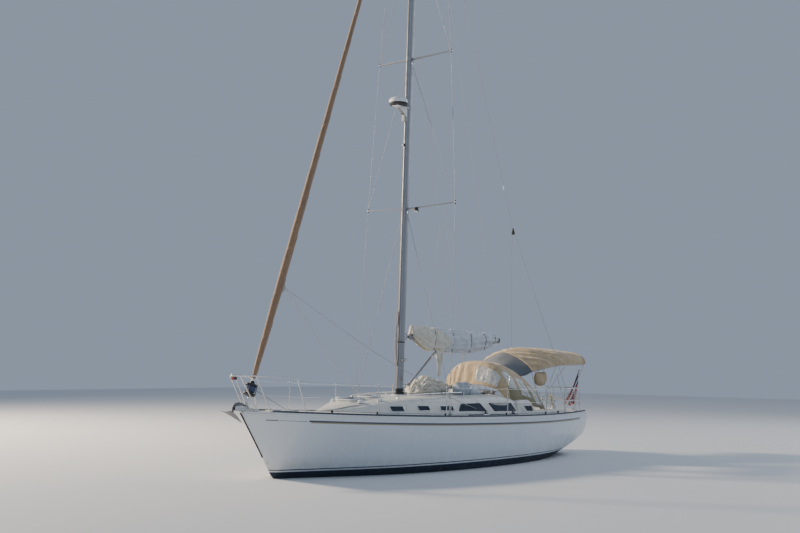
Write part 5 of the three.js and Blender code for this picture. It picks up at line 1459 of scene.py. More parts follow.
SLOTS = slot_tree()
for sign, side in SIDES:
    rail = edge_strip("rail", rail_places, RAIL, sign, dark_anodised)
    line = [(x, sign * (y - 0.0170), z + 0.0245) for x, y, z in (sheer_edge(p)
            for p in spread(0.6, 10.9, 90))]
    # painted shade: dark blocks set in the rail's web where its holes are
    slots = run_tree(curve_of("slots", [line]), SLOTS, Step=0.11, Length=0.052, Height=0.013,
        Material=black_rubber)
    dressed(f"toe_rail_{side}_dressed", [rail, slots], "dark_alloy", f"toe_rail_{side}")
    strake_section = [(0.004, -0.052), (-0.006, -0.050), (-0.010, -0.042), (-0.010, -0.030), (-0.006, -0.022),
        (0.006, -0.020)]
    strake = edge_strip(f"rub_strake_{side}", spread(0.10, 11.04, 90), strake_section, sign, white_gelcoat)
    ride(strake)
    lip_section = [(0.002, -0.018), (-0.003, -0.010), (-0.002, 0.004), (0.006, 0.010), (0.020, 0.011),
        (0.034, 0.004), (0.03, -0.004)]
    lip = edge_strip(f"deck_lip_{side}", spread(0.02, 11.05, 90), lip_section, sign, white_gelcoat)
    ride(lip)

stem_line = [(aft(row[0]) + 0.004, 0, row[3]) for row in (smooth(HULL_LINES, p)
        for p in spread(0.0, 0.93, 30))]
guard = tubes("stem_guard", [[p for p in stem_line if p[2] > 0.42]], 0.016, black_rubber, 10)
ride(guard)
transom_rings = []
ahead, behind, low = aft(LENGTH) + 0.026, aft(LENGTH) - 0.001, smooth(HULL_LINES, LENGTH)[2] - 0.035
for y in spread(-1.27, 1.27, 47):
    high = deck_top(LENGTH, y) - 0.001
    transom_rings.append([(ahead, y, low), (behind, y, low), (behind, y, high), (ahead, y, high)])
ride(crisp(make("transom_cap", *skin(transom_rings), white_gelcoat), 40))
drain = turned("stem_eye", [(0, 0), (0.024, 0), (0.024, 0.008), (0.012, 0.012), (0, 0.008)], stainless,
    (5.01, 0.055, 0.29), (0.75, 0.6, -0.25), 20)
ride(drain)
print("rails done")

# %% [markdown]
# ## Bow gear
#
# The stemhead carries a folded stainless fitting with a roller, and the anchor lies stowed in it. The
# fitting is flat plate, so outlines are enough. The fluke is dished, so it is a skin between a few
# sections. Chain is one link set again and again along a path, each turned a quarter from the last: that
# is what instances are for.

# %% Stem fitting
def plate(name, outline, y0, y1, material, soft=0.0015, corner=0.012):
    """A flat plate standing fore and aft, from an outline in metres aft and up."""
    piece = prism(name, softened([(aft(a), z) for a, z in outline], corner, 4), y0, y1, "y")
    piece.data.materials[0] = material
    return eased(piece, soft, 1)


CHEEK = [(0.43, 1.34), (0.43, 1.40), (0.10, 1.44), (-0.11, 1.482), (-0.178, 1.465), (-0.182, 1.402),
    (-0.12, 1.385), (-0.01, 1.372), (-0.01, 1.345)]
TANG = [(0.19, 1.34), (0.19, 1.50), (0.17, 1.53), (0.11, 1.53), (0.09, 1.50), (0.09, 1.34)]
ROLLER = (aft(-0.13), 0, 1.425)
fitting = [plate("cheek", CHEEK, s * 0.038, s * 0.044, stainless) for s in (1, -1)]
fitting.append(plate("tang", TANG, -0.005, 0.005, stainless))
fitting.append(block("sole", (aft(0.43), -0.06, 1.345), (aft(-0.005), 0.06, 1.3785), stainless, 0.003))
fitting.append(turned("roller", [(0, -0.036), (0.030, -0.036), (0.034, -0.028), (0.024, -0.008), (0.022, 0),
            (0.024, 0.008), (0.034, 0.028), (0.030, 0.036), (0, 0.036)], black_rubber, ROLLER, ABEAM, 28))
fitting.append(turned("bolt", [(0, -0.053), (0.010, -0.053), (0.010, -0.046), (0.006, -0.045), (0.006, 0.045),
            (0.010, 0.046), (0.010, 0.053), (0, 0.053)], stainless, ROLLER, ABEAM, 6, 20))
for a in (0.06, 0.24, 0.40):
    for y in (0.05, -0.05):
        fitting.append(turned("screw", [(0.007, 0), (0.007, 0.002), (0.004, 0.004), (0, 0.004)], stainless,
                (aft(a), y, 1.378), UP, 12))
dressed("stem_fitting_dressed", fitting, "steel", "stem_fitting")

# %% Anchor
SHANK = [(0.13, 1.459), (0.13, 1.493), (-0.05, 1.553), (-0.16, 1.529), (-0.222, 1.467), (-0.230, 1.30),
    (-0.18, 1.29), (-0.182, 1.44), (-0.14, 1.461), (-0.06, 1.481)]
FLUKE = [(-0.392, 0.150, 1.374, 1.400, 1.352), (-0.230, 0.122, 1.312, 1.318, 1.284),
    (-0.090, 0.064, 1.232, 1.232, 1.206), (0.043, 0.008, 1.146, 1.143, 1.138)]
rings = []
for place in spread(-0.392, 0.043, 14):
    _, half, middle, edges, under = smooth(FLUKE, place)
    ring = [(half * s, middle + (edges - middle) * abs(s) ** 1.5)
        for s in (1, 0.75, 0.5, 0.25, 0, -0.25, -0.5, -0.75, -1)]
    ring += [(half * s * 0.985, under + (edges - 0.005 - under) * abs(s) ** 1.3)
        for s in (-1, -0.7, -0.35, 0, 0.35, 0.7, 1)]
    rings.append([(aft(place), y, z) for y, z in ring])
fluke = crisp(make("fluke", *skin(rings), galvanised), 50)
shank = plate("shank", SHANK, -0.009, 0.009, galvanised, 0.004, 0.022)
eye = tubes("shackle", [[(aft(0.115), -0.016, 1.476), (aft(0.15), -0.016, 1.470), (aft(0.165), 0, 1.466),
            (aft(0.15), 0.016, 1.470), (aft(0.115), 0.016, 1.476)]], 0.005, galvanised, 8, 0.02)
dressed("anchor_dressed", [fluke, shank, eye], "galvanised", "anchor")


def chain_tree():
    tree = new_tree("chain_along_path", Pitch=("Float", 0.026), Wire=("Float", 0.004),
        Material=("Material", None))
    source = tree.nodes.new("NodeGroupInput")
    stops = add(tree, "GeometryNodeResampleCurve", {"mode": "LENGTH"}, Curve=source.outputs["Geometry"],
        Length=source.outputs["Pitch"])
    circle = add(tree, "GeometryNodeCurvePrimitiveCircle", {"mode": "RADIUS"}, Resolution=16, Radius=0.0105)
    oval = add(tree, "GeometryNodeTransform", Geometry=circle.outputs[0], Scale=(1.65, 1.0, 1.0))
    wire = add(tree, "GeometryNodeCurvePrimitiveCircle", {"mode": "RADIUS"}, Resolution=8,
        Radius=source.outputs["Wire"])
    link = add(tree, "GeometryNodeCurveToMesh", Curve=oval.outputs[0], Profile_Curve=wire.outputs[0])
    tangent = add(tree, "GeometryNodeInputTangent")
    turn = add(tree, "FunctionNodeAlignRotationToVector", {"axis": "X"}, Vector=tangent.outputs[0])
    number = add(tree, "GeometryNodeInputIndex")
    odd = add(tree, "ShaderNodeMath", {"operation": "PINGPONG"})
    tree.links.new(number.outputs[0], odd.inputs[0])
    odd.inputs[1].default_value = 1.0
    quarter = add(tree, "ShaderNodeMath", {"operation": "MULTIPLY_ADD"})
    tree.links.new(odd.outputs[0], quarter.inputs[0])
    quarter.inputs[1].default_value, quarter.inputs[2].default_value = math.pi / 2, math.pi / 4
    roll = add(tree, "FunctionNodeAxisAngleToRotation", Axis=(1, 0, 0), Angle=quarter.outputs[0])
    both = add(tree, "FunctionNodeRotateRotation", {"rotation_space": "LOCAL"})
    tree.links.new(turn.outputs[0], both.inputs[0])
    tree.links.new(roll.outputs[0], both.inputs[1])
    links = add(tree, "GeometryNodeInstanceOnPoints", Points=stops.outputs[0], Instance=link.outputs[0],
        Rotation=both.outputs[0])
    finish_tree(tree, links.outputs[0], source.outputs["Material"])
    return tree


chain_path = rounded(from_stem([(0.165, 0, 1.462), (0.27, 0, 1.395), (0.44, 0, 1.392), (0.80, 0, 1.389),
            (0.845, 0, 1.380)]), 0.05)
chain = run_tree(curve_of("anchor_chain", [chain_path]), chain_tree(), Pitch=0.026, Wire=0.004,
    Material=galvanised)
chain.data.shade_smooth()
ride(chain)


# %% Cleats
def cleat(place, turn, size=1.0, material=stainless):
    """A horn cleat with its long side along an angle from the bow."""
    turned_by = Matrix.Rotation(turn, 3, "Z") * size
    spot = Vector(place)
    at = lambda points: [spot + turned_by @ Vector(p) for p in points]
    horn = tubes("horn", [at([(-0.11, 0, 0.052), (-0.05, 0, 0.044), (0.05, 0, 0.044), (0.11, 0, 0.052)])],
        0.0105 * size, material, 10, 0.03 * size)
    legs = tubes("legs", [at([(x, 0, 0.0), (x * 0.75, 0, 0.044)]) for x in (-0.035, 0.035)], 0.010 * size,
        material, 10)
    base = turned("base", [(0, -0.006), (0.052, -0.006), (0.05, 0.004), (0.03, 0.008), (0, 0.008)], material,
        at([(0, 0, 0)])[0], UP, 20)
    return joined("cleat", [horn, legs, base])


cleats = []
CLEAT_INSET = 0.13
for sign in (1, -1):
    for a in (0.62, 5.9, 10.55):
        y = smooth(HULL_LINES, a)[1] - CLEAT_INSET
        lean = smooth(HULL_LINES, a + 0.2)[1] - smooth(HULL_LINES, a - 0.2)[1]
        cleats.append(cleat((aft(a), sign * y, deck_top(a, y)), -sign * math.atan2(lean, 0.4)))
dressed("mooring_cleats", cleats, "steel")
print("bow gear done")

# %% [markdown]
# ## Rails and lifelines
#
# The pulpit and pushpit are bent from one inch tube, with welded feet. The top lines are drawn first and
# every leg ends on them. The wires between stanchions sag a few millimetres, as nobody keeps them bar
# tight.

# %% Pulpit and pushpit
def foot_at(a, y):
    return aft(a), y, deck_top(a, abs(y))


def feet(name, places, size=1.0, material=stainless):
    """Round welded feet, one under each post."""
    profile = [(0, -0.004), (0.034, -0.004), (0.034, 0.003), (0.03, 0.006), (0.018, 0.009), (0.0145, 0.028),
        (0, 0.028)]
    return [turned(name, [(r * size, h) for r, h in profile], material, place, UP, 20) for place in places]


steel_parts = []
front = from_stem([(0.88, 0.68, 1.985), (0.83, 0.658, 2.025), (0.30, 0.41, 2.060), (0.11, 0.308, 2.060),
        (-0.17, 0.15, 2.070), (-0.245, 0, 2.075)])
steel_parts.append(tubes("top", [both_sides([foot_at(1.10, 0.72)] + front)], 0.0128, stainless, 14, 0.06))
for sign in (1, -1):
    legs = [[(aft(0.11), sign * 0.308, 2.060), foot_at(0.49, sign * 0.33)],
        [(aft(-0.17), sign * 0.15, 2.070), foot_at(0.285, sign * 0.18)]]
    steel_parts.append(tubes("legs", legs, 0.0125, stainless, 14))
    steel_parts += feet("foot", [foot_at(1.10, sign * 0.72), foot_at(0.49, sign * 0.33),
            foot_at(0.285, sign * 0.18)])
dressed("pulpit_dressed", steel_parts, "steel", "pulpit")
lamp_body = block("body", (aft(-0.15), -0.045, 1.985), (aft(-0.235), 0.045, 2.045), black_plastic, 0.012, 3)
lenses = [turned("lens", [(0, 0), (0.026, 0), (0.026, 0.012), (0.02, 0.018), (0, 0.02)], lens,
        (aft(-0.232), s * 0.022, 2.015), (1, s * 0.5, 0), 20) for s,
    lens in ((1, red_lamp), (-1, green_lamp))]
dressed("bow_light", [lamp_body] + lenses, "black")

PUSHPIT = [(9.62, 1.500), (10.30, 1.385), (10.75, 1.290), (10.90, 1.160), (10.96, 0.900), (10.96, 0.300),
    (10.96, 0)]
steel_parts = []
for height in (1.74, 1.43):
    steel_parts.append(tubes("rail", [both_sides([(aft(a), y, height) for a, y in PUSHPIT])], 0.0128,
            stainless, 14, 0.16))
for a, y in ((9.62, 1.5), (10.30, 1.385), (10.90, 1.16), (10.96, 0.30)):
    for sign in (1, -1):
        steel_parts.append(tubes("leg", [[(aft(a), sign * y, 1.74), foot_at(a, sign * y)]], 0.0125, stainless,
                14))
        steel_parts += feet("foot", [foot_at(a, sign * y)])
dressed("pushpit_dressed", steel_parts, "steel", "pushpit")

# %% Stanchions, lifelines and handrails
STANCHIONS = (2.60, 4.45, 6.65, 8.48)
for sign, side in SIDES:
    posts, caps = [], []
    for a in STANCHIONS:
        x, y, z = sheer_edge(a, 0.075)
        posts.append([(x, sign * y, z + 0.655), (x, sign * y, z - 0.01)])
        caps += feet("foot", [(x, sign * y, deck_top(a, y))], 1.05)
        caps.append(turned("cap", [(0.0125, 0), (0.0135, 0.003), (0.0135, 0.012), (0.008, 0.02), (0, 0.021)],
                white_plastic, (x, sign * y, z + 0.65), UP, 16))
    made = [tubes("posts", posts, 0.0122, stainless, 14)] + caps
    for up, start in ((0.33, (1.011, 0.712, 1.659)), (0.64, (0.916, 0.696, 1.960))):
        stops = [(aft(start[0]), sign * start[1], start[2])]
        stops += [(x, sign * y, z + up) for x, y, z in (sheer_edge(a, 0.075) for a in STANCHIONS)]
        end = (aft(9.62) + 0.014, sign * 1.506, smooth(HULL_LINES, 9.62)[2] + up - 0.02)
        stops.append(end)
        wires = [sagging(p, q, 0.006, 10) for p, q in zip(stops, stops[1:])]
        made.append(tubes("wire", [sum([w[:-1] for w in wires], []) + [Vector(end)]], 0.0032, stainless, 8))
        screw = [Vector(end).lerp(Vector(stops[-2]), t) for t in (0.02, 0.14)]
        made.append(tubes("screw", [screw], 0.0065, stainless, 10))
        made.append(tubes("lashing", [[Vector(stops[0]), Vector(stops[0]).lerp(Vector(stops[1]), 0.05)]],
                0.006, white_braid, 8))
    dressed(f"lifelines_{side}_dressed", made, "steel", f"lifelines_{side}")
    grip = []
    places = spread(3.95, 6.35, 5)
    for a in places:
        grip.append((aft(a), sign * 0.69, standing(aft(a), sign * 0.69) + 0.06))
    first, last = grip[0], grip[-1]
    path = [(first[0] + 0.02, first[1], first[2] - 0.055)] + grip + [(last[0] - 0.02, last[1],
            last[2] - 0.055)]
    made = [tubes("bar", [path], 0.0125, stainless, 12, 0.035)]
    for x, y, z in grip:
        made.append(turned("foot", [(0, 0), (0.026, 0), (0.026, 0.012), (0.014, 0.02), (0.012, 0.06),
                    (0, 0.06)], white_plastic, (x, y, z - 0.066), UP, 16))
    dressed(f"handrail_{side}_dressed", made, "steel", f"handrail_{side}")

# %% [markdown]
# ## Mast and spreaders
#
# A mast is an extruded alloy tube with a sail track behind. It is drawn here as a soft oval section along
# its slight rake. Small things give it scale: a boot at the foot, halyards down one side, winches, lamps,
# and a radar on a bracket.

# %% Mast
RAKE = 0.0289


def mast_x(z):
    return 0.882 - (z - 1.63) * RAKE


def mast_ring(z, grow=0.0, taper=1.0, count=36):
    ring = []
    for k in range(count):
        turn = 2 * math.pi * k / count
        c, s = math.cos(turn), math.sin(turn)
        ring.append((mast_x(z) + (0.1075 + grow) * taper * math.copysign(abs(c) ** 0.86, c),
                (0.0625 + grow) * taper * math.copysign(abs(s) ** 0.86, s), z))
    return ring


def on_mast(z, ahead, side=0.0):
    """A place a distance ahead of the mast's middle, or behind it if negative."""
    return mast_x(z) + ahead, side, z


tube = make("tube", *skin([mast_ring(z) for z in (1.632, 6.0, 11.0, 15.30)] + [mast_ring(16.2, 0, 0.8)]),
    anodised)
parts = [crisp(tube, 40)]
# painted shade: the dark strip on the track's aft face stands for its open slot
for half, near, far, finish in ((0.011, 0.104, 0.118, anodised), (0.0035, 0.1165, 0.1186, black_rubber)):
    rings = [[(mast_x(z) - a, y, z) for a, y in ((near, -half), (far, -half), (far, half), (near, half))]
        for z in (2.35, 15.9)]
    parts.append(crisp(make("track", *skin(rings), finish), 30))
parts.append(crisp(make("boot", *skin([mast_ring(z, g) for z,
            g in ((1.631, 0.03), (1.645, 0.028), (1.70, 0.008), (1.76, 0.004), (1.765, 0.0005))]),
            black_rubber), 40))
parts.append(turned("collar", [(0, 0), (0.185, 0), (0.185, 0.006), (0.16, 0.010), (0, 0.010)], anodised,
        (mast_x(1.63), 0, 1.626), UP, 40))
for z, half, pin in ((2.96, 0.06, 0.014), (1.82, 0.034, 0.012)):
    for low in (z + half, z - half - 0.014):
        ear = prism("ear", softened([(0.66 - 0.024, -0.024), (0.66 - 0.024, 0.024), (mast_x(z) - 0.09, 0.034),
                    (mast_x(z) - 0.09, -0.034)], 0.018, 4), low, low + 0.014)
        ear.data.materials[0] = anodised
        parts.append(crisp(ear, 40))
    parts.append(turned("pin", [(0, -half - 0.012), (pin * 1.5, -half - 0.012), (pin * 1.5, -half - 0.004),
                (pin, -half - 0.003), (pin, half + 0.016), (pin * 1.5, half + 0.017),
                (pin * 1.5, half + 0.024), (0, half + 0.024)], stainless, (0.66, 0, z), UP, 20))
head = mast_x(16.2)
parts.append(block("truck", (head - 0.168, -0.028, 16.172), (head + 0.108, 0.028, 16.211), anodised, 0.008,
        3))
for x in (head - 0.12, head + 0.07):
    parts.append(sheave((x, 0, 16.165), 0.034, 0.012, 24))
for s in (1, -1):
    parts.append(turned("winch", [(0, 0), (0.045, 0), (0.045, 0.012), (0.032, 0.03), (0.032, 0.07),
                (0.041, 0.09), (0.041, 0.1), (0.012, 0.104), (0, 0.1)], stainless,
            on_mast(2.42, 0, s * 0.058), (0, s, 0.05), 28))
for z, s in ((2.0, 1), (2.05, -1), (2.75, -1)):
    spot = on_mast(z, 0.01, s * 0.062)
    parts.append(cleat(spot, 0, 0.62, anodised))
    upright = Matrix.Rotation(-s * math.pi / 2, 4, "X") @ Matrix.Rotation(math.pi / 2, 4, "Z")
    parts[-1].data.transform(Matrix.Translation(spot) @ upright @ Matrix.Translation(Vector(spot) * -1))
for z, ahead in ((7.47, 0.125), (12.2, 0.12)):
    parts.append(turned("lamp", [(0, 0), (0.03, 0), (0.034, 0.012), (0.034, 0.045), (0.024, 0.06),
                (0, 0.062)], black_plastic, on_mast(z, ahead - 0.02), (1, 0, -0.2), 20))
    parts.append(turned("lens", [(0, 0), (0.026, 0), (0.022, 0.008), (0, 0.012)], white_plastic,
            on_mast(z - 0.012, ahead + 0.038), (1, 0, -0.2), 20))
parts.append(block("box", (mast_x(8.12) + 0.10, -0.05, 8.03), (mast_x(8.12) + 0.18, 0.05, 8.20), grey_plastic,
        0.012, 3))
band = [mast_ring(z, 0.0015) for z in (2.815, 2.845)]
parts.append(crisp(make("band", *skin(band), black_plastic), 40))
parts.append(tubes("aerial", [[(head - 0.13, 0.0, 16.2), (head - 0.13, 0.0, 16.62)]], 0.0035, stainless, 8))
vane = [[(head - 0.02, 0, 16.2), (head + 0.0, 0, 16.36)], [(head - 0.16, 0.02, 16.37),
        (head + 0.16, -0.02, 16.37)]]
parts.append(tubes("vane", vane, 0.003, black_plastic, 6))
dressed("mast_dressed", parts, "alloy", "mast")

halyards = []
for k, (ahead, side, top) in enumerate(((0.125, -0.02, 15.9), (0.118, -0.045, 13.6), (-0.05, -0.075, 15.8),
        (0.118, 0.035, 15.9))):
    low = 1.72 + 0.03 * k
    halyards.append((sagging(on_mast(low, ahead, side), on_mast(top, ahead * 0.85, side), 0.0, 24),
            (white_braid, red_braid, white_braid, blue_braid)[k]))
ropes = [tubes("halyard", [path], 0.0055, finish, 8) for path, finish in halyards]
bundle = [[on_mast(z, 0.14 + 0.012 * math.sin(z * 5 + k), -0.055 + 0.02 * k) for z in spread(3.54, 2.30, 22)]
    for k in range(4)]
ropes += [tubes("coil", [bundle[k]], 0.006, (white_braid, red_braid)[k % 2], 8) for k in range(4)]
for z in (2.9, 3.2):
    ropes.append(tubes("hitch", [[on_mast(z + 0.006 * math.sin(t), 0.14 + 0.03 * math.cos(t),
                -0.025 + 0.05 * math.sin(t)) for t in spread(0, 2 * math.pi, 17)]], 0.006, white_braid, 8))
dressed("mast_ropes", ropes, "cream")

# %% Spreaders
SPREADERS = {"spreaders_lower": (5.95, 1.33, 0.19), "spreaders_mid": (9.56, 1.10, 0.17),
    "spreaders_upper": (12.90, 0.81, 0.13)}
for name, (z, half, sweep) in SPREADERS.items():
    parts = []
    for sign in (1, -1):
        rings = []
        for t in [0.03, 0.1, 0.35, 0.6, 0.85, 0.97, 1.0]:
            chord = (0.130 - 0.055 * t) * (1 if t < 1 else 0.8)
            thick = 0.026 * (1 - 0.2 * t) * (1 if t < 1 else 0.5)
            rings.append([(mast_x(z) - sweep * t + 0.5 * chord * math.cos(v) - 0.08 * chord
                        * math.sin(v) ** 2, sign * half * t, z + 0.08 * t + 0.5 * thick * math.sin(v))
                    for v in angles(18)])
        parts.append(crisp(make("arm", *skin(rings), anodised), 50))
        tip = (mast_x(z) - sweep, sign * half, z + 0.08)
        parts.append(turned("boot", [(0, -0.03), (0.018, -0.026), (0.021, 0), (0.018, 0.026), (0, 0.03)],
                white_plastic, tip, ABEAM, 16))
    parts.append(crisp(make("collar", *skin([mast_ring(z + dz, g) for dz,
                g in ((-0.045, 0.004), (-0.04, 0.011), (0.04, 0.011), (0.045, 0.004))]), anodised), 40))
    if name == "spreaders_lower":
        lamp_at = Vector((mast_x(z) - 0.03, 0.32, z + 0.005))
        parts.append(turned("lamp", [(0, 0), (0.03, 0), (0.055, 0.03), (0.062, 0.07), (0.058, 0.085),
                    (0, 0.088)], black_plastic, lamp_at, (0.35, 0.1, -1), 24))
        parts.append(turned("reflector", [(0, 0.088), (0.05, 0.088), (0.046, 0.093), (0, 0.094)],
                white_plastic, lamp_at, (0.35, 0.1, -1), 24))
    dressed(f"{name}_dressed", parts, "alloy", name)
print("mast and spreaders done")

# %% [markdown]
# ## Standing rigging
#
# Each wire runs from a chainplate, through a turnbuckle, past the spreader tips. Straight thin tubes are
# right here: rigging is tight. The turnbuckles, tangs and boots are what the eye reads near the deck.

# %% Shrouds, backstay and forestay
def tip_of(name):
    z, half, sweep = SPREADERS[name]
    return Vector((mast_x(z) - sweep, half + 0.0065, z + 0.08))


def turnbuckle(low, high, material=stainless):
    """A closed-body rigging screw between two points."""
    low, high = Vector(low), Vector(high)
    run = (high - low).length
    profile = [(0, 0), (0.006, 0), (0.008, 0.02), (0.008, 0.06), (0.0115, 0.075), (0.0115, run * 0.68),
        (0.008, run * 0.72), (0.0075, run * 0.92), (0.0055, run), (0, run)]
    body = turned("screw", profile, material, low, high - low, 14)
    fork = block("fork", low - Vector((0.012, 0.012, 0.03)), low + Vector((0.012, 0.012, 0.012)), material,
        0.004)
    return [body, fork]


chain_x, chain_y = aft(4.89), 1.425
chain_z = deck_top(4.89, chain_y) - 0.01
lower_tip, mid_tip, upper_tip = (tip_of(n) for n in SPREADERS)
for sign, side in SIDES:
    flip = lambda p: Vector((p[0], sign * p[1], p[2]))
    above = lambda rise, dx: flip((chain_x + dx, chain_y, chain_z + rise))
    wires = [[above(0.36, 0.02), flip(lower_tip), flip(mid_tip), flip(upper_tip),
            flip(on_mast(16.08, 0, 0.068))], [above(0.36, -0.03), flip(on_mast(5.83, 0, 0.07))],
        [flip(lower_tip), flip(on_mast(9.44, 0, 0.07))], [flip(mid_tip), flip(on_mast(12.78, 0, 0.07))]]
    parts = [tubes("wires", wires, 0.005, wire_rope, 8)]
    plate_x = [(4.89 - 0.055, chain_z), (4.89 - 0.045, chain_z + 0.10), (4.89 + 0.045, chain_z + 0.10),
        (4.89 + 0.055, chain_z)]
    parts.append(plate("chainplate", plate_x, sign * chain_y - 0.006, sign * chain_y + 0.006, stainless,
            0.0015, 0.02))
    parts.append(block("cover", (chain_x - 0.08, sign * chain_y - 0.03, chain_z - 0.01),
            (chain_x + 0.08, sign * chain_y + 0.03, chain_z + 0.016), stainless, 0.005))
    for dx, dx_top in ((0.02, 0.02), (-0.025, -0.03)):
        parts += turnbuckle(above(0.09, dx), above(0.37, dx_top))
    for z in (5.83, 9.44, 12.78, 16.08):
        parts.append(block("tang", flip(on_mast(z - 0.05, -0.022, 0.0585)) - Vector((0, 0.004, 0)),
                flip(on_mast(z + 0.06, 0.022, 0.0585)) + Vector((0, 0.006, 0)), stainless, 0.0015, 1))
    for tip in (lower_tip, mid_tip, upper_tip):
        parts.append(turned("boot", [(0, -0.045), (0.012, -0.042), (0.017, -0.02), (0.019, 0), (0.016, 0.025),
                    (0.009, 0.055), (0, 0.058)], black_plastic, flip(tip), UP, 14))
    dressed(f"shrouds_{side}_dressed", parts, "steel", f"shrouds_{side}")

SPLIT_AFT, BACKSTAY_AFT = 9.44, 10.86
split, crane = Vector((aft(SPLIT_AFT), 0, 5.85)), Vector((head - 0.160, 0, 16.162))
parts = [tubes("wire", [[crane, split + Vector((0, 0, 0.03))]], 0.005, wire_rope, 8)]
parts.append(plate("splitter", [(SPLIT_AFT - 0.03, 5.89), (SPLIT_AFT + 0.03, 5.89), (SPLIT_AFT + 0.03, 5.80),
            (SPLIT_AFT - 0.03, 5.80)], -0.006, 0.006, stainless))
parts.append(turned("yoke", [(0, -0.075), (0.034, -0.072), (0.05, -0.04), (0.046, -0.005), (0.026, 0.045),
            (0.014, 0.1), (0, 0.104)], black_plastic, (split.x, 0, 5.865), UP, 28))
for z in (7.0, 14.6):
    spot = split.lerp(crane, (z - split.z) / (crane.z - split.z))
    parts.append(turned("insulator", [(0, -0.07), (0.008, -0.065), (0.014, -0.03), (0.014, 0.03),
                (0.008, 0.065), (0, 0.07)], white_plastic, spot, crane - split, 14))
for sign in (1, -1):
    foot = Vector((aft(BACKSTAY_AFT), sign * 1.0, deck_top(BACKSTAY_AFT, 1.0) - 0.01))
    top = Vector((split.x, sign * 0.04, 5.83))
    along = (top - foot).normalized()
    parts.append(tubes("leg", [[top, foot + along * 0.40]], 0.0045, wire_rope, 8))
    parts += turnbuckle(foot + along * 0.075, foot + along * 0.42)
    parts.append(plate("eye", [(BACKSTAY_AFT - 0.03, foot.z), (BACKSTAY_AFT - 0.022, foot.z + 0.088),
                (BACKSTAY_AFT + 0.022, foot.z + 0.088), (BACKSTAY_AFT + 0.03, foot.z)], foot.y - 0.006,
            foot.y + 0.006, stainless, 0.0015, 0.018))
dressed("backstay_dressed", parts, "steel", "backstay")

STAY_FOOT, STAY_HEAD = Vector((5.56, 0, 1.50)), Vector((head + 0.1, 0, 16.14))
STAY = (STAY_HEAD - STAY_FOOT).normalized()


def on_stay(z):
    return STAY_FOOT + STAY * ((z - STAY_FOOT.z) / STAY.z)


parts = [tubes("wire", [[on_stay(1.66), on_stay(16.14)]], 0.0055, stainless, 8)]
parts += turnbuckle(on_stay(1.52), on_stay(1.72))
parts.append(turned("toggle_pin", [(0, -0.022), (0.010, -0.022), (0.010, -0.018), (0.007, -0.017),
            (0.007, 0.017), (0.010, 0.018), (0.010, 0.022), (0, 0.022)], stainless, (5.56, 0, 1.512), ABEAM,
        14))
parts.append(block("toggle", (5.546, -0.013, 1.502), (5.576, 0.013, 1.55), stainless, 0.004))
dressed("forestay_dressed", parts, "steel", "forestay")

# %% [markdown]
# ## Furled headsail
#
# A furled sail is a sheet rolled round the stay, so its section is a spiral: one edge stands up and winds
# slowly up the roll as a helix. It is one closed skin whose sections turn as they rise, with soft creases
# from noise. The clew, with its grey patch, stands out of the roll, and the two sheets lead aft from it.

# %% Furled headsail
ROLL = [(2.01, 0.034), (2.12, 0.046), (2.30, 0.055), (3.30, 0.075), (3.90, 0.083), (5.00, 0.079),
    (7.50, 0.065), (10.60, 0.047), (13.50, 0.033), (15.20, 0.021)]
WINDING = 0.92
side_axis = Vector((0, 1, 0))
fore_axis = side_axis.cross(STAY).normalized()
points, uvs, rings = [], [], 260
around = 40
for r in range(rings):
    z = 2.01 + (15.2 - 2.01) * (r / (rings - 1)) ** 1.25
    radius = smooth(ROLL, z)[1]
    belly = 0.018 * math.sin(math.pi * (z - 2.01) / 13.19)
    lead = 2 * math.pi * (z / WINDING)
    for k in range(around):
        share = k / (around - 1)
        turn = 2 * math.pi * share * (1 - 0.5 / around) + lead
        lift = 1.05 - 0.12 * share
        crease = noise.noise(Vector((math.cos(turn) * 2.2, math.sin(turn) * 2.2, z * 1.7))) * 0.055
        crease += noise.noise(Vector((math.cos(turn) * 4, math.sin(turn) * 4, z * 9 + turn * 1.4))) * 0.035
        size = radius * (lift + crease)
        points.append(on_stay(z) + fore_axis * (size * math.cos(turn) - belly) + side_axis * size
            * math.sin(turn))
        uvs.append((radius * turn, z + WINDING * share))
faces = []
for r in range(rings - 1):
    for k in range(around):
        j = (k + 1) % around
        faces.append((r * around + k, r * around + j, (r + 1) * around + j, (r + 1) * around + k))
faces += [tuple(range(around)), tuple((rings - 1) * around + k for k in range(around))]
roll = crisp(make("roll", points, faces, furled_cover, uvs), 60)
patch = []
for z, reach, thick in ((3.70, 0.075, 0.012), (3.78, 0.12, 0.016), (3.86, 0.20, 0.014), (3.92, 0.235, 0.011),
    (3.98, 0.19, 0.012), (4.06, 0.085, 0.012)):
    base = on_stay(z)
    patch.append([base + fore_axis * a + side_axis * (y - 0.03) for a,
            y in ((-0.05, thick), (-reach * 0.6, thick), (-reach, thick * 0.4), (-reach, -thick * 0.4),
                (-reach * 0.6, -thick), (-0.05, -thick))])
clew = crisp(make("clew", *skin(patch), grey_bag), 60)
modified(clew, ("SUBSURF", {"levels": 2, "render_levels": 2}))
clew.data.shade_smooth()
clew_spot = on_stay(3.92) - fore_axis * 0.215 + Vector((0, -0.03, 0))
ring = tubes("ring", [[clew_spot + Vector((0.016 * math.cos(t), 0.0, 0.016 * math.sin(t)))
            for t in spread(0, 2 * math.pi, 17)]], 0.004, stainless, 8)
dressed("genoa_dressed", [roll, clew, ring], "tan_canvas", "genoa_furled", body="furler")

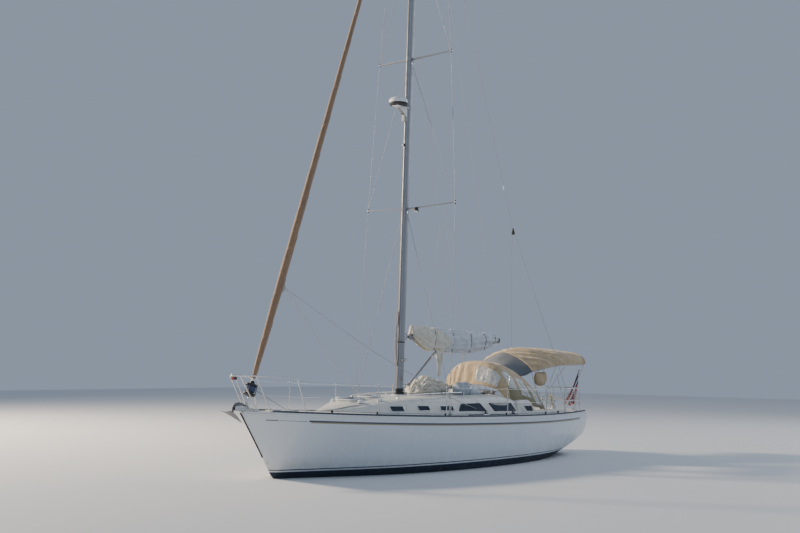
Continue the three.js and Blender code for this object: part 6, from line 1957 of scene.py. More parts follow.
# %% Furler drum
parts = []
DRUM = [(0, 0.0), (0.058, 0.0), (0.12, 0.018), (0.124, 0.03), (0.124, 0.055), (0.118, 0.06), (0.078, 0.062),
    (0.078, 0.088), (0, 0.088)]
base = on_stay(1.662)
parts.append(turned("cage", DRUM, black_plastic, base, STAY, 36))
parts.append(turned("wound_line", [(0.05, 0.088), (0.092, 0.09)]
        + [(0.094 + 0.005 * abs(math.sin(k * math.pi / 4)), 0.092 + k * 0.0032) for k in range(33)]
        + [(0.092, 0.199), (0.05, 0.2)], blue_braid, base, STAY, 36))
parts.append(turned("upper", [(0, 0.2), (0.118, 0.205), (0.124, 0.215), (0.124, 0.236), (0.116, 0.246),
            (0.05, 0.252), (0.046, 0.30), (0.03, 0.312), (0, 0.312)], black_plastic, base, STAY, 36))
parts.append(turned("tack", [(0, 0.312), (0.022, 0.312), (0.022, 0.36), (0.014, 0.368), (0, 0.368)],
        stainless, base, STAY, 20))
for k in range(3):
    turn = 2 * math.pi * k / 3 + 0.6
    out = fore_axis * math.cos(turn) + side_axis * math.sin(turn)
    parts.append(tubes("guard", [[base + STAY * 0.04 + out * 0.119, base + STAY * 0.22 + out * 0.119]], 0.007,
            black_plastic, 8))
dressed("furler_drum_dressed", parts, "black", "furler_drum", body="furler")

deck_block = []
line_path = [base + STAY * 0.14 - fore_axis * 0.02 + side_axis * 0.098]
for a in (0.75, 1.6, 2.6, 4.45, 6.65, 8.48, 9.2):
    y = smooth(HULL_LINES, a)[1] - 0.10
    line_path.append(Vector((aft(a), y, deck_top(a, y) + 0.06)))
    if a > 1:
        deck_block.append(turned("lead", [(0, -0.014), (0.026, -0.014), (0.028, -0.006), (0.028, 0.006),
                    (0.026, 0.014), (0, 0.014)], black_plastic, line_path[-1], ABEAM, 18))
deck_block.append(tubes("furling_line", [line_path], 0.0045, blue_braid, 8))
dressed("furling_line_led_aft", deck_block, "black")

sheets = []
for sign in (1, -1):
    car = Vector((-0.72, sign * 1.16, deck_top(6.42, 1.16) + 0.09))
    shroud = Vector((0.84, sign * 1.36, 1.62))
    sheets.append([Vector(clew_spot), Vector(clew_spot).lerp(shroud, 0.5) - Vector((0, 0, 0.10)), shroud,
            car])
bridge(tubes("headsail_sheets", [spaced(rounded(p, 0.35, 8)) for p in sheets], 0.0065, white_braid, 8))

# %% [markdown]
# ## Boom, vang and flaked mainsail
#
# The boom is a tube like the mast, laid level. The lowered mainsail lies on it in deep bights, so its
# skin is lofted from a few sections and then creased: long folds run along the boom and sag between the
# ties that hold them.

# %% Boom and vang
BOOM_Z = 2.96
GOOSE = 0.66


def cross_ring(x, z, half_wide, half_high, count=32, y=0.0):
    ring = []
    for k in range(count):
        c, s = math.cos(2 * math.pi * k / count), math.sin(2 * math.pi * k / count)
        ring.append((x, y + half_wide * math.copysign(abs(c) ** 0.8, c),
                z + half_high * math.copysign(abs(s) ** 0.8, s)))
    return ring


boom_tube = crisp(make("tube", *skin([cross_ring(x, BOOM_Z, 0.046, 0.07)
            for x in (GOOSE - 0.06, -1.0, -3.06)]), anodised), 40)
parts = [boom_tube, crisp(make("end_cap", *skin([cross_ring(x, BOOM_Z, 0.046 + g, 0.07 + g) for x, g in
    ((-3.045, 0.001), (-3.05, 0.003), (-3.085, 0.003), (-3.095, -0.01))]), black_plastic), 40)]
parts.append(block("gooseneck", (GOOSE - 0.11, -0.019, BOOM_Z - 0.035), (GOOSE - 0.01, 0.019, BOOM_Z + 0.035),
        anodised, 0.01, 3))
parts.append(turned("barrel", [(0.0145, -0.058), (0.026, -0.058), (0.026, 0.058), (0.0145, 0.058),
            (0.0145, -0.058)], stainless, (GOOSE, 0, BOOM_Z), UP, 24))
parts.append(crisp(make("groove", *skin([[(x, y, BOOM_Z + z) for y,
            z in ((-0.01, 0.066), (-0.01, 0.078), (0.01, 0.078), (0.01, 0.066))] for x in (0.5, -3.0)]),
            anodised), 30))
for x in (-0.80, -1.60, -2.95):
    parts.append(tubes("bail", [[(x, -0.03, BOOM_Z - 0.066), (x, -0.022, BOOM_Z - 0.105),
                (x, 0.022, BOOM_Z - 0.105), (x, 0.03, BOOM_Z - 0.066)]], 0.005, stainless, 8, 0.012))
dressed("boom_dressed", parts, "alloy", "boom", body="boom")

vang_low, vang_high = Vector((0.575, 0, 1.832)), Vector((-0.78, 0, 2.888))
along = (vang_high - vang_low).normalized()
reach = (vang_high - vang_low).length
parts = [turned("lower", [(0, 0.02), (0.02, 0.02), (0.030, 0.04), (0.030, reach * 0.62),
            (0.026, reach * 0.63), (0, reach * 0.63)], anodised, vang_low, along, 24),
    turned("upper", [(0, reach * 0.6), (0.021, reach * 0.6), (0.021, reach - 0.05), (0.014, reach - 0.02),
            (0.014, reach), (0, reach)], stainless, vang_low, along, 24)]
parts.append(block("jaw", vang_low - Vector((0.02, 0.016, 0.02)), vang_low + Vector((0.05, 0.016, 0.045)),
        anodised, 0.008))
parts[-1].data.transform(Matrix.Translation((-0.01, 0, 0.01)))
down = Vector((0.05, 0, -0.065))
parts.append(tubes("tackle", [[vang_low + along * 0.1 + down * 0.8, vang_high - along * 0.25 + down],
            [vang_low + along * 0.1 + down * 1.2, vang_high - along * 0.25 + down * 1.3]], 0.004, blue_braid,
        8))
for share in (0.08, 0.80):
    parts.append(sheave(vang_low + along * reach * share + down * 1.05, 0.03, 0.014, 20))
dressed("vang_dressed", parts, "alloy", "vang", body="boom")

# %% Flaked mainsail
FLAKES = [(-0.480, 0.06, 0.21, 0.09), (-0.060, 0.33, 0.19, 0.165), (0.700, 0.40, 0.17, 0.205),
    (1.500, 0.43, 0.15, 0.215), (2.300, 0.33, 0.12, 0.19), (2.950, 0.11, 0.08, 0.11)]
BOOM_TOP = BOOM_Z + 0.07


def sail_ring(place):
    """The closed section of the flaked sail at a distance aft of the gooseneck line."""
    _, drop, rise, wide = smooth(FLAKES, place)
    side = [(0.0, 0.002), (0.052, -0.010), (0.060, -0.8 * drop), (0.5 * wide, -drop),
        (0.85 * wide, -0.7 * drop), (wide, -0.1 * drop), (0.6 * wide, 0.8 * rise), (0.020, rise)]
    half = []
    for (y0, z0), (y1, z1) in zip(side, side[1:]):
        half += [(y0 + (y1 - y0) * t, z0 + (z1 - z0) * t) for t in spread(0, 1, 7)[:-1]]
    half.append(side[-1])
    for _ in range(3):
        half = [half[0]] + [((a[0] + 2 * b[0] + c[0]) / 4, (a[1] + 2 * b[1] + c[1]) / 4) for a, b,
            c in zip(half, half[1:], half[2:])] + [half[-1]]
    return half + [(-y, z) for y, z in half[-2:0:-1]]


TIES = (0.25, 0.95, 1.65, 2.30, 2.78)
places = spread(-0.478, 2.948, 150)
rings = []
for place in places:
    ring = sail_ring(place)
    middle_z = sum(z for _, z in ring) / len(ring)
    end = min(1.0, (place + 0.478) / 0.12, (2.948 - place) / 0.2)
    tied = min(abs(place - t) for t in TIES)
    pinch = 1 - 0.13 * math.exp(-(tied / 0.05) ** 2)
    out = []
    for k, (y, z) in enumerate(ring):
        layer = z * 26 + 2.2 * noise.noise(Vector((place * 1.3, y * 4,
                    3.0))) + place * 1.6 * math.exp(-max(0.0, place) * 1.2) * 6
        fold = abs(math.sin(layer)) ** 0.6 - 0.6
        crease = noise.noise(Vector((place * 5 + z * 6, y * 9, z * 9)))
        swell = (0.040 * fold + 0.034 * crease) * end if abs(y) > 0.056 else 0.0
        size = 1 + swell / max(0.06, math.hypot(y, z - middle_z))
        if abs(y) > 0.056 or z > 0.03:
            y, z = y * size * pinch, middle_z + (z - middle_z) * size * (1 if z < 0 else pinch)
        out.append(Vector((-place, y, BOOM_TOP + z)))
    rings.append(out)
points, faces = skin(rings)
around = len(rings[0])
uvs = [(p.z + 0.2 * p.y, p.x) for p in points]
sail = make("sail", points, faces, sailcloth, uvs)
sail.data.materials.append(cream_cloth)
# painted shade: the aft part of the sail takes the blue-grey cloth, the forward part the cream
for face in sail.data.polygons:
    centre = face.center
    face.material_index = 1 if centre.x > -0.45 + 0.35 * math.sin(centre.z * 6) else 0
ties = []
for place in TIES:
    nearest = min(range(len(places)), key=lambda k: abs(places[k] - place))
    loop = [p + (p - Vector((p.x, 0, BOOM_TOP))).normalized() * 0.004 for p in rings[nearest]
        if abs(p.y) > 0.03 or p.z > BOOM_TOP + 0.03]
    ties.append(tubes("tie", [rounded(loop[::3] + [loop[-1]], 0.02, 2)], 0.007, navy_canvas, 6))
dressed("mainsail_dressed", [sail] + ties, "sailcloth", "mainsail_flaked", body="boom")

# %% Lines of the boom
lazy = []
for sign in (1, -1):
    top = on_mast(10.4, -0.09, sign * 0.05)
    knot = Vector(top).lerp(Vector((-1.45, sign * 0.12, BOOM_Z)), 0.62)
    lazy.append([top, knot])
    lazy += [[knot, (x, sign * 0.235, BOOM_Z + 0.01)] for x in (-0.35, -1.2, -2.1)]
bridge(tubes("lazy_lines", [spaced(p) for p in lazy], 0.003, white_braid, 6))
bridge(tubes("topping_lift", [spaced([(-3.0, 0, BOOM_Z + 0.075), (head - 0.15, 0.012, 16.16)])], 0.003,
        white_braid, 6))
main_sheet = [spaced([(-1.60 + dx, y, BOOM_Z - 0.16), (-1.52 + dx, y, 1.75)]) for dx,
    y in ((-0.02, 0.012), (0.03, -0.012), (0.05, 0.012))]
bridge(tubes("mainsheet", main_sheet, 0.005, white_braid, 8))
blocks = [sheave((-1.60 + dx, 0, BOOM_Z - 0.135), 0.034, 0.016, 22) for dx in (-0.02, 0.05)]
dressed("boom_blocks", blocks, "black", body="boom")
traveller = [block("car", (-1.60, -0.07, 1.700), (-1.46, 0.07, 1.722), black_plastic, 0.006),
             sheave((-1.51, 0, 1.752), 0.034, 0.016, 22)]
dressed("mainsheet_foot", traveller, "black")
tail_rings = []
for t in spread(0, 1, 26):
    wide = 0.085 * (1 - t) ** 0.7 + 0.024 + 0.014 * math.sin(9 * t)
    centre = Vector((-0.40 + 0.02 * t, 0.17, 2.60 - 0.56 * t))
    tail_rings.append([centre + Vector((wide * (1 + 0.22 * math.sin(5 * v + 3 * t)) * math.cos(v),
                0.6 * wide * math.sin(v) * (1 + 0.2 * math.sin(4 * v)), 0)) for v in angles(28)])
tail = make("sail_tail", *skin(tail_rings), cream_cloth, [(p.x + p.y, p.z) for ring in tail_rings
        for p in ring])
ride(tail, "boom")
print("boom and sail done")

# %% [markdown]
# ## Canopies
#
# The dodger, the link panel and the bimini are each one curved sheet stretched over bent tubes. Every one
# is a grid of points between arches, so cloth and clear panes share one surface. The cloth sags between
# the tubes and puckers toward its seams. A sheet is given its thickness last.

# %% Sheet helpers
def arch_point(row, u):
    """A point of an arch: u is -1 at the starboard foot, 0 at the crown and 1 at the port foot."""
    _, at, top, half, foot, crown, full = row
    turn = u * math.pi / 2
    side = math.copysign(abs(math.sin(turn)) ** (2 / full), turn)
    lift = math.cos(turn) ** (2 / full) if abs(u) < 1 else 0.0
    return Vector((aft(at) + (at - top) * lift, side * half, foot + (crown - foot) * lift))


def sheet_grid(rows, places, arcs, push):
    """Points over arches, moved along their normal by push(place, arc, point)."""
    plain = [[arch_point(smooth(rows, v), u) for u in arcs] for v in places]
    grid = []
    for r, line in enumerate(plain):
        out = []
        for k, p in enumerate(line):
            ahead = plain[min(r + 1, len(plain) - 1)][k] - plain[max(r - 1, 0)][k]
            across = line[min(k + 1, len(line) - 1)] - line[max(k - 1, 0)]
            out.append(p + across.cross(ahead).normalized() * -push(places[r], arcs[k], p))
        grid.append(out)
    return grid


def sheet_piece(name, grid, materials, pick=None, thick=0.003):
    """One closed sheet over a grid, its UV map in metres. pick(row, column) gives a face its material."""
    wide = len(grid[0])
    across, ahead = [0.0], [0.0]
    middle = grid[len(grid) // 2]
    for a, b in zip(middle, middle[1:]):
        across.append(across[-1] + (a - b).length)
    for a, b in zip(grid, grid[1:]):
        ahead.append(ahead[-1] + (a[wide // 2] - b[wide // 2]).length)
    uvs = [(u, v) for v in ahead for u in across]
    points, faces = skin(grid, False, False)
    piece = make(name, points, faces, materials[0], uvs)
    for other in materials[1:]:
        piece.data.materials.append(other)
    if pick:
        for i, face in enumerate(piece.data.polygons):
            face.material_index = pick(i // (wide - 1), i % (wide - 1))
    area = sum(face.area for face in piece.data.polygons)
    piece["flat"] = (across[-1], area / across[-1])
    return modified(piece, ("SOLIDIFY", {"thickness": thick, "offset": 0.0}))


def declared(piece):
    """Reads the size that a sheet's grid measured, and returns the piece unchanged."""
    wide, area_length = piece["flat"]
    max(wide, area_length)
    min(wide, area_length)
    return piece


# %% Dodger
DODGER = [(0, 7.80, 7.48, 0.92, 1.48, 1.85, 2.6), (1, 7.95, 7.68, 0.97, 1.44, 2.35, 2.6),
    (2, 8.35, 8.05, 1.03, 1.38, 2.385, 2.4), (3, 9.35, 8.45, 1.085, 1.20, 2.37, 2.0)]
PANES = [(0.14, 0.90, 0.08, 0.60), (1.12, 1.90, 0.52, 0.84), (1.12, 1.90, -0.84, -0.52),
    (2.10, 2.54, 0.60, 0.90), (2.10, 2.54, -0.90, -0.60), (2.64, 2.93, 0.68, 0.96),
    (2.64, 2.93, -0.96, -0.68)]
dodger_v = sorted({round(v, 3) for v in spread(0, 3, 70)} | {v for pane in PANES for v in pane[:2]})
dodger_u = sorted({round(u, 3) for u in spread(-1, 1, 121)} | {u for pane in PANES for u in pane[2:]})


def in_pane(v, u):
    return any(v0 < v < v1 and u0 < u < u1 for v0, v1, u0, u1 in PANES)


def dodger_push(v, u, p):
    between = math.sin(math.pi * (v % 1.0)) if v < 3 else 0.0
    calm = min(1, (1 - abs(u)) * 8, v * 8 + 0.1, (3 - v) * 8 + 0.1)
    pleat = math.sin(u * 46 + 2 * noise.noise(Vector((u * 9, v * 2, 0)))) * (1 if v < 1 and -0.62 < u < 0.06
        else 0.12)
    glass = noise.noise(Vector((u * 16, v * 7, 5))) * (1 if in_pane(v, u) else 0.3)
    return -0.022 * between * (1 - 0.5 * (v < 1)) + calm * (0.017 * pleat + 0.015 * glass)


grid = sheet_grid(DODGER, dodger_v, dodger_u, dodger_push)


def dodger_pick(r, k):
    v, u = (dodger_v[r] + dodger_v[r + 1]) / 2, (dodger_u[k] + dodger_u[k + 1]) / 2
    if in_pane(v, u):
        return 1
    # painted shade: the dodger's side wings take the olive cloth, the tan as it looks in shade
    return 2 if v > 1.0 and abs(u) > 0.80 else 0


dodger = sheet_piece("dodger_cloth_sheet", grid, [tan_canvas, clear_vinyl, olive_canvas], dodger_pick)
ride(dodger, replaces=["dodger_cloth"])


def over_grid(rows, v, u, push, lift=0.004):
    p = arch_point(smooth(rows, v), u)
    a = arch_point(smooth(rows, min(v + 0.01, rows[-1][0])), u) - arch_point(smooth(rows, max(v - 0.01, 0)),
        u)
    b = arch_point(smooth(rows, v), min(u + 0.01, 1)) - arch_point(smooth(rows, v), max(u - 0.01, -1))
    return p + b.cross(a).normalized() * -(push(v, u, p) + lift)


trim = []
for v0, v1, u0, u1 in PANES:
    path = [(v0, u) for u in spread(u0, u1, 14)] + [(v, u1) for v in spread(v0, v1, 9)[1:]] + [(v1, u)
        for u in spread(u1, u0, 14)[1:]] + [(v, u0) for v in spread(v1, v0, 9)[1:]]
    trim.append(tubes("bind", [[over_grid(DODGER, v, u, dodger_push) for v, u in path]], 0.006,
            tan_canvas if v0 < 1 else olive_canvas, 6))
for v, reach in ((0.0, 1.0), (1.0, 0.98), (2.0, 0.98), (3.0, 1.0)):
    trim.append(tubes("piping", [[over_grid(DODGER, v, u, dodger_push, 0.003)
                for u in spread(-reach, reach, 90)]], 0.0075 if v in (0.0, 3.0) else 0.005, tan_canvas, 6))
for sign in (1, -1):
    trim.append(tubes("hem", [[over_grid(DODGER, v, sign * 0.998, dodger_push, 0.003)
                for v in spread(0, 3, 40)]], 0.007, olive_canvas, 6))
    trim.append(tubes("strap", [[over_grid(DODGER, v, sign * u, dodger_push, 0.008) for v,
                u in ((2.05, 0.62), (2.32, 0.72), (2.6, 0.86), (2.72, 0.96))]], 0.008, navy_canvas, 6))
trim_piece = dressed("dodger_bindings", trim, "tan_canvas")
declared(dodger)

bows = []
for v, inset in ((1.0, 0.022), (2.0, 0.022), (2.97, 0.022)):
    path = []
    for u in spread(-0.97, 0.97, 60):
        row = smooth(DODGER, v)
        row[3], row[5] = row[3] - inset, row[5] - inset
        path.append(arch_point(row, u))
    bows.append(tubes("bow", [path], 0.0115, stainless, 10))
dressed("dodger_bows", bows, "steel")

# %% Bimini and link
BIMINI = [(0, 9.0, 9.0, 0.90, 2.18, 2.655, 1.35), (1, 9.9, 9.9, 1.09, 2.33, 2.77, 2.0),
    (2, 11.15, 11.15, 1.20, 2.37, 2.705, 2.8)]


def bimini_push(v, u, p):
    between = math.sin(math.pi * (v % 1.0)) if 0 < v < 2 else 0.0
    calm = min(1, (1 - abs(u)) * 10, v * 9 + 0.05, (2 - v) * 9 + 0.05)
    across = (STEM - p.x) * 0.80 - abs(p.y) * 0.85 + 0.25 * noise.noise(Vector((p.x, p.y, 2)))
    folds = (abs(math.sin(across * 13)) ** 0.7 - 0.6) * math.exp(-((v - 0.62) / 0.62) ** 2) * (1 if p.y > -0.2
        else 0.5)
    small = noise.noise(Vector((p.x * 5, p.y * 5, 1)))
    return -0.035 * between + calm * (0.042 * folds + 0.012 * small)


bimini_v, bimini_u = spread(0, 2, 90), spread(-1, 1, 110)
bimini = sheet_piece("bimini_cloth_sheet", sheet_grid(BIMINI, bimini_v, bimini_u, bimini_push), [tan_canvas],
    None, 0.0035)
ride(bimini, replaces=["bimini_cloth"])
edge = [tubes("valance", [[over_grid(BIMINI, v, u, bimini_push, 0.002) for u in spread(-1, 1, 90)]], 0.008,
        tan_canvas, 6) for v in (0.0, 2.0)]
for sign in (1, -1):
    edge.append(tubes("valance", [[over_grid(BIMINI, v, sign, bimini_push, 0.002) for v in spread(0, 2, 60)]],
            0.008, tan_canvas, 6))
for v in (0.02, 1.0, 1.97):
    edge.append(tubes("pocket", [[over_grid(BIMINI, v, u, bimini_push, -0.006)
                for u in spread(-0.985, 0.985, 80)]], 0.015, tan_canvas, 8))
for sign in (1, -1):
    leg_foot, leg_top = Vector((aft(BACKSTAY_AFT), sign * 1.0, deck_top(BACKSTAY_AFT, 1.0))), Vector((split.x,
            sign * 0.04, 5.83))
    up_leg = (leg_top - leg_foot).normalized()
    spots = [over_grid(BIMINI, v, sign * u, bimini_push, 0.0) for v in spread(1.2, 2.0, 70)
        for u in spread(0.1, 0.95, 70)]
    pierced = min(spots, key=lambda p: (p - leg_foot).cross(up_leg).length)
    edge.append(turned("patch", [(0, -0.007), (0.055, -0.006), (0.06, 0), (0.055, 0.006), (0, 0.008)],
            olive_canvas, pierced, (0.04, sign * 0.16, 1), 28))
    edge.append(turned("collar", [(0, -0.015), (0.014, -0.014), (0.017, 0), (0.014, 0.014), (0, 0.016)],
            black_plastic, pierced, up_leg, 20))
    print("bimini pierced by a backstay leg at", [round(c, 3) for c in pierced])
edge_piece = dressed("bimini_bindings", edge, "tan_canvas")
declared(bimini)


def link_sag(v, p):
    return -0.03 * math.sin(math.pi * v) + 0.008 * noise.noise(Vector((p.x * 4, p.y * 4, 4)))


def link_grid():
    start, finish = [], []
    for u in spread(-1, 1, 70):
        side = u * 0.7
        lift = (1 - abs(side) ** 2) ** 0.5
        start.append(Vector((aft(9.35) + 0.91 * lift, side * 1.096, 1.21 + 1.171 * lift)))
        lift = (1 - abs(u) ** 1.35) ** (1 / 1.35) if abs(u) < 1 else 0.0
        finish.append(Vector((aft(8.998), u * 0.898, 2.18 + 0.475 * lift)))
    grid = []
    for v in spread(0, 1, 26):
        row = [a.lerp(b, v) for a, b in zip(start, finish)]
        grid.append([p + Vector((0, 0, link_sag(v, p))) for p in row])
    return grid


grid = link_grid()
# painted shade: the link panel and its hems are dark blue-grey, as the cloth looks in shade
link = sheet_piece("link_cloth_sheet", grid, [shade_canvas], None, 0.003)
ride(link, replaces=["link_cloth"])
hems = [tubes("hem", [line], 0.006, shade_canvas, 6) for line in (grid[0], grid[-1], [row[0] for row in grid],
        [row[-1] for row in grid])]
hem_piece = dressed("link_hems", hems, "grey_canvas")
declared(link)

# %% Canopy frame
BOWS = [(9.022, 0.868, 2.155, 2.622, 1.35, 9.300, 0.985, 1.27),
    (9.90, 1.060, 2.305, 2.742, 2.0, 9.300, 0.985, 1.27), (11.11, 1.170, 2.340, 2.677, 2.8, 10.50, 0.960,
        1.14)]
parts = []
for at, half, knee, crown, full, foot_at_place, foot_y, foot_z in BOWS:
    arch = [arch_point((0, at, at, half, knee, crown, full), u) for u in spread(-1, 1, 50)]
    path = [Vector((aft(foot_at_place), -foot_y, foot_z))] + arch + [Vector((aft(foot_at_place), foot_y,
                foot_z))]
    parts.append(tubes("bow", [path], 0.0128, stainless, 12))
for sign in (1, -1):
    knees = [(aft(at), sign * half, knee) for at, half, knee, *_ in BOWS]
    parts.append(tubes("side_bar", [knees], 0.010, stainless, 10))
    for at, half, knee, *_ in BOWS:
        parts.append(turned("clamp", [(0, -0.02), (0.019, -0.018), (0.021, 0), (0.019, 0.018), (0, 0.02)],
                stainless, (aft(at), sign * half, knee), (1, 0, 0.1), 14))
    for at, y, z in ((9.30, 0.985, 1.225), (10.50, 0.96, 1.10)):
        parts.append(turned("deck_hinge", [(0, -0.02), (0.034, -0.02), (0.034, 0), (0.022, 0.012),
                    (0.018, 0.05), (0, 0.055)], stainless, (aft(at), sign * y, z), UP, 18))
    parts.append(tubes("brace", [[(aft(10.50), sign * 0.96, 1.30), (aft(9.92), sign * 1.06, 2.10)]], 0.010,
            stainless, 10))
    parts.append(tubes("brace", [[(aft(9.33), sign * 0.99, 1.45), (aft(10.3), sign * 1.09, 2.31)]], 0.009,
            stainless, 10))
dressed("canopy_frame", parts, "steel", "bimini_frame")
print("canopies done")

# %% [markdown]
# ## Sail heap and bags
#
# A stuffed bag and a dropped sail are soft closed shells that sag on what carries them. Each starts as a
# lofted shell with creases from noise, and its underside is laid on the roof. For the bags a cloth
# simulation then swells the shell a little from inside, with its travel capped, so that the folds round
# off.

# %% Soft shells
def soft_shell(name, rows, level, material, fold, seed, along=70, around=56, corners=2.0):
    """rows: x, y, half width, height. fold is the depth of its creases, corners how boxy it is."""
    rows, rings, uvs = sorted(rows), [], []
    for r, x in enumerate(spread(rows[0][0], rows[-1][0], along)):
        _, y0, half, high = smooth(rows, x)
        end = min(1.0, 6.0 * r / along, 6.0 * (along - 1 - r) / along)
        swell = math.sin(end * math.pi / 2) ** 0.7 if 0 < r < along - 1 else 0.16
        ring = []
        for k in range(around):
            turn = 2 * math.pi * k / around
            c, s = math.cos(turn), math.sin(turn)
            c, s = (math.copysign(abs(v) ** (2 / corners), v) for v in (c, s))
            spot = Vector((x * 4 + seed, (y0 + half * c) * 4, high * s * 4))
            spot += Vector((0.35, 0.3, 0.25)) * noise.noise(spot * 1.3)
            bulk = noise.noise(spot * 0.9) * 0.7 + 0.25 - abs(noise.noise(spot * 1.9
                    + Vector((0, 3, 0)))) * 1.7 - abs(noise.noise(spot * 4.2)) * 0.5
            out = 1 + fold * bulk / max(0.08, min(half, high)) * (0.25 + 0.75 * max(0.0, s + 0.35))
            z = level + high * (0.5 + 0.5 * s * (out if s > 0 else 1)) * (0.3 + 0.7 * swell)
            y = y0 + half * c * out * swell
            floor_z = max(standing(x, y), level - 0.2) + 0.004
            ring.append(Vector((x, y, max(z, floor_z + 0.004 * (1 + s)))))
            uvs.append((turn * half, x))
        rings.append(ring)
    points, faces = skin(rings)
    return make(name, points, faces, material, uvs)


def swollen(piece, voxel, cap, pressure=4.0):
    """A cloth simulation from inside, applied and capped."""
    material = piece.data.materials[0]
    puffed = modified(piece, ("REMESH", {"mode": "VOXEL", "voxel_size": voxel}))
    before = [v.co.copy() for v in puffed.data.vertices]
    cloth = puffed.modifiers.new("cloth", "CLOTH")
    cloth.settings.use_pressure = True
    cloth.settings.uniform_pressure_force = pressure
    cloth.settings.effector_weights.gravity = 0.0
    cloth.point_cache.frame_start, cloth.point_cache.frame_end = 1, 20
    scene = bpy.context.scene
    for frame_number in range(1, 21):
        scene.frame_set(frame_number)
    shaped = bpy.data.meshes.new_from_object(puffed.evaluated_get(bpy.context.evaluated_depsgraph_get()))
    puffed.modifiers.clear()
    for vertex, start in zip(shaped.vertices, before):
        travel = vertex.co - start
        vertex.co = start + travel * min(1.0, cap / max(travel.length, 1e-9))
        vertex.co.z = max(vertex.co.z, start.z - 0.001)
    puffed.data = shaped
    scene.frame_set(1)
    puffed.data.materials.clear()
    puffed.data.materials.append(material)
    box = [min(v[i] for v in before) for i in range(3)]
    layer = puffed.data.uv_layers.new(name="UVMap")
    for loop in puffed.data.loops:
        p = puffed.data.vertices[loop.vertex_index].co
        layer.data[loop.index].uv = (p.y + p.z - box[1], p.x)
    puffed.data.shade_smooth()
    return modified(puffed, ("SUBSURF", {"levels": 1, "render_levels": 1}))


# %% Heap and bags
HEAP = [(0.56, 0.04, 0.11, 0.12), (0.35, 0.04, 0.31, 0.31), (0.0, 0.04, 0.38, 0.42),
    (-0.40, 0.04, 0.36, 0.37), (-0.64, 0.04, 0.25, 0.24), (-0.76, 0.04, 0.10, 0.09)]
heap = soft_shell("heap", HEAP, 1.592, cream_cloth, 0.15, 1.0, 150, 120)
ride(heap, replaces=["sail_heap"])

BOXY = [(-0.50, 0.565, 0.10, 0.17), (-0.56, 0.56, 0.13, 0.29), (-0.75, 0.556, 0.14, 0.325),
    (-0.95, 0.556, 0.135, 0.31), (-1.02, 0.556, 0.115, 0.22)]
TAPERED = [(-1.00, 0.556, 0.10, 0.20), (-1.10, 0.556, 0.125, 0.27), (-1.25, 0.556, 0.128, 0.22),
    (-1.40, 0.556, 0.10, 0.15), (-1.52, 0.556, 0.07, 0.075)]
boxy = swollen(soft_shell("boxy_bag", BOXY, 1.577, navy_canvas, 0.022, 4.0, 50, 48, 3.6), 0.010, 0.012)
boxy.data.materials[0] = grey_bag
ride(boxy, replaces=["sail_bag"])
tapered = swollen(soft_shell("tapered_bag", TAPERED, 1.577, sailcloth, 0.035, 9.0, 50, 48, 2.2), 0.010, 0.012)
ride(tapered)
straps = []
for x in (-0.62, -0.92):
    loop = [Vector((x, 0.556 + 0.148 * math.cos(t), 1.60 + 0.318 * max(0.02, math.sin(t))))
        for t in spread(-0.05, math.pi + 0.05, 20)]
    straps.append(tubes("strap", [loop], 0.007, navy_canvas, 6))
dressed("bag_straps", straps, "navy_canvas")

ROLLED = [(-3.48, 0.88, 0.05, 0.24), (-3.56, 0.885, 0.09, 0.34), (-3.72, 0.89, 0.11, 0.36),
    (-3.88, 0.89, 0.09, 0.33), (-3.97, 0.885, 0.05, 0.22)]


def hung_bag(name, rows, top, material, seed):
    """A bag that hangs from a tube: pinched above, full and sagging below."""
    rows, rings = sorted(rows), []
    for x in spread(rows[0][0], rows[-1][0], 40):
        _, y0, half, high = smooth(rows, x)
        ring = []
        for t in angles(36):
            low = (1 - math.cos(t)) / 2
            width = half * (0.35 + 0.9 * low) * (1 + 0.16 * noise.noise(Vector((x * 7, t * 1.5, seed))))
            ring.append(Vector((x, y0 + width * math.sin(t), top - high * low
                        * (1 + 0.07 * noise.noise(Vector((x * 5, seed, t)))))))
        rings.append(ring)
    points, faces = skin(rings)
    return make(name, points, faces, material, [(p.y + p.z, p.x) for p in points])


rolled = swollen(hung_bag("hung_bag", ROLLED, 2.16, tan_canvas, 2.0), 0.010, 0.010)
ride(rolled)
ties = [[(x, 0.885, 2.12), (x, 0.95, 2.30), (x, 1.03, 2.315)] for x in (-3.60, -3.84)]
ride(tubes("bag_ties", ties, 0.005, black_braid, 6))

# %% Ensign
STAFF_FOOT, STAFF_HEAD = Vector((aft(10.96), 0.772, 1.39)), Vector((aft(11.42), 0.86, 2.23))
grid, columns, lines = [], 46, 40
for w in spread(0, 1, lines):
    row = []
    for s in spread(0, 1, columns):
        hoist = STAFF_FOOT.lerp(STAFF_HEAD, 0.96 - 0.43 * s) + Vector((0.018, 0, 0))
        free = Vector((-5.50, 0.84, 1.27)).lerp(Vector((-4.78, 0.92, 1.29)), s)
        p = hoist.lerp(free, w) - Vector((0, 0, 0.05 * math.sin(math.pi * w)))
        wave = 0.055 * math.sin(s * 17 + 1.2 * w) * min(1, w * 2.2) + 0.018 * math.sin(s * 38 + 3 * w) * w
        row.append(p + Vector((0.35 * wave, wave, 0.02 * math.sin(s * 9) * w)))
    grid.append(row)
flag = sheet_piece("ensign_cloth", grid, [flag_cloth], None, 0.002)
layer = flag.data.uv_layers[0].data
us, vs = [d.uv[0] for d in layer], [d.uv[1] for d in layer]
for spot in layer:
    u, v = spot.uv
    spot.uv = (1 - (v - min(vs)) / (max(vs) - min(vs)), 1 - (u - min(us)) / (max(us) - min(us)))
ride(flag, replaces=["ensign"])
declared(flag)
